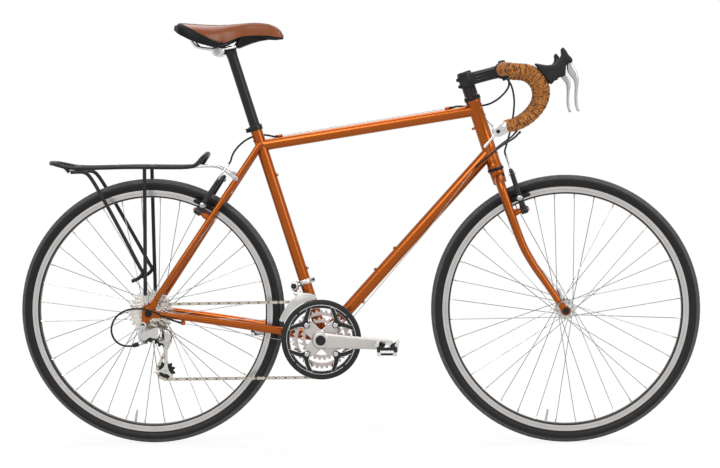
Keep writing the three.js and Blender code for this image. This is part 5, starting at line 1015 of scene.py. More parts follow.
def pillow(shape, outline, y, half, bevel, count=90, rows=(0.1, 0.35, 0.7, 1)):
    """A smooth outline as a thick piece whose faces round over towards its rim."""
    ring = [Vector(p) for p in smooth_ring(outline, count)]
    edges = list(zip(ring, ring[1:] + ring[:1]))
    pace = sum((b - a).length for a, b in edges) / count

    def depth(p):
        """How far inside the outline a place is, or below zero outside it."""
        inside, least = False, 1e9
        for a, b in edges:
            if (a.y > p.y) != (b.y > p.y) and p.x < (b.x - a.x) * (p.y - a.y) / (b.y - a.y) + a.x:
                inside = not inside
            share = min(max((p - a).dot(b - a) / (b - a).length_squared, 0), 1)
            least = min(least, (p - a.lerp(b, share)).length)
        return least if inside else -least

    points, depths = list(ring), [0.0] * count
    spin = 1 if sum(a.x * b.y - b.x * a.y for a, b in edges) > 0 else -1
    for share in rows:
        for i in range(count):
            way = (ring[(i + 1) % count] - ring[i - 1]).normalized() * spin
            spot = ring[i] + Vector((-way.y, way.x)) * bevel * share
            deep = depth(spot)
            if deep > bevel * share * 0.97 and i % (1 if share < 0.5 else 2) == 0:
                points.append(spot)
                depths.append(deep)
    low = Vector((min(p.x for p in ring), min(p.y for p in ring)))
    high = Vector((max(p.x for p in ring), max(p.y for p in ring)))
    grid = max(pace * 1.2, bevel * 0.5)
    for i in range(int((high.x - low.x) / grid) + 1):
        for j in range(int((high.y - low.y) / grid) + 1):
            spot = low + Vector((i + 0.5 * (j % 2), j)) * grid
            deep = depth(spot)
            if deep > pace * 0.6 and (deep < bevel * 0.98 or deep > bevel * 1.15):
                points.append(spot)
                depths.append(deep)
    spots, _, faces, _, _, _ = delaunay_2d_cdt(points, [], [list(range(count))], 1, 1e-5)
    rise = lambda deep: half - bevel + bevel * math.sqrt(1 - (1 - min(deep / bevel, 1)) ** 2)
    heights = [rise(max(depth(p), 0) if i >= count else 0) for i, p in enumerate(spots)]
    sides = {}
    for flip in (-1, 1):
        sides[flip] = [
            shape.mesh.verts.new((p.x, y + flip * h, p.y)) for p, h in zip(spots, heights)
        ]
        for face in faces:
            shape.mesh.faces.new([sides[flip][i] for i in (face if flip < 0 else face[::-1])])
    for i in range(count):
        j = (i + 1) % count
        if half > bevel + 1e-3:
            shape.mesh.faces.new((sides[-1][i], sides[-1][j], sides[1][j], sides[1][i]))
    return shape


clamp_low = head_top + 0.6 + 12 + 31 - 2
stem_middle = steer(clamp_low + 20.5)
stem_lean = math.radians(9.57)
clamp_centre = stem_middle + 95.7 * Vector((math.cos(stem_lean), 0, math.sin(stem_lean)))
spacer_foot = head_top + 12.9
clamp_foot = spacer_foot + 24
stem_root = steer(clamp_foot + 18)
stem_reach = clamp_centre - stem_root
reach_way = stem_reach.normalized()
height_way = reach_way.cross(across)
if height_way.z < 0:
    height_way = -height_way
stem_black = finish(
    "stem_black", (0.006, 0.006, 0.007), (0.010, 0.010, 0.011), 0.27, spread=0.12, Specular_IOR_Level=0.28,
)
stem_shape = Shape()
for foot, tall in ((0, 10.1), (10.3, 10.1), (20.6, 3.2)):
    stem_shape.turn(
        steer(spacer_foot + foot), steer_along,
        [(0.1, 16), (0.1, 16.9), (0.7, 17.5), (tall - 0.6, 17.5), (tall, 16.9), (tall, 16)], 40,
    )
stem_shape.turn(
    steer(clamp_foot), steer_along,
    [(0, 17), (0, 18.9), (0.8, 19.8), (32.8, 19.8), (34, 18.9), (34, 17)], 44,
)
stem_shape.turn(
    steer(clamp_foot + 34.2), steer_along,
    [(0, 16), (0, 18.4), (2, 18.6), (4.4, 17.4), (5.2, 15.6), (5.2, 6.2), (4.2, 5.8), (4.2, 4.6),
     (2.6, 4.6)], 44,
)


def squircle(centre, wide_way, tall_way, wide, tall, power=4.5, count=36):
    """A ring between a rectangle and an oval."""
    ring = []
    for k in range(count):
        c, s = math.cos(k / count * math.tau), math.sin(k / count * math.tau)
        ring.append(
            centre + wide_way * wide * math.copysign(abs(c) ** (2 / power), c)
            + tall_way * tall * math.copysign(abs(s) ** (2 / power), s)
        )
    return ring


stem_shape.skin([
    squircle(stem_root + stem_reach * share, across, height_way, wide, tall)
    for share, wide, tall in (
        (0, 15, 16.4), (0.16, 14.6, 16.4), (0.3, 13.8, 16), (0.5, 13.4, 15.8), (0.7, 13.8, 15.8),
        (0.84, 15.5, 16.4), (0.97, 18.5, 17),
    )
])
for side in (-1, 1):
    for rise in (-8, 0, 8):
        stem_shape.tube(
            [stem_root + stem_reach * share + across * (side * out) + height_way * rise
             for share, out in ((0.24, 12.6), (0.34, 14.3), (0.5, 13.9), (0.66, 14.4), (0.76, 13.2))],
            lambda share: (1.1, 2.2), 10,
        )
stem_shape.turn(
    clamp_centre, across,
    [(-23, 16.2), (-23, 20.4), (-22, 21.4), (22, 21.4), (23, 20.4), (23, 16.2)], 44, hollow=True,
)
bolt_rise, bolt_out = 20.6, 13.5
bolt_corners = [
    clamp_centre + height_way * rise * bolt_rise + across * side * bolt_out
    for rise in (-1, 1) for side in (-1, 1)
]
for corner in bolt_corners:
    stem_shape.turn(
        corner + reach_way * 1.5 - reach_way * 7, reach_way,
        [(0, 4.4), (0.8, 5.2), (13.2, 5.2), (14, 4.4)], 20,
    )
stem_shape.block(clamp_centre, reach_way, height_way, 1.2, 40, 43.6)
fitted(
    stem_shape.piece("stem_body", stem_black, sharp=34, bevel=0), "steering", "stem", slot="black_metal",
)
clamp_bolts = Shape()
for corner in bolt_corners:
    clamp_bolts.turn(
        corner + reach_way * 8.4, reach_way,
        [(-0.4, 3.9), (2.4, 3.9), (3.2, 3.2), (3.2, 1.9), (1.4, 1.9)], 16,
    )
for rise in (6.5, 24):
    clamp_bolts.turn(
        steer(clamp_foot + rise, -20.5, -10), across,
        [(0, 3.6), (0.8, 4.6), (19.2, 4.6), (20, 3.6)], 18,
    )
fitted(clamp_bolts.piece("stem_bolts", gloss_black, sharp=34), "steering")

# Handlebar: one bent alloy drop bar with a clamp bulge and a shift pod plugged into each end. The
# bar-end levers are forged alloy on a black pivot.
bar_reach, bar_drop, bar_half, bar_grip, bar_clamp = 96.5, 143, 215, 12.2, 15.9
bar_shares = (
    (0, 0, 0), (0, 0, 0.16), (0, 0, 0.5), (0, 0, 0.77), (0.04, 0.003, 0.885), (0.18, 0.015, 0.972),
    (0.38, 0.03, 1), (0.6, 0.045, 1), (0.79, 0.11, 1), (0.945, 0.24, 1), (1, 0.42, 1),
    (0.945, 0.58, 1), (0.79, 0.735, 1), (0.58, 0.86, 1), (0.32, 0.95, 1), (0.03, 0.995, 1),
)
bar_place = lambda reach, drop, wide, side: clamp_centre + Vector((
    bar_reach * reach, side * bar_half * wide, -bar_drop * drop,
))
bar_alloy = finish("bar_alloy", (0.58, 0.58, 0.57), (0.46, 0.46, 0.45), 0.27, metal=1.0)
lever_alloy = finish("lever_alloy", (0.66, 0.66, 0.66), (0.54, 0.54, 0.54), 0.24, metal=1.0, patch=30)
black_plastic = finish(
    "black_plastic", (0.007, 0.007, 0.008), (0.012, 0.012, 0.013), 0.5, Specular_IOR_Level=0.22,
)
bar_shape = Shape()
pods, pod_dots = Shape(), {"right": Shape(), "left": Shape()}
bar_lines = {}
for name, side in (("right", -1), ("left", 1)):
    line = smooth_route([bar_place(*shares, side) for shares in bar_shares], 150)
    bar_lines[side] = line

    def bar_section(share):
        """The clamp bulge runs down to the grip's width."""
        fade = min(max((share - 0.05) / 0.03, 0), 1)
        radius = bar_clamp + (bar_grip - bar_clamp) * (3 * fade**2 - 2 * fade**3)
        return radius, radius

    bar_shape.tube(line, bar_section, 28)
    end = line[-1]
    pivot = end + Vector((-17, 0, -11))
    pods.turn(
        end + Vector((3, 0, 1)), pivot - end, [(0, 9.5), (2, 12.2), (6, 12.2), (8, 10.4), (13, 8.5)], 24,
    )
    outline = []
    way = (end - pivot).normalized()
    square = Vector((-way.z, 0, way.x))
    for k in range(13):
        angle = math.radians(90 + 180 * k / 12)
        p = pivot + way * (13 * math.cos(angle)) + square * (13 * math.sin(angle))
        outline.append((p.x, p.z))
    for p in (end - square * 14 + way * 3, end + square * 14 + way * 3):
        outline.append((p.x, p.z))
    pillow(pods, outline, pivot.y, 7.2, 3, 60)
    lever_angle = math.radians(228 if side < 0 else 131)
    out = Vector((math.cos(lever_angle), 0, math.sin(lever_angle)))
    flank = Vector((-out.z, 0, out.x))
    near = side * (abs(pivot.y) + 7.8)
    lever = Shape()
    lever.turn(
        Vector((pivot.x, near, pivot.z)), across * side,
        [(0, 10.4), (0.7, 11), (4.2, 11), (5, 10.2), (5, 5)], 36,
    )
    edges = [(4, 4.6), (12, 3.7), (24, 2.9), (36, 2.7), (46, 3.3), (51, 2.9), (52.6, 0)]
    outline = [
        (pivot.x + out.x * r + flank.x * h, pivot.z + out.z * r + flank.z * h)
        for r, h in edges + [(r, -h) for r, h in edges[-2::-1]]
    ]
    pillow(lever, outline, near + side * 2.5, 2.3, 1.2, 60)
    fitted(
        lever.piece(f"bar_end_lever_{name}", lever_alloy, sharp=40), f"shift_lever_{name}",
        f"shift_lever_{name}", slot="bright_alloy",
    )
    pod_dots[name].turn(
        Vector((pivot.x, near + side * 4.8, pivot.z)), across * side,
        [(0, 5), (0.6, 4.9), (1.4, 4.4), (1.4, 2.4), (0.6, 2.2)], 24,
    )
    fitted(pod_dots[name].piece(f"bar_end_pivot_{name}", black_plastic, sharp=34), f"shift_lever_{name}")
fitted(bar_shape.piece("drop_bar", bar_alloy), "steering", "handlebar", slot="bright_alloy")
fitted(pods.piece("bar_end_pods", lever_alloy, sharp=40), "steering", slot="bright_alloy")

# Bar tape: brown cork ribbon wound on from each bar end, every turn lapping the one before it, and
# ended by the stem with a turn of black tape.
tape_first, tape_last, tape_turns, ribbon_half = 0.155, 0.985, 29, 11.5


def tape_brown_material():
    """Ochre cork streaked with dark flecks that run round the bar, with painted shade where each turn laps down
    onto the one before.
    """
    material = finish(
        "tape_cork", (0.42, 0.165, 0.040), (0.27, 0.098, 0.024), 0.66, patch=160, contrast=3.2,
        grain=700, depth=0.00012, Specular_IOR_Level=0.15,
    )
    tree, shader = material.node_tree, material.node_tree.nodes["Principled BSDF"]
    surface = shader.inputs["Base Color"].links[0].from_node
    # along and turned place the cork's flecks; rim weights the painted shade at each turn's lapped edge.
    along, turned, rim = (
        add_node(tree, "ShaderNodeAttribute", attribute_name=name) for name in ("along", "turned", "rim")
    )
    spot = add_node(tree, "ShaderNodeCombineXYZ")
    streak = add_node(tree, "ShaderNodeTexNoise", Scale=0.34, Detail=3, Distortion=0.7)
    grow = add_node(tree, "ShaderNodeMapRange")
    grow.inputs["From Min"].default_value, grow.inputs["From Max"].default_value = 0.5, 0.58
    flecked = add_node(tree, "ShaderNodeMix", data_type="RGBA")
    flecked.inputs["B"].default_value = (0.075, 0.028, 0.009, 1)
    # Painted shade: the rim weight mixes in this dark brown along the edge where each turn laps onto the one
    # before.
    shade = add_node(tree, "ShaderNodeMix", data_type="RGBA")
    shade.inputs["B"].default_value = (0.05, 0.019, 0.007, 1)
    wire_nodes(
        tree, (along, "Fac", spot, "X"), (turned, "Fac", spot, "Y"), (spot, "Vector", streak, "Vector"),
        (streak, "Fac", grow, "Value"), (grow, "Result", flecked, "Factor"),
        (surface, "Colour", flecked, "A"), (rim, "Fac", shade, "Factor"),
        (flecked, "Result", shade, "A"), (shade, "Result", shader, "Base Color"),
    )
    return material


tape_cork = tape_brown_material()
tape_ends = Shape()
for name, side in (("right", -1), ("left", 1)):
    line = bar_lines[side]
    total = sum((b - a).length for a, b in zip(line, line[1:]))
    step = total / (len(line) - 1)
    frames, facing = [], Vector((1, 0, 0))
    for i, place in enumerate(line):
        way = (line[min(i + 1, len(line) - 1)] - line[max(i - 1, 0)]).normalized()
        facing = (facing - way * facing.dot(way)).normalized()
        frames.append((place, facing.copy(), way.cross(facing)))

    def on_bar(distance, angle, radius):
        """A place beside the bar at a distance along it."""
        at = min(max(distance / step, 0), len(line) - 1.001)
        i, part = int(at), at - int(at)
        spots = [
            p + f * (radius * math.cos(angle)) + o * (radius * math.sin(angle))
            for p, f, o in frames[i:i + 2]
        ]
        return spots[0].lerp(spots[1], part)

    first, last = total * tape_first, total * tape_last
    pitch_length = (last - first) / tape_turns
    rings, lap_shade_weights, alongs, turned, steps = [], [], [], [], 24
    # The third value in each row is the painted shade weight, highest at the edge that laps down onto the turn
    # before.
    section = (
        (-1, 0.2, 0), (-0.98, 1.0, 0.2), (-0.8, 1.9, 0), (0, 2.3, 0), (0.8, 2.5, 0.0), (0.96, 2.2, 0.75),
        (1, 1.2, 1), (0.99, 0.3, 1), (0, 0.2, 0),
    )
    for k in range(tape_turns * steps + 1):
        centre = last - pitch_length * k / steps
        ring = []
        for width_share, rise, rim in section:
            distance = centre - ribbon_half * width_share
            lift = 12.5 + 1.6 * (width_share + 1) / 2 + rise
            ring.append(on_bar(min(max(distance, first - 3), last + 3), side * k / steps * math.tau, lift))
            lap_shade_weights.append(rim)
            alongs.append(distance)
            turned.append(4.4 * k / steps * math.tau)
        rings.append(ring)
    ribbon = Shape().skin(rings)
    ribbon.layers.update(rim=lap_shade_weights, along=alongs, turned=turned)
    fitted(
        ribbon.piece(f"cork_tape_{name}", tape_cork, sharp=70), "steering", f"bar_tape_{name}",
        slot="tape_brown",
    )
    tape_ends.tube(
        [on_bar(first - 4 + 16 * k / 8, 0, 0) for k in range(9)],
        lambda share: (15.9 - 1.2 * abs(2 * share - 1) ** 6,) * 2, 28,
    )
fitted(tape_ends.piece("tape_ends", housing_black), "steering")

# Brake levers: black rubber hoods pulled over the lever bodies, with a cable exit on the inside, and
# forged alloy blades on a cross pin.
hood_rubber = finish(
    "hood_rubber", (0.007, 0.007, 0.008), (0.012, 0.012, 0.013), 0.55, grain=1500, depth=0.00006,
    Specular_IOR_Level=0.22,
)
on_bend = lambda reach, drop: (clamp_centre.x + bar_reach * reach, clamp_centre.z - bar_drop * drop)
hood_shares = (
    (0.78, -0.07), (1.1, -0.045), (1.26, -0.065), (1.355, -0.12), (1.44, -0.205), (1.44, -0.31),
    (1.49, -0.34), (1.55, -0.305), (1.645, -0.205), (1.715, -0.155), (1.725, -0.09), (1.59, -0.05),
    (1.56, 0.05), (1.54, 0.14), (1.4, 0.17), (1.3, 0.21), (1.19, 0.28), (0.99, 0.13), (0.86, 0.01),
)
blade_shares_front = (
    (1.6, -0.1), (1.62, -0.14), (1.67, -0.145), (1.705, -0.11), (1.76, -0.02), (1.86, 0.1),
    (1.89, 0.23), (1.865, 0.36), (1.85, 0.5), (1.865, 0.64), (1.9, 0.745), (1.84, 0.74),
    (1.78, 0.58), (1.78, 0.42), (1.78, 0.3), (1.75, 0.21), (1.66, 0.13), (1.6, 0.05),
)
blade_alloy = finish("blade_alloy", (0.47, 0.47, 0.48), (0.38, 0.38, 0.39), 0.3, metal=0.9, patch=30)
hood_pins = Shape()
for name, side in (("right", -1), ("left", 1)):
    hood = Shape()
    pillow(hood, [on_bend(*p) for p in hood_shares], side * bar_half, 17, 9, 130)
    for k in range(5):
        low = on_bend(1.02 + 0.07 * k, -0.032 - 0.004 * k)
        hood.block(
            Vector((low[0], side * bar_half, low[1] + 1.2)), (1, 0, 0.1), (0, 0, 1), 2.2, 17, 2.2,
        )
    pin_x, pin_z = on_bend(1.65, -0.11)
    swept = []
    for x, z in [on_bend(*p) for p in blade_shares_front]:
        for degrees in range(0, 25, 4):
            angle = math.radians(degrees)
            dx, dz = x - pin_x, z - pin_z
            if math.hypot(dx, dz) < 50:
                swept.append(Vector((
                    pin_x + 1.1 * (dx * math.cos(angle) + dz * math.sin(angle)),
                    pin_z + 1.1 * (dz * math.cos(angle) - dx * math.sin(angle)),
                )))
    slot_outline = [tuple(swept[i]) for i in convex_hull_2d(swept)]
    cutter = Shape().slab(slot_outline, side * bar_half - 8.6, side * bar_half + 8.6).piece(
        f"hood_slot_{name}", hood_rubber,
    )
    rubber = hood.piece(f"rubber_hood_{name}", hood_rubber, sharp=60)
    opening = rubber.modifiers.new("lever_slot", "BOOLEAN")
    opening.operation, opening.object, opening.solver = "DIFFERENCE", cutter, "EXACT"
    rubber.data = bpy.data.meshes.new_from_object(
        rubber.evaluated_get(bpy.context.evaluated_depsgraph_get())
    )
    rubber.modifiers.clear()
    bpy.data.objects.remove(cutter)
    rubber.data.set_sharp_from_angle(angle=math.radians(60))
    fitted(rubber, "steering", f"brake_hood_{name}", slot="hood_rubber")
    blade = Shape()
    pillow(blade, [on_bend(*p) for p in blade_shares_front], side * bar_half, 7.8, 4.4, 120)
    fitted(
        blade.piece(f"brake_blade_{name}", blade_alloy, sharp=60), f"brake_lever_{name}",
        f"brake_lever_{name}", slot="bright_alloy",
    )
    for end in (-1, 1):
        hood_pins.turn(
            Vector((pin_x, side * bar_half + end * 13, pin_z)), across * end,
            [(0, 3), (3.4, 3), (4, 2.5), (4, 1.4), (3.2, 1.3)], 16,
        )
fitted(hood_pins.piece("hood_pivot_pins", black_plastic, sharp=34), "steering")

# Saddle: brown leather over a padded nylon shell, with black gripping panels at the rear flanks and a
# black plastic base, clamped by its bent steel rails to a black alloy seatpost.
saddle_length, saddle_depth, saddle_half = 276, 62, 76
post_head = seat(772)
saddle_rear, saddle_base = post_head.x - 139.5909, post_head.z + 73.0251 - saddle_depth
saddle_shares = (
    (0, 0.42, 0.9, 0.68), (0.05, 0.78, 1, 0.55), (0.15, 0.97, 0.985, 0.33), (0.28, 0.98, 0.95, 0.12),
    (0.4, 0.8, 0.93, 0.04), (0.5, 0.52, 0.94, 0.2), (0.62, 0.34, 0.975, 0.4), (0.75, 0.28, 1, 0.44),
    (0.87, 0.25, 0.93, 0.42), (0.94, 0.22, 0.79, 0.37), (0.98, 0.17, 0.62, 0.35), (1, 0.09, 0.44, 0.35),
)


def between(table, share):
    """A row of values at a share, blended smoothly between a table's rows."""
    rows = [table[0], *table, table[-1]]
    for before, start, end, after in zip(rows, rows[1:], rows[2:], rows[3:]):
        if share <= end[0]:
            t = (share - start[0]) / max(end[0] - start[0], 1e-6)
            found = []
            for a, b, c, d in zip(before[1:], start[1:], end[1:], after[1:]):
                near, far = (c - a) / 2, (d - b) / 2
                found.append(
                    b * (2 * t**3 - 3 * t**2 + 1) + near * (t**3 - 2 * t**2 + t)
                    + c * (3 * t**2 - 2 * t**3) + far * (t**3 - t**2)
                )
            return found
    return list(table[-1][1:])


def saddle_top_point(share, turn_share, out=0.0):
    """A place on the leather: turn_share runs from -1 at the right edge over the top to 1."""
    half_share, top_share, edge_share = between(saddle_shares, share)
    half = saddle_half * half_share
    crown, edge = saddle_base + saddle_depth * top_share, saddle_base + saddle_depth * edge_share
    angle = math.pi / 2 * turn_share
    wide, tall = math.sin(angle), math.cos(angle)
    sink = 2.2 * math.exp(-(turn_share / 0.22) ** 2) * min(1, 4 * share * (1 - share) + 0.1)
    return Vector((
        saddle_rear + saddle_length * share,
        (half + out) * math.copysign(abs(wide) ** 0.8, wide),
        edge + (crown - edge + out) * abs(tall) ** 0.62 - sink,
    ))


leather = finish(
    "saddle_leather", (0.2, 0.052, 0.012), (0.135, 0.034, 0.008), 0.3, patch=26, contrast=1.6,
    spread=0.2, grain=1300, depth=0.00005, Coat_Weight=0.14, Coat_Roughness=0.2, Specular_IOR_Level=0.28,
)
grip_black = finish(
    "grip_black", (0.003, 0.003, 0.0035), (0.006, 0.006, 0.0065), 0.5, grain=1600, depth=0.00008,
    Specular_IOR_Level=0.12,
)
shell_shape = Shape()
rows, columns = 72, 40
skin_rings = []
for i in range(rows + 1):
    share = (1 - math.cos(math.pi * i / rows)) / 2
    share = 0.35 * share + 0.65 * i / rows
    over = [saddle_top_point(share, -1 + 2 * k / columns) for k in range(columns + 1)]
    half_share, top_share, edge_share = between(saddle_shares, share)
    half = saddle_half * half_share
    edge = saddle_base + saddle_depth * edge_share
    hollow = min((top_share - edge_share) * saddle_depth - 14, 30) * (
        1 if 0.16 < share < 0.8 else 0.2
    )
    under = []
    for k in range(1, 14):
        t = 1 - 2 * k / 14
        under.append(Vector((
            over[0].x, max(half - 5, half * 0.5) * t,
            edge - 1 + max(hollow, 0) * (1 - t * t) * 0.8,
        )))
    skin_rings.append(over + under)
shell_shape.skin(skin_rings)
saddle_cover = shell_shape.piece("saddle_cover", leather, sharp=70)
fitted(saddle_cover, "seatpost", "saddle", slot="saddle_leather")


def draped(shape, corners, out, steps=10, thick=0.8):
    """A panel laid on the leather between corner places given as (share, turn share) rows."""
    rings = []
    for lift in (out, out - thick):
        rings.append([
            [
                saddle_top_point(a[0] + (b[0] - a[0]) * k / steps, a[1] + (b[1] - a[1]) * k / steps, lift)
                for k in range(steps + 1)
            ] for a, b in corners
        ])
    return shape.skin([near + far[::-1] for near, far in zip(*rings)])


panels, seams = Shape(), Shape()
panel_tops = (
    (0, 0.1), (0.05, 0.32), (0.1, 0.56), (0.2, 0.77), (0.3, 0.885), (0.4, 0.965), (0.46, 0.995),
)
for side in (-1, 1):
    corner_rows = []
    for k in range(37):
        share = 0.46 * (k / 36) ** 1.5
        corner_rows.append(((share, side * between(panel_tops, share)[0]), (share, side * 1.0)))
    draped(panels, corner_rows, 0.5, steps=14)
    line = [saddle_top_point(a[0], a[1] - side * 0.012, 0.35) for a, b in corner_rows]
    seams.tube(smooth_route(line, 60), 0.55, 8)
    ridge = [
        saddle_top_point(0.06 + 0.9 * k / 30, side * (0.36 - 0.05 * math.sin(k / 30 * math.pi)), 0.1)
        for k in range(31)
    ]
    seams.tube(ridge, 0.45, 8)
rear_rings = []
for shift in (-0.8, 1.4):
    over = [saddle_top_point(0, -1 + 2 * k / columns, 0.5) for k in range(columns + 1)]
    under = [over[-1].lerp(over[0], k / 8) - Vector((0, 0, 1)) for k in range(1, 8)]
    rear_rings.append([place + Vector((shift, 0, 0)) for place in over + under])
panels.skin(rear_rings)
fitted(panels.piece("saddle_panels", grip_black, sharp=50), "seatpost", slot="black_plastic")
fitted(seams.piece("saddle_seams", grip_black), "seatpost")
base = Shape()
rings = []
for i in range(41):
    share = 0.01 + 0.985 * i / 40
    half_share, top_share, edge_share = between(saddle_shares, share)
    half, edge = saddle_half * half_share, saddle_base + saddle_depth * edge_share
    low = 2.6 + 7 * max(0, 1 - abs(share - 0.84) / 0.2) * 0.6
    rings.append([
        Vector((saddle_rear + saddle_length * share, half * y * 0.985, edge + z))
        for y, z in ((-1, 1.6), (-1, -low), (-0.82, -low - 0.8), (-0.8, 0.4), (0.8, 0.4),
                     (0.82, -low - 0.8), (1, -low), (1, 1.6), (0.9, 2.6), (-0.9, 2.6))
    ])
base.skin(rings)
keel = []
for share, low, wide in (
    (0.545, 0.04, 20), (0.556, -0.05, 25), (0.58, -0.065, 26), (0.64, 0.035, 24), (0.7, 0.13, 21),
    (0.78, 0.22, 17), (0.86, 0.27, 15), (0.93, 0.25, 13), (0.97, 0.27, 9), (0.985, 0.3, 5),
):
    x, foot = saddle_rear + saddle_length * share, saddle_base + saddle_depth * low
    top = saddle_base + saddle_depth * max(between(saddle_shares, share)[2] - 0.02, low + 0.04)
    keel.append([
        Vector((x + (z - foot) * max(0, 0.62 - share) * 9, y, z)) for y, z in (
            (-wide, top), (-wide, foot + 3), (-wide + 3, foot), (wide - 3, foot), (wide, foot + 3),
            (wide, top),
        )
    ])
base.skin(keel)
fitted(base.piece("saddle_base", grip_black, sharp=40), "seatpost")

rail_shares = (
    (0.145, 0.47, 1.72), (0.165, 0.2, 1.66), (0.2, 0.02, 1.5), (0.28, -0.07, 1.15), (0.4, -0.09, 1),
    (0.52, -0.055, 1), (0.6, 0.05, 0.94), (0.66, 0.16, 0.82), (0.78, 0.37, 0.6), (0.885, 0.47, 0.3),
    (0.9, 0.49, 0),
)
rail_half = 22
rail_place = lambda length, height, spread, side: Vector((
    saddle_rear + saddle_length * length, side * rail_half * spread, saddle_base + saddle_depth * height,
))
rail_chrome = finish("rail_chrome", (0.7, 0.7, 0.7), (0.58, 0.58, 0.58), 0.16, metal=1.0)
rails = Shape()
corners = [rail_place(*shares, -1) for shares in rail_shares]
corners += [rail_place(*shares, 1) for shares in rail_shares[-2::-1]]
rails.tube(smooth_route(corners, 160), 3.5, 16)
fitted(rails.piece("saddle_wire_rails", rail_chrome), "seatpost", "saddle_rails", slot="rail_steel")

post = Shape()
post.turn(
    seat(460), seat_along, [(0, 11), (0, 13.1), (0.6, 13.6), (296, 13.6), (304, 14.6), (312, 15), (316, 13)],
    40,
)
clamp_middle = Vector((post_head.x - 29, 0, post_head.z))
post.turn(post_head - across * 13.6, across, [(0, 11), (1.2, 13.4), (26, 13.4), (27.2, 11)], 32)
post.block(
    post_head.lerp(clamp_middle, 0.5), (1, 0, 0), (0, 0, 1), 29, 25, 17,
)
fitted(post.piece("seatpost_tube", gloss_black, sharp=34), "seatpost", "seatpost", slot="black_metal")
cradle = Shape()
pillow(cradle, [
    (clamp_middle.x + 16.5 * math.cos(angle), clamp_middle.z - 1 + 13.5 * math.sin(angle))
    for angle in (k / 10 * math.tau for k in range(10))
], 0, 27, 4, 60)
fitted(cradle.piece("seatpost_cradle", lever_alloy, sharp=50), "seatpost")
cradle_bolts = Shape()
for side in (-1, 1):
    cradle_bolts.turn(
        clamp_middle + Vector((-2, side * 26, -1)), across * side,
        [(0, 7.6), (2.6, 7.6), (4, 6.8), (4, 3.9), (1.6, 3.9)], 28,
    )
    cradle_bolts.turn(clamp_middle + Vector((-2, side * 26, -1)), across * side, [(0, 3.9), (2, 3.9)], 6)
fitted(cradle_bolts.piece("seatpost_bolts", bolt_steel, sharp=34), "seatpost")

# Rear rack: one tube bent into a loop with four welded crosses, legs and struts down to the dropout
# eyelets, all in black powder coat, and two bare alloy stays flattened onto the seat stays.
rack_black = finish(
    "rack_black", (0.006, 0.006, 0.007), (0.010, 0.010, 0.011), 0.38, Specular_IOR_Level=0.25,
)
rack_z, rack_front, rack_rear, rack_half = rear_axle.z + 374, rear_axle.x + 126, rear_axle.x - 211, 57
loop_half = lambda side: [
    Vector((x, side * y, rack_z + rise)) for x, y, rise in (
        (rack_rear - 42, 0, 11), (rack_rear - 35.7, 34.2, 10.5), (rack_rear - 14.7, 51.3, 5.5),
        (rack_rear + 12, rack_half, 0), ((rack_front + rack_rear) / 2, rack_half, 0),
        (rack_front - 12, rack_half, 0), (rack_front, 55.3, 4.5), (rack_front + 13.2, 45.6, 19.5),
        (rack_front + 22, 22.8, 30),
    )
]
corners = loop_half(-1) + loop_half(1)[:0:-1]
line = smooth_route([*corners[-2:], *corners, *corners[:3]], 600)
nearest = lambda part: min(part, key=lambda i: (line[i] - corners[0]).length)
start, end = nearest(range(0, 200)), nearest(range(400, 601))
rack = Shape().tube(even_steps(line[start:end + 1], 260)[:-1], 5.2, 18, loop=True)
rear_bar = Vector((rack_rear - 42, 0, rack_z + 11))
rack.turn(rear_bar - across * 20.8, across, [(0, 5), (0, 6.2), (41.6, 6.2), (41.6, 5)], 20)
for share in (0.06, 0.36, 0.64, 0.94):
    x = rack_rear + (rack_front - rack_rear) * share
    rack.rod(Vector((x, -56, rack_z)), Vector((x, 56, rack_z)), 4.16, steps=16)
    for side in (-1, 1):
        rack.turn(Vector((x, side * 52.6, rack_z)), across * side, [(0, 4.2), (1.2, 5.2), (3, 5.4)], 16)
leg_x = rear_axle.x - 6
for side in (-1, 1):
    rack.tube(
        smooth_route([Vector((leg_x, side * y, z)) for y, z in (
            (rack_half, rack_z), (57.6, rack_z - 15.6), (66, 545), (75.6, eyelet.z + 48),
            (77, eyelet.z + 20),
        )], 60), 4.8, 16,
    )
    strut_corners = [Vector((x, side * y, z)) for x, y, z in (
        (rack_rear + 14, 54, rack_z - 11.5), (rack_rear + 44, 54, rack_z - 11.5),
        (rack_rear + 54, 54.3, rack_z - 14.6), (rack_rear + 66, 54.8, rack_z - 27),
        (eyelet.x - 16, 71, eyelet.z + 94), (eyelet.x - 8, 71, eyelet.z + 77),
        (eyelet.x - 17, 71, eyelet.z + 65), (eyelet.x - 36, 71, eyelet.z + 56),
    )]
    rack.tube(smooth_route(strut_corners, 150), 4.8, 16)
    rack.rod(
        Vector((rack_rear, side * 54, rack_z)), Vector((rack_rear + 10.4, side * 54, rack_z - 11.5)),
        4.6, steps=16,
    )
fitted(rack.piece("rack_tubes", rack_black, sharp=50), "frame", "rear_rack", slot="black_metal")
rack_stays, rack_bolts = Shape(), Shape()
for side in (-1, 1):
    rack_stays.tube(
        [Vector((leg_x + (eyelet.x - leg_x) * t, side * (77 - 0.6 * t), eyelet.z + 30 - 35 * t))
         for t in (k / 12 for k in range(13))],
        lambda share: (2.2, 5.2 + 1.4 * share - 3 * max(share - 0.85, 0) / 0.15), 18,
    )
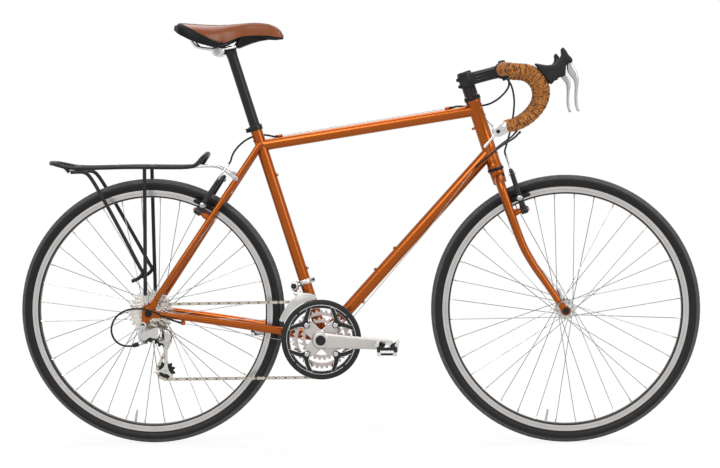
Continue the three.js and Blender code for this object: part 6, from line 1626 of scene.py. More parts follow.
for side in (-1, 1):
    tab = seat_stay_point(0.225, side * 38.6)
    route = smooth_route([
        Vector((rack_front - 8, side * 51.8, rack_z)),
        Vector((rack_front + (tab.x - rack_front) * 0.55, side * 46, rack_z - 2)),
        Vector((tab.x - 17, side * 38.6, tab.z + 14)), tab,
    ], 48)
    rack_stays.tube(
        route, lambda share: (3.2 - 1.7 * min(max((share - 0.72) / 0.12, 0), 1),
                              3.2 + 2.6 * min(max((share - 0.72) / 0.12, 0), 1)), 16,
    )
    rack_bolts.turn(
        tab + across * side, across * side, [(0, 5.2), (2.6, 5), (3.4, 3.8), (3.4, 2), (1.6, 2)], 16,
    )
    rack_bolts.turn(
        Vector((eyelet.x, side * 79, eyelet.z)), across * side,
        [(0, 5.2), (2.8, 5), (3.6, 3.8), (3.6, 2), (2, 2)], 16,
    )
    rack_bolts.turn(route[0] - Vector((0, 0, 4.6)), (0, 0, 1), [(0, 4), (2, 4.4), (9.4, 4.4), (10, 3.4)], 16)
fitted(rack_stays.piece("rack_front_stays", bar_alloy), "frame")
fitted(rack_bolts.piece("rack_bolts", bolt_steel, sharp=34), "frame")

# Chain: outer and inner links in turn on hardened pins and rollers, one closed line round the large
# ring, the two pulleys of the rear derailleur and the smallest cog.
half_pitch = 6.35
pitch_radius = lambda teeth: half_pitch / math.sin(math.pi / teeth)
outer_y, middle_y, inner_y, cog_y, cog_step = -54.5, -47.5, -40.5, -62, 4.34
cogs = (11, 12, 13, 14, 16, 18, 21, 24, 28)
pulley_spots = ((33, -63), (41.5, -147.5))
guide_centre, tension_centre = (rear_axle + Vector((x, cog_y, z)) for x, z in pulley_spots)
chain_wheels = (
    (bottom_bracket, 48, 1, outer_y), (tension_centre, 11, 1, cog_y), (guide_centre, 11, -1, cog_y),
    (rear_axle, 11, 1, cog_y),
)


def chain_line():
    """The chain's closed line through its wheels, as dense points."""
    normals = []
    for i, (centre, teeth, way, _) in enumerate(chain_wheels):
        next_centre, next_teeth, next_way, _ = chain_wheels[(i + 1) % 4]
        dx, dz = next_centre.x - centre.x, next_centre.z - centre.z
        step_down = way * pitch_radius(teeth) - next_way * pitch_radius(next_teeth)
        normals.append(math.atan2(dz, dx) + math.pi / 2 - math.asin(step_down / math.hypot(dx, dz)))
    points = []
    for i, (centre, teeth, way, y) in enumerate(chain_wheels):
        flip = 0 if way > 0 else math.pi
        arrive, leave = normals[i - 1] + flip, normals[i] + flip
        while way > 0 and leave > arrive:
            leave -= math.tau
        while way < 0 and leave < arrive:
            leave += math.tau
        for k in range(81):
            points.append(around(centre, pitch_radius(teeth), arrive + (leave - arrive) * k / 80, y))
    return [*points, points[0]]


chain_points = chain_line()
chain_length = sum((b - a).length for a, b in zip(chain_points, chain_points[1:]))
chain_pins = even_steps(chain_points, 2 * round(chain_length / (4 * half_pitch)))[:-1]


def placed_copies():
    """Geometry Nodes: one copy of a piece on each point of a route, turned as the point says."""
    tree = bpy.data.node_groups.new("placed_copies", "GeometryNodeTree")
    for name, kind in (
        ("Geometry", "NodeSocketGeometry"), ("Route", "NodeSocketObject"), ("Finish", "NodeSocketMaterial"),
    ):
        tree.interface.new_socket(name, in_out="INPUT", socket_type=kind)
    tree.interface.new_socket("Geometry", in_out="OUTPUT", socket_type="NodeSocketGeometry")
    into, out = tree.nodes.new("NodeGroupInput"), tree.nodes.new("NodeGroupOutput")
    route = add_node(tree, "GeometryNodeObjectInfo")
    turned = add_node(tree, "GeometryNodeInputNamedAttribute", data_type="FLOAT", Name="turn")
    facing = add_node(tree, "ShaderNodeCombineXYZ")
    spread = add_node(tree, "GeometryNodeInstanceOnPoints")
    real = add_node(tree, "GeometryNodeRealizeInstances")
    coat = add_node(tree, "GeometryNodeSetMaterial")
    wire_nodes(
        tree, (into, "Route", route, "Object"), (route, "Geometry", spread, "Points"),
        (into, "Geometry", spread, "Instance"), (turned, "Attribute", facing, "Y"),
        (facing, 0, spread, "Rotation"), (spread, 0, real, 0), (real, 0, coat, "Geometry"),
        (into, "Finish", coat, "Material"), (coat, 0, out, 0),
    )
    return tree


link_tree = placed_copies()


def link_plate(shape, low, high, height, waist):
    """One side plate of a link: two round ends and a narrower waist."""
    outline = []
    for side in (1, -1):
        for k in range(9):
            angle = math.radians(-115 + 230 * k / 8)
            outline.append((
                side * (half_pitch + height / 2 * math.cos(angle)), side * height / 2 * math.sin(angle),
            ))
        outline.append((0, side * waist))
    shape.slab(outline, low, high)


def build_links(name, first, plates, height, pins, material):
    """Every other link of the chain, from its first place on."""
    route = bpy.data.meshes.new(f"{name}_places")
    spots, turns = [], []
    for i in range(first, len(chain_pins), 2):
        start, end = chain_pins[i], chain_pins[(i + 1) % len(chain_pins)]
        spots.append((start + end) / 2 * mm)
        turns.append(-math.atan2(end.z - start.z, end.x - start.x))
    route.from_pydata(spots, [], [])
    route.attributes.new("turn", "FLOAT", "POINT").data.foreach_set("value", turns)
    places = bpy.data.objects.new(f"{name}_places", route)
    bpy.context.scene.collection.objects.link(places)
    link = Shape()
    for side in (-1, 1):
        link_plate(link, *sorted((side * plates[0], side * plates[1])), height, height / 2 - 1.1)
        link.rod(
            Vector((side * half_pitch, -pins[1], 0)), Vector((side * half_pitch, pins[1], 0)), pins[0],
            steps=10,
        )
    made = link.piece(name, material, sharp=35, grow=[(link_tree, {"Route": places, "Finish": material})])
    bpy.data.objects.remove(places)
    return made


chain_nickel = finish("chain_nickel", (0.6, 0.55, 0.48), (0.42, 0.38, 0.32), 0.28, metal=1.0, patch=150)
chain_steel = finish("chain_steel", (0.25, 0.21, 0.17), (0.14, 0.115, 0.09), 0.36, metal=1.0, patch=150)
fitted(build_links("chain_outer_links", 0, (2.55, 3.35), 8.2, (1.8, 3.7), chain_nickel), "frame", "chain")
fitted(build_links("chain_inner_links", 1, (1.65, 2.45), 7.8, (3.7, 1.6), chain_steel), "frame")

# Chainset: three toothed steel rings bolted to a forged alloy spider, the largest behind a black
# guard ring on forked arms. The alloy cranks are pressed on the spindle and held by black bolts.
crank_alloy = finish("crank_alloy", (0.54, 0.515, 0.49), (0.45, 0.425, 0.405), 0.36, metal=0.85, patch=18)
guard_black = finish(
    "guard_black", (0.008, 0.008, 0.009), (0.013, 0.013, 0.014), 0.4, Specular_IOR_Level=0.25,
)
ring_steel = finish("ring_steel", (0.55, 0.48, 0.46), (0.4, 0.34, 0.32), 0.3, metal=1.0, patch=90)


def toothed(shape, centre, teeth, y, thickness, inner, start=0.0, reach=2.9, drop=3.9, steps=8):
    """A toothed plate. Its rim goes up over each tooth and down into each roller's seat."""
    low, high, thin, rings = y - thickness / 2, y + thickness / 2, thickness * 0.24, []
    for k in range(teeth * steps):
        angle = start + k / (teeth * steps) * math.tau
        rise = (0.5 + 0.5 * math.cos(k / steps * math.tau)) ** 0.85
        rim = pitch_radius(teeth) - drop + (reach + drop) * rise
        rings.append([
            around(centre, radius, angle, place) for radius, place in (
                (inner, low), (rim - 2.2, low), (rim, y - thin), (rim, y + thin), (rim - 2.2, high),
                (inner, high),
            )
        ])
    return shape.skin(rings, loop=True)


def tooth_start(centre, teeth):
    """The angle of a tooth midway between two of the chain's pins on this wheel."""
    held = [
        p for p in chain_pins
        if abs(math.hypot(p.x - centre.x, p.z - centre.z) - pitch_radius(teeth)) < 0.3
    ]
    middle = held[len(held) // 2]
    return math.atan2(middle.z - centre.z, middle.x - centre.x) + math.pi / teeth


def polar(radius, degrees):
    """An (x, z) point about the bottom bracket."""
    place = around(bottom_bracket, radius, math.radians(degrees))
    return place.x, place.z


four_round = lambda material: copies(4, bottom_bracket, material)
bolt_circle, arm_angle = 52, 45
rings_shape = Shape()
toothed(rings_shape, bottom_bracket, 48, outer_y, 2.2, 85, tooth_start(bottom_bracket, 48))
fitted(rings_shape.piece("outer_ring", ring_steel, sharp=35), "crankset", "chainring_outer")
inner_rings = Shape()
toothed(inner_rings, bottom_bracket, 36, middle_y, 2.2, 61)
toothed(inner_rings, bottom_bracket, 26, inner_y, 2.2, 42)
fitted(inner_rings.piece("inner_rings", ring_steel, sharp=35), "crankset")
tabs = Shape()
for ring_y, outer, inner in ((middle_y, 63, 46), (inner_y, 44, 27)):
    wide, narrow = math.degrees(12 / outer), math.degrees(6.5 / inner)
    half_tab = ((outer, wide), (outer - 6, wide * 0.7), (inner + 3, narrow), (inner, narrow * 0.5))
    outline = [polar(radius, arm_angle - spread) for radius, spread in half_tab]
    outline += [polar(radius, arm_angle + spread) for radius, spread in half_tab[::-1]]
    tabs.slab(outline, ring_y - 1.1, ring_y + 1.1)
    tab_root = Vector((*polar(inner + 6, arm_angle), 0)).xzy
    tabs.rod(tab_root + across * (ring_y + 1.8), tab_root + across * (ring_y - 6.6), 5.2)
fitted(
    tabs.piece("inner_ring_tabs", ring_steel, grow=four_round(ring_steel)), "crankset",
)

guard = Shape().turn(
    bottom_bracket, across,
    [(outer_y - 1.3, 80.6), (-59.6, 80.2), (-60.6, 81), (-61.3, 83), (-61.5, 90), (-61.3, 98),
     (-60.4, 101), (-59.4, 102.3), (-58.6, 102.3), (-58.2, 101.4), (-58.2, 91), (outer_y - 1.3, 90)],
    144, hollow=True,
)
fitted(guard.piece("ring_guard", guard_black, sharp=30), "crankset")
for radius, thick, line_y in ((88.4, 0.95, -61.1), (80.9, 0.5, -60.5)):
    line = [around(bottom_bracket, radius, k / 120 * math.tau, line_y) for k in range(120)]
    edge = Shape().tube(line, thick, 8, loop=True)
    fitted(edge.piece(f"guard_line_{round(radius)}", lever_chrome), "crankset")

bolt_x, bolt_z = polar(bolt_circle, arm_angle)
fork_flank, fork_notch = ((85.6, 29), (72, 21), (60, 12)), ((85.6, 20.5), (74, 11))
fork_outline = [
    *[polar(radius, arm_angle - spread) for radius, spread in fork_flank],
    *[(bolt_x + 8.6 * math.cos(math.radians(a)), bolt_z + 8.6 * math.sin(math.radians(a)))
      for a in range(-55, -360 + 145, -20)],
    *[polar(radius, arm_angle + spread) for radius, spread in fork_flank[::-1] + fork_notch],
    polar(66, arm_angle),
    *[polar(radius, arm_angle - spread) for radius, spread in fork_notch[::-1]],
]
forks = Shape().slab(fork_outline, -61.8, -58.2)
fitted(
    forks.piece("guard_forks", guard_black, sharp=25, bevel=0.6, grow=four_round(guard_black)),
    "crankset",
)
fork_edge = Shape()
for part in (fork_outline[:18], fork_outline[-5:]):
    fork_edge.tube(
        smooth_route([Vector((x, -61.5, z)) for x, z in part], 40), 0.75, 6,
    )
fitted(
    fork_edge.piece("fork_edges", lever_chrome, grow=four_round(lever_chrome)), "crankset",
)
bosses_ring = Shape()
boss_place = around(bottom_bracket, 92.5, math.radians(41), -61)
boss_way = (boss_place - Vector((bottom_bracket.x, -61, bottom_bracket.z))).normalized()
bosses_ring.block(boss_place, boss_way, (0, 1, 0), 12, 9, 2)
bosses_ring.turn(boss_place - across * 0.6, -across, [(0, 3.2), (1.1, 3), (1.4, 2.2)], 14)
fitted(
    bosses_ring.piece("guard_bosses", guard_black, sharp=30, bevel=0.5,
                      grow=four_round(guard_black)), "crankset",
)

arm_half = ((50, 10), (45, 20), (37, 27), (30, 33))
spider_arms = [polar(25.5, 0)]
for degrees in (45, 135, 225, 315):
    spider_arms += [polar(reach, degrees - lean) for reach, lean in arm_half[::-1]]
    spider_arms += [
        polar(reach, degrees + lean) for reach, lean in ((bolt_circle, 0), *arm_half, (25.5, 45))
    ]
spider = Shape()
pillow(spider, spider_arms[:-1], -56.2, 2, 1, 150)
spider.turn(bottom_bracket - across * 56, -across, [(0, 24), (3, 25), (6, 23.5), (13, 21)], 40)
fitted(spider.piece("crank_spider", crank_alloy, sharp=40), "crankset")
ring_bolts = Shape()
bolt_place = around(bottom_bracket, bolt_circle, math.radians(arm_angle))
ring_bolts.turn(
    bolt_place + across * (middle_y + 2.2), -across,
    [(0, 5.6), (1, 5.6), (1.4, 4.6), (16.4, 4.6), (16.6, 5.9), (17.8, 5.9), (18.4, 5), (18.4, 3.1),
     (16.8, 2.8)], 20,
)
fitted(
    ring_bolts.piece("ring_bolts", hub_alloy, grow=four_round(hub_alloy)), "crankset",
)

crank_lean, crank_length = math.radians(-4), 173
crank_ways = {
    side: Vector((-side * math.cos(crank_lean), 0, -side * math.sin(crank_lean))) for side in (-1, 1)
}
crank_sections = (
    (-6, 15, 5), (2, 19.5, 6.6), (24, 19.4, 7.2), (60, 17.4, 7), (100, 15.6, 6.4), (140, 14.4, 5.9),
    (164, 13.8, 5.9), (174, 13, 5.8), (181, 10.6, 5.5), (185, 7, 5), (186.6, 3.6, 4.2),
)
for side, label in ((-1, "right"), (1, "left")):
    way = crank_ways[side]
    height = way.cross(across)
    arm = Shape()
    arm.skin([
        squircle(
            bottom_bracket + way * at + across * side * (73.2 + 0.8 * min(at / 100, 1)), height, across, tall,
            thick, power=3.4,
        ) for at, tall, thick in crank_sections
    ])
    arm.turn(
        bottom_bracket, across * side,
        [(64.5, 17), (65.5, 20), (78.5, 20.6), (80.4, 19.4), (81.2, 16.8), (81.2, 13.4)], 44,
    )
    eye = bottom_bracket + way * crank_length
    fitted(
        arm.piece(f"crank_arm_{label}", crank_alloy, sharp=45, levels=1), "crankset", f"crank_{label}",
    )
    stud = Shape()
    stud.turn(eye, across * side, [(78, 7.2), (82.6, 7.2), (83.4, 6.4), (83.4, 4.3), (159, 4.2)], 20)
    if side < 0:
        stud.rod(bottom_bracket + across * 78, bottom_bracket - across * 78, 8.5)
    fitted(stud.piece(f"pedal_axle_{label}", bolt_steel, sharp=30), "crankset")
    caps = Shape().turn(
        bottom_bracket, across * side,
        [(80, 12.9), (82.2, 12.9), (83.2, 12), (83.6, 9), (83.4, 6.4), (81.9, 5.6)], 40,
    )
    fitted(caps.piece(f"crank_bolt_{label}", guard_black, sharp=30), "crankset")

# Pedals: a forged alloy barrel on the crank's axle, chromed cage rods that cross the bicycle, black
# end frames and a pale reflector on the faces that point fore, aft and out.
reflector = finish(
    "reflector", (0.72, 0.72, 0.72), (0.6, 0.6, 0.6), 0.2, patch=300, grain=2600, depth=0.0002,
)
for side, label in ((-1, "right"), (1, "left")):
    axle = bottom_bracket + crank_ways[side] * crank_length
    body = f"pedal_{label}"
    place = lambda x, y, z: Vector((axle.x + x, side * y, axle.z + z))
    barrel = Shape().turn(
        axle, across * side,
        [(85, 5), (85, 8), (86, 9.6), (92, 10), (96, 8.6), (150, 8), (158, 9.2), (164, 9), (166, 7.4),
         (166.6, 4.8)], 28, hollow=True,
    )
    barrel.turn(axle, across * side, [(160.4, 7.8), (167.4, 7), (168.4, 5)], 24)
    fitted(barrel.piece(f"{body}_barrel", hub_alloy, sharp=32), body, body)
    cage = Shape()
    for x, z in ((-25, 10), (25, 10), (-20, -13), (20, -13)):
        cage.tube(
            smooth_route([place(x, y, z) for y in (88, 100, 130, 160, 172)], 20),
            lambda share: (4.2 + 0.9 * max(0, abs(share - 0.5) * 2 - 0.8) * 5,) * 2, 16,
        )
    fitted(cage.piece(f"{body}_rods", lever_chrome, sharp=45), body)
    frames = Shape()
    for low, high in ((89, 92.5), (167.5, 171)):
        outline = [(-27, 9), (-21, 11), (-14, 6), (-9, 4), (9, 4), (14, 6), (21, 11), (27, 9), (25, -2),
                   (23, -14), (19, -16), (-19, -16), (-23, -14), (-25, -2)]
        near, far = sorted((side * low, side * high))
        frames.slab([(axle.x + x, axle.z + z) for x, z in outline], near, far)
    for x in (-23, 23):
        frames.block(place(x, 130, -1), (0, 1, 0), (0, 0, 1), 76, 4, 16)
    fitted(frames.piece(f"{body}_frame", guard_black, sharp=30, bevel=0.8), body)
    lens = Shape().block(place(0, 171.2, -7), (1, 0, 0), (0, 0, 1), 34, 1.6, 6.5)
    for x in (-25.4, 25.4):
        lens.block(place(x, 130, -1), (0, 1, 0), (0, 0, 1), 56, 1.6, 8)
    fitted(lens.piece(f"{body}_reflectors", reflector, bevel=0.4), body)

# Cassette: nine stamped steel cogs, the five largest pierced and riveted together, held on the
# freehub by a notched lock ring.
cog_steel = finish("cog_steel", (0.78, 0.74, 0.7), (0.55, 0.51, 0.47), 0.24, metal=1.0, patch=120)
cassette_shape = Shape()
for k, teeth in enumerate(cogs):
    inner = 14.5 if k < 4 else pitch_radius(cogs[k - 1]) - 4.5 if k > 4 else 20
    start = tooth_start(rear_axle, 11) if k == 0 else 0.1 * k
    toothed(cassette_shape, rear_axle, teeth, cog_y + k * cog_step, 1.6, inner, start)
fitted(cassette_shape.piece("cassette_cogs", cog_steel, sharp=35), "cassette", "cassette")
webs = Shape()
for k in range(4, 9):
    reach = 21.5 if k == 4 else pitch_radius(cogs[k - 1]) - 3.5
    y = cog_y + k * cog_step
    start, end = around(rear_axle, 14, 0.2 * k, y), around(rear_axle, reach, 0.2 * k + 0.24, y)
    webs.block((start + end) / 2, end - start, (0, 1, 0), (end - start).length, 5.4, 1.5)
for radius, angle, from_y, to_y in ((25, 0.9, 34, 49.4), (31, 1.1, 25.4, 36)):
    rivet = around(rear_axle, radius, angle, 0)
    webs.rod(rivet - across * from_y, rivet - across * to_y, 2.2, steps=10)
fitted(
    webs.piece("cassette_webs", cog_steel, sharp=30, grow=copies(9, rear_axle, cog_steel)), "cassette",
)
freehub = Shape().turn(
    rear_axle, -across,
    [(23.6, 6.2), (23.6, 15.4), (61.2, 15.4), (61.2, 13.6), (63.4, 13.6), (64, 12.8), (64, 10), (62.4, 9),
     (62.4, 6.2)], 40, hollow=True,
)
fitted(freehub.piece("freehub_body", bolt_steel, sharp=30), "cassette")
notch = Shape().block(
    around(rear_axle, 11.6, 0.1, -64.1), (0, 1, 0), (1, 0, 0), 0.9, 1.7, 2,
)
fitted(notch.piece("lock_ring_notches", guard_black, grow=copies(12, rear_axle, guard_black)), "cassette")

# Front derailleur: an alloy body clamped round the seat tube, two links and a bent steel cage that
# stands over the outer ring. The cap over its spring and the wire's arm are black.
mech_silver = finish("mech_silver", (0.6, 0.585, 0.57), (0.47, 0.455, 0.44), 0.32, metal=0.95, patch=40)
# Painted shade: a darker copy of the mechanism silver for the knuckles' pin ears, where they sit beside the
# link.
mech_grey = finish("mech_grey", (0.2, 0.195, 0.19), (0.13, 0.125, 0.12), 0.36, metal=0.9, patch=60)
from_bracket = lambda x, y, z: Vector((bottom_bracket.x + x, y, bottom_bracket.z + z))
front_body = Shape().turn(
    seat(150), seat_along,
    [(-7, seat_radius + 0.2), (-7, 17.4), (-6, 18.4), (6, 18.4), (7, 17.4), (7, seat_radius + 0.2)], 44,
    hollow=True,
)
front_body.block(seat(150, 21.4), seat_ahead, seat_along, 9, 8, 12)
front_body.skin([
    squircle(seat(at, ahead, y), seat_ahead, across, long, wide, power=3.2, count=28)
    for at, ahead, y, long, wide in (
        (160, -25, -14, 5, 6), (158.5, -25.5, -14, 7.6, 8.6), (150, -26.5, -14, 9, 10),
        (141, -27.5, -14, 9.4, 10), (137.6, -27.6, -14, 8, 8.6), (136.4, -27.6, -14, 5, 6),
    )
])
front_body.rod(seat(149, -15.6, -10), seat(149, -22, -13), 6.5)
fitted(front_body.piece("front_derailleur_clamp", mech_silver, bevel=0.5, sharp=45), "frame",
       "front_derailleur_body")
front_caps = Shape()
front_caps.turn(
    from_bracket(-72, -10, 134), -across, [(0, 5), (1, 6.8), (15, 7.2), (17, 6.4), (18, 3.5)], 24,
)
front_caps.block(from_bracket(-66, -17, 116), seat_along, across, 14, 7, 6)
front_caps.rod(seat(150, 22.6, -5.4), seat(150, 22.6, 5.4), 3.4)
fitted(front_caps.piece("front_derailleur_cap", guard_black, bevel=0.6, sharp=45), "frame")

cage_lower = [polar(104.3, degrees) for degrees in (97, 103, 110, 118, 126, 134, 142, 148, 153)]
cage_upper = [polar(radius, degrees) for radius, degrees in (
    (111, 155.4), (118, 155), (119.2, 149), (121.5, 139), (126, 129), (129, 120), (128.6, 111.5),
    (123, 104.5), (116.5, 98.5), (110, 96.4),
)]
inner_upper = [polar(radius, degrees) for radius, degrees in (
    (110, 154.6), (115, 152), (116.8, 140), (117, 125), (116.8, 110), (115, 98.4), (109, 96.6),
)]
front_cage = Shape().slab(cage_lower + cage_upper, outer_y - 6.2, outer_y - 5)
front_cage.slab(cage_lower + inner_upper, outer_y + 4.8, outer_y + 6)
for radius, degrees, thick in ((113, 99, 2.6), (112, 150, 2.4)):
    x, z = polar(radius, degrees)
    front_cage.rod(Vector((x, outer_y - 5.6, z)), Vector((x, outer_y + 5.4, z)), thick)
cage_rib = [polar(radius, degrees) for radius, degrees in (
    (115.6, 152), (117, 142), (121, 132), (123.6, 124), (124.4, 116), (121, 108), (115, 101),
)]
front_cage.tube(smooth_route([Vector((x, outer_y - 6.3, z)) for x, z in cage_rib], 40), 0.9, 8)
link_foot = seat(135.7, -27.6, 0) + Vector((0, outer_y + 5.5, -4))
link_top = Vector((link_foot.x, -18, link_foot.z))
x, z = polar(113, 105)
front_cage.rod(Vector((x, outer_y + 5.5, z)), link_foot, 4, 4.6)
front_cage.rod(link_foot + across * -3.6, link_top, 4)
fitted(
    front_cage.piece("front_derailleur_plates", mech_silver, sharp=30, bevel=0.3),
    "front_derailleur_cage", "front_derailleur_cage",
)

# Rear derailleur: hung from the dropout by one bolt, a slanted link between two knuckles, and a long
# cage of two plates that holds the black nylon pulleys. A barrel adjuster takes the housing.
from_axle = lambda x, y, z: Vector((rear_axle.x + x, y, rear_axle.z + z))
by_axle = lambda outline: [(rear_axle.x + x, rear_axle.z + z) for x, z in outline]
slant, half_swing, link_length = math.radians(25), math.radians(25.3), 45
link_axis = Vector((0, math.sin(slant), math.cos(slant)))
link_span = link_length * (
    Vector((1, 0, 0)) * math.cos(half_swing)
    - Vector((0, math.cos(slant), -math.sin(slant))) * math.sin(half_swing)
)
link_far = from_axle(33, -92, -52)
link_near = link_far - link_span
link_way = link_span.normalized()
link_inward = link_axis.cross(link_way)
pin_ends = lambda shape, place: [
    shape.turn(place, link_axis * end, [(7.3, 5.6), (7.8, 6.4), (15.6, 6.4), (16.5, 5.4)], 22)
    for end in (-1, 1)
]

upper_knuckle = Shape()
upper_knuckle.turn(
    Vector((hanger.x, 0, hanger.z)), -across,
    [(72.8, 9.6), (83.6, 10), (84.8, 9), (84.8, 5.6), (82.4, 5)], 32,
)
upper_knuckle.tube(
    smooth_route([from_axle(-13, -79, -29), from_axle(-11, -77.5, -38), from_axle(-9, -75.6, -47)], 12),
    lambda share: (6.2, 7.6 - 1.4 * share), 20,
)
upper_knuckle.tube(
    smooth_route([
        from_axle(-13, -79.8, -29), from_axle(-19, -79.8, -42), from_axle(-20.5, -79.8, -56),
        from_axle(-19.6, -79.8, -67), from_axle(-12, -79.8, -74),
    ], 30), lambda share: (4.4, 5.6 - 1.2 * share), 20,
)
pin_ears = {"frame": Shape(), "rear_derailleur_lower_knuckle": Shape()}
pin_ends(pin_ears["frame"], link_near)
upper_knuckle.rod(link_near - link_axis * 13, link_near + link_axis * 13, 3.2)
adjuster_way = Vector((-9, 0, -2.5)).normalized()
upper_knuckle.turn(
    from_axle(-12, -79.8, -73.4), adjuster_way,
    [(0, 4.4), (3, 4.4), (3.4, 3.4), (4.6, 3.4), (5, 4.9), (12, 4.9), (12.6, 4)], 24,
)
fitted(
    upper_knuckle.piece("derailleur_upper_knuckle", mech_silver, sharp=40), "frame",
    "rear_derailleur_knuckle",
)
adjuster_boot = Shape().turn(
    from_axle(-24.6, -79.8, -76.8), adjuster_way,
    [(0.4, 4.2), (0.8, 5.8), (3, 6), (5, 5.4), (8, 6), (11, 5.2), (13, 5.6), (17, 4), (17.6, 2.7)], 22,
    hollow=False,
)
adjuster_boot.turn(
    Vector((hanger.x, 0, hanger.z)), -across, [(82.2, 5), (83.2, 4.9), (83.4, 2.8), (82.6, 2.4)], 6,
)
fitted(adjuster_boot.piece("derailleur_boot", black_plastic, sharp=40), "frame")

link_frame = Matrix((link_way, link_inward, link_axis)).transposed().to_4x4()
link_frame.translation = (link_near + link_far) / 2
link_shell = Shape()
pillow(link_shell, [
    (-31, 2), (-28, 10), (-17, 13.6), (0, 15), (15, 17.4), (25, 15.4), (29.4, 6), (28, -6), (21, -13.4),
    (10, -12), (0, -8.4), (-8, -10), (-16, -13.6), (-25, -12.4), (-30, -5),
], -10.6, 2.9, 2.6, 96)
pillow(link_shell, [(-17, 3.4), (-14, 5.8), (8, 6.8), (11, 4.6), (8, 3), (-13, 1)], -12.6, 0.8, 0.6, 40)
bmesh.ops.transform(link_shell.mesh, matrix=link_frame, verts=link_shell.mesh.verts)
link_shell.block((link_near + link_far) / 2 - link_inward * 1.6, link_way, link_axis, 34, 10.4, 13)
for place in (link_near, link_far):
    link_shell.turn(place, link_axis, [(-7, 4.2), (-7, 5.8), (7, 5.8), (7, 4.2)], 24, hollow=True)
fitted(
    link_shell.piece("derailleur_link_shell", mech_silver, sharp=50), "rear_derailleur_link",
    "rear_derailleur_link",
)
link_black = Shape()
anchor = (link_near + link_far) / 2 - link_way * 4 - link_axis * 13.6 - link_inward * 8
link_black.turn(anchor, -link_inward, [(-6, 4.4), (3, 4.4), (3.6, 3.6), (3.6, 2)], 6)
link_black.block(anchor + link_way * 12 + link_axis * 1.5, link_way, link_axis, 12, 7, 6)
link_black.block(anchor + link_axis * 4 + link_inward * 2, link_way, link_axis, 22, 5, 7)
fitted(
    link_black.piece("derailleur_wire_anchor", guard_black, sharp=30, bevel=0.5), "rear_derailleur_link",
)

pivot_place = from_axle(41.5, 0, -54)
lower_knuckle = Shape()
pillow(lower_knuckle, by_axle((
    (42.4, -42), (50, -40), (56.5, -46), (60, -56), (58, -66), (51, -71.5), (44, -70), (41.8, -56),
)), -88.6, 5.4, 3.4, 80)
pin_ends(pin_ears["rear_derailleur_lower_knuckle"], link_far)
# The pin ears take the darker silver as painted shade beside the link.
for body, shape in pin_ears.items():
    fitted(shape.piece(f"{body}_link_ears", mech_grey, sharp=40), body)
lower_knuckle.rod(link_far - link_axis * 13, link_far + link_axis * 13, 3.2)
for end in (-1, 1):
    lower_knuckle.rod(
        link_far + link_axis * 14.2 * end, from_axle(45, -78, -54 + 9 * end), 3.6, 4,
    )
fitted(
    lower_knuckle.piece("derailleur_lower_cover", mech_silver, sharp=50), "rear_derailleur_lower_knuckle",
    "rear_derailleur_lower_knuckle",
)
spring_house = Shape().turn(
    pivot_place, -across, [(71.2, 9), (71.2, 12.2), (72, 13), (82, 13), (84, 11.6), (84, 6)], 36,
)
fitted(
    spring_house.piece("derailleur_spring_housing", guard_black, sharp=32), "rear_derailleur_lower_knuckle",
)

cage_outer = Shape()
foot = (
    (36, -77.5), (39, -95), (38.8, -128), (36.4, -137), (28, -144.6), (18, -148.4), (11, -149.6),
    (10.6, -152.2), (19, -153), (30, -151.6), (37, -155), (45, -156), (51, -161), (56, -166.6), (60, -164),
    (55.4, -155), (50, -147.4), (47.2, -137), (47, -95), (48, -80), (53.2, -68), (54.4, -56), (50, -45),
    (41, -41.4), (30, -46), (22, -55), (21, -66), (27, -75),
)
pillow(cage_outer, by_axle(foot), cog_y - 4.95, 0.8, 0.5, 150)
for x, z in pulley_spots:
    cage_outer.rod(from_axle(x, cog_y - 5, z), from_axle(x, cog_y + 5, z), 2.6)
cage_outer.turn(pivot_place, -across, [(67.4, 8), (70.8, 8)], 28)
inner_outline = (
    (31, -77), (36, -110), (36, -136), (33, -150), (38, -157), (45, -157), (50, -149), (47, -136),
    (44, -110), (45, -74), (46, -62), (42, -52), (33, -49.5), (23, -54), (20, -63), (23, -72),
)
pillow(cage_outer, by_axle(inner_outline), cog_y + 4.95, 0.8, 0.5, 110)
cage_outer.tube(
    smooth_route([from_axle(11, y, -150.8) for y in (cog_y - 5, cog_y - 2, cog_y + 2)], 8), 1.5, 12,
)
fitted(
    cage_outer.piece("derailleur_cage_plates", mech_silver, sharp=40), "rear_derailleur_cage",
    "rear_derailleur_cage",
)
cage_bolts = Shape()
for x, z in pulley_spots:
    cage_bolts.turn(from_axle(x, 0, z), -across, [(67.4, 3.6), (68.4, 3.4), (68.6, 2), (68.2, 1.6)], 18)
    cage_bolts.turn(from_axle(x, 0, z), -across, [(55, 3.2), (56.4, 3.6)], 18)
fitted(cage_bolts.piece("derailleur_cage_bolts", bolt_steel, sharp=35), "rear_derailleur_cage")
for name, centre in (("guide_pulley", guide_centre), ("tension_pulley", tension_centre)):
    wheel = Shape()
    middle = Vector((centre.x, 0, centre.z))
    toothed(wheel, middle, 11, cog_y, 2.2, 3.3, tooth_start(centre, 11), reach=2.4)
    wheel.turn(
        middle, across,
        [(cog_y - 2.6, 3.2), (cog_y - 2.6, 7), (cog_y + 2.6, 7), (cog_y + 2.6, 3.2)], 28, hollow=True,
    )
    fitted(wheel.piece(f"{name}_nylon", black_plastic, sharp=35), name, name)

# Brakes: long black alloy arms on the frame's posts, each with a threaded rubber pad. A bent pipe
# leads the housing in, and a rubber boot covers the wire between the two arms.
arm_black = finish(
    "arm_black", (0.012, 0.012, 0.013), (0.02, 0.02, 0.021), 0.34, metal=0.3, Specular_IOR_Level=0.3,
)
pad_rubber = finish("pad_rubber", (0.01, 0.01, 0.011), (0.016, 0.016, 0.017), 0.7, Specular_IOR_Level=0.2)


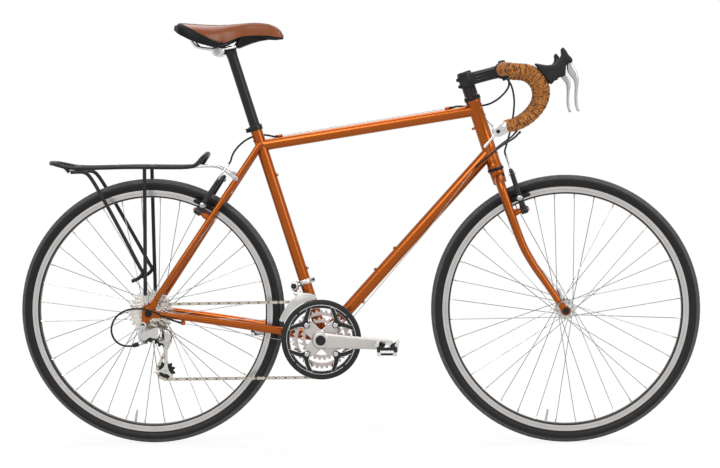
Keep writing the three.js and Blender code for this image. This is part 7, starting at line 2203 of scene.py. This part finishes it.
def build_brake_arm(end, brake, axle, side, label, piped):
    """One arm with its pad, its stud and either the pipe or the wire's clamp."""
    body = f"{end}_brake_arm_{label}"
    along = (brake(1, 0, 0) - brake(0, 0, 0)).normalized()
    ahead = (brake(0, 1, 0) - brake(0, 0, 0)).normalized()
    arm = Shape()
    arm.skin([
        squircle(brake(s, 36, side * y), ahead, across, deep, wide, power=3, count=28)
        for s, y, deep, wide in (
            (-8, 40, 3, 4), (-5, 40, 6, 7), (6, 40, 7.4, 7.8), (20, 40.6, 7.2, 6.4), (40, 41, 7, 5.6),
            (70, 39.8, 6.2, 5.2), (92, 37.6, 6, 5.4), (102, 37, 5.8, 5.4), (107, 37, 4.6, 4.4),
            (109, 37, 2.4, 2.6),
        )
    ])
    post = brake(0, 0, side * 40)
    arm.turn(post, ahead, [(27, 7.4), (27.6, 9), (44, 9), (45, 8), (45, 5.4)], 32)
    fitted(arm.piece(f"{body}_forging", arm_black, sharp=45), body, body)

    reach = brake(27, 36, 0) - axle
    reach = Vector((reach.x, 0, reach.z)).normalized()
    pad_half, track_radius = 28, 308
    pad_place = Vector((axle.x, 0, axle.z)) + reach * track_radius
    pad_way = across.cross(reach).normalized()
    pad = Shape()
    rows = []
    for share in (-1, -0.94, -0.8, -0.4, 0, 0.4, 0.8, 0.94, 1):
        lift = -0.5 * pad_half * pad_half * share * share / track_radius
        tall = 5.4 * (1 - 0.35 * max(0, abs(share) - 0.8) / 0.2)
        centre = pad_place + pad_way * pad_half * share + reach * lift + across * side * 18.2
        rows.append(squircle(centre, reach, across, tall, 4.3, power=3.4, count=20))
    pad.skin(rows)
    fitted(pad.piece(f"{body}_pad", pad_rubber, sharp=50), body)
    stud = Shape()
    stud.turn(
        pad_place, across * side,
        [(21.5, 6.4), (24, 6.4), (24.2, 7.4), (27.6, 7.4), (28.4, 8), (31, 8), (31.4, 4), (47, 4), (47, 6.4),
         (48.6, 6.4), (49, 5.2), (53.6, 5.2), (54, 4.4)], 26,
    )
    stud.turn(post, ahead, [(44.8, 5.2), (46.6, 5.2), (49.2, 4.8), (49.8, 3.8)], 6)
    fitted(stud.piece(f"{body}_bolts", bolt_steel, sharp=30), body)
    top = side * arm_top
    if piped:
        pipe_end = brake(98, 36, top * 0.66)
        pipe = Shape().tube(
            smooth_route([
                pipe_end, brake(98, 36, top), brake(100, 36, top + side * 14),
                brake(117, 36, top + side * 21), brake(145, 36, top + side * 14),
            ], 40), 2.5, 16,
        )
        mouth = noodle_mouth(brake, side, -0.2)
        pipe.turn(mouth, mouth - noodle_mouth(brake, side, 1), [(0, 2), (0, 3.4), (8, 3.2), (8.6, 2.5)], 18)
        fitted(pipe.piece(f"{body}_pipe", hub_alloy, sharp=40), body)
        boot = Shape()
        profile = [(0, 3.4)]
        for k in range(6):
            profile += [(2 + 7 * k, 4.9), (5.4 + 7 * k, 4.1)]
        boot.turn(
            pipe_end, -across * side, [(0, 2.4), *profile, (42.6, 4.2), (42.6, 3.6), (1.4, 3)], 20, hollow=True,
        )
        fitted(boot.piece(f"{body}_boot", pad_rubber, sharp=60), body)
    else:
        wire = Shape().rod(brake(98, 36, top * 0.4), brake(98, 36, top + side * 12), 0.75, steps=8)
        wire.turn(
            brake(98, 36, top), ahead, [(-9.4, 4.6), (-5.6, 4.6), (5.6, 4.6), (8, 4.6), (8.8, 3.8)], 6,
        )
        fitted(wire.piece(f"{body}_wire", wire_steel, sharp=35), body)


for end, brake, axle, piped_side in (
    ("front", front_brake, front_axle, 1), ("rear", rear_brake, rear_axle, -1),
):
    for side, label in ((-1, "right"), (1, "left")):
        build_brake_arm(end, brake, axle, side, label, side == piped_side)

# Bare wires: steel gear wires down both sides of the down tube, through a nylon guide under the
# bracket shell and on to the two derailleurs, and the brake wire above the top tube.
wires = Shape()
guide_place = bottom_bracket - Vector((0, 0, shell_outer + 0.3 + 2.5))
lower = -down_normal
wire_radius = 0.8
wire_routes = [
    [
        down_stop(side, -stop_end + 1),
        bottom_bracket.lerp(down_to, 0.6) + lower * down_radius + across * side * 11.5,
        bottom_bracket.lerp(down_to, 0.16) + lower * (down_radius + 7) + across * side * 6,
        guide_place + Vector((8.7, side * 6, -1)),
    ] for side in (-1, 1)
]
wire_routes += [
    [guide_place + across * -5, (-120, -17, 254.5), (-218, -40, 275), (-421, -60, 312.5),
     (-446, -62.5, 317.5)],
    [guide_place + Vector((-6.5, 4, 0)), (-117, 4, 258), (-121, 3, 285), (-123.5, 2, 315),
     (-144.2, -6, 382), (-148, -8, 396)],
]
for route in wire_routes:
    route = [Vector(p) for p in route]
    for start, end in zip(route, route[1:]):
        wires.rod(start, end, wire_radius, steps=8)
fitted(wires.piece("gear_wires_bare", wire_steel, sharp=50), "frame", "gear_wires")
brake_wire = Shape().rod(
    top_stop(top_stops[0], -stop_end + 1), top_stop(top_stops[1], stop_end - 1), wire_radius, steps=8,
)
fitted(brake_wire.piece("brake_wire_bare", wire_steel, sharp=50), "frame")
guide_block = Shape().block(guide_place, (1, 0, 0), (0, 0, 1), 26, 20, 5)
fitted(guide_block.piece("wire_guide", black_plastic, bevel=1.2), "frame")
stay_stop = Shape().turn(
    Vector((-438, -61.6, 316)), Vector((-11, -3.6, 2)),
    [(0, 2.6), (1, 4), (9, 4.6), (11, 4.4), (11.4, 3)], 20,
)
stay_stop.block(Vector((-443.5, -61.6, 322)), (1, 0, 0.1), (0, 0, 1), 10, 4.4, 11)
fitted(stay_stop.piece("chain_stay_stop", copper_paint, sharp=35), "frame", slot="frame_paint")

# Stage: a plain pale floor that fades into a white world, soft light from above and both sides.
floor_finish = bpy.data.materials.new("studio_paper")
floor_finish.use_nodes = True
floor_tree = floor_finish.node_tree
floor_shader = floor_tree.nodes["Principled BSDF"]
floor_shader.inputs["Base Color"].default_value = (0.86, 0.86, 0.86, 1)
floor_shader.inputs["Roughness"].default_value = 0.9
floor_shader.inputs["Specular IOR Level"].default_value = 0.1
floor_glow = add_node(floor_tree, "ShaderNodeEmission")
floor_mix = add_node(floor_tree, "ShaderNodeMixShader")
floor_rays = add_node(floor_tree, "ShaderNodeLightPath")
seen = add_node(floor_tree, "ShaderNodeMath", operation="MAXIMUM")
share = add_node(floor_tree, "ShaderNodeMath", operation="MULTIPLY")
floor_place = add_node(floor_tree, "ShaderNodeTexCoord")
floor_reach = add_node(floor_tree, "ShaderNodeVectorMath", operation="LENGTH")
floor_fade = add_node(floor_tree, "ShaderNodeMapRange", interpolation_type="SMOOTHSTEP")
for key, value in (("From Min", 0.9), ("From Max", 3.2), ("To Min", 0.86), ("To Max", 1.0)):
    floor_fade.inputs[key].default_value = value
wire_nodes(
    floor_tree, (floor_place, "Object", floor_reach, 0), (floor_reach, "Value", floor_fade, "Value"),
    (floor_fade, "Result", share, 1), (floor_rays, "Is Camera Ray", seen, 0),
    (floor_rays, "Is Glossy Ray", seen, 1), (seen, 0, share, 0), (share, 0, floor_mix, 0),
    (floor_shader, 0, floor_mix, 1), (floor_glow, 0, floor_mix, 2),
)
floor_tree.links.new(
    floor_mix.outputs[0], floor_tree.nodes["Material Output"].inputs["Surface"],
)
stage_half = 24
floor_data = bpy.data.meshes.new("studio_floor")
floor_data.from_pydata(
    [(x * stage_half, y * stage_half, 0) for x, y in ((-1, -1), (1, -1), (1, 1), (-1, 1))],
    [], [(0, 1, 2, 3)],
)
studio_floor = bpy.data.objects.new("studio_floor", floor_data)
floor_data.materials.append(floor_finish)
bpy.context.scene.collection.objects.link(studio_floor)
studio_floor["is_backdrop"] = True

world = bpy.data.worlds.new("studio")
bpy.context.scene.world = world
world.use_nodes = True
world_tree = world.node_tree
background = world_tree.nodes["Background"]
world_rays = add_node(world_tree, "ShaderNodeLightPath")
shown = add_node(world_tree, "ShaderNodeMath", operation="MAXIMUM")
through = add_node(world_tree, "ShaderNodeMath", operation="MAXIMUM")
level = add_node(world_tree, "ShaderNodeMath", operation="MULTIPLY_ADD")
ambient = 0.5
level.inputs[1].default_value, level.inputs[2].default_value = 1 - ambient, ambient
wire_nodes(
    world_tree, (world_rays, "Is Camera Ray", shown, 0), (world_rays, "Is Glossy Ray", shown, 1),
    (shown, 0, through, 0), (world_rays, "Is Transmission Ray", through, 1), (through, 0, level, 0),
    (level, 0, background, "Strength"),
)
background.inputs["Color"].default_value = (1, 1, 1, 1)

for name, place, size, power in (
    ("key_light", (-1.6, -3.2, 3.4), 2.4, 120),
    ("fill_light", (2.8, -2.4, 2.2), 2.0, 50),
    ("top_light", (0.2, 1.2, 3.8), 3.0, 90),
):
    lamp = bpy.data.lights.new(name, "AREA")
    lamp.size, lamp.energy = size, power
    lamp_object = bpy.data.objects.new(name, lamp)
    lamp_object.location = place
    lamp_object.rotation_euler = (Vector((0, 0, 0.5)) - Vector(place)).to_track_quat("-Z", "Y").to_euler()
    bpy.context.scene.collection.objects.link(lamp_object)
bpy.context.scene.view_settings.view_transform = "Standard"

{"cad": cad_box, "scene": [list(corner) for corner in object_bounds()]}
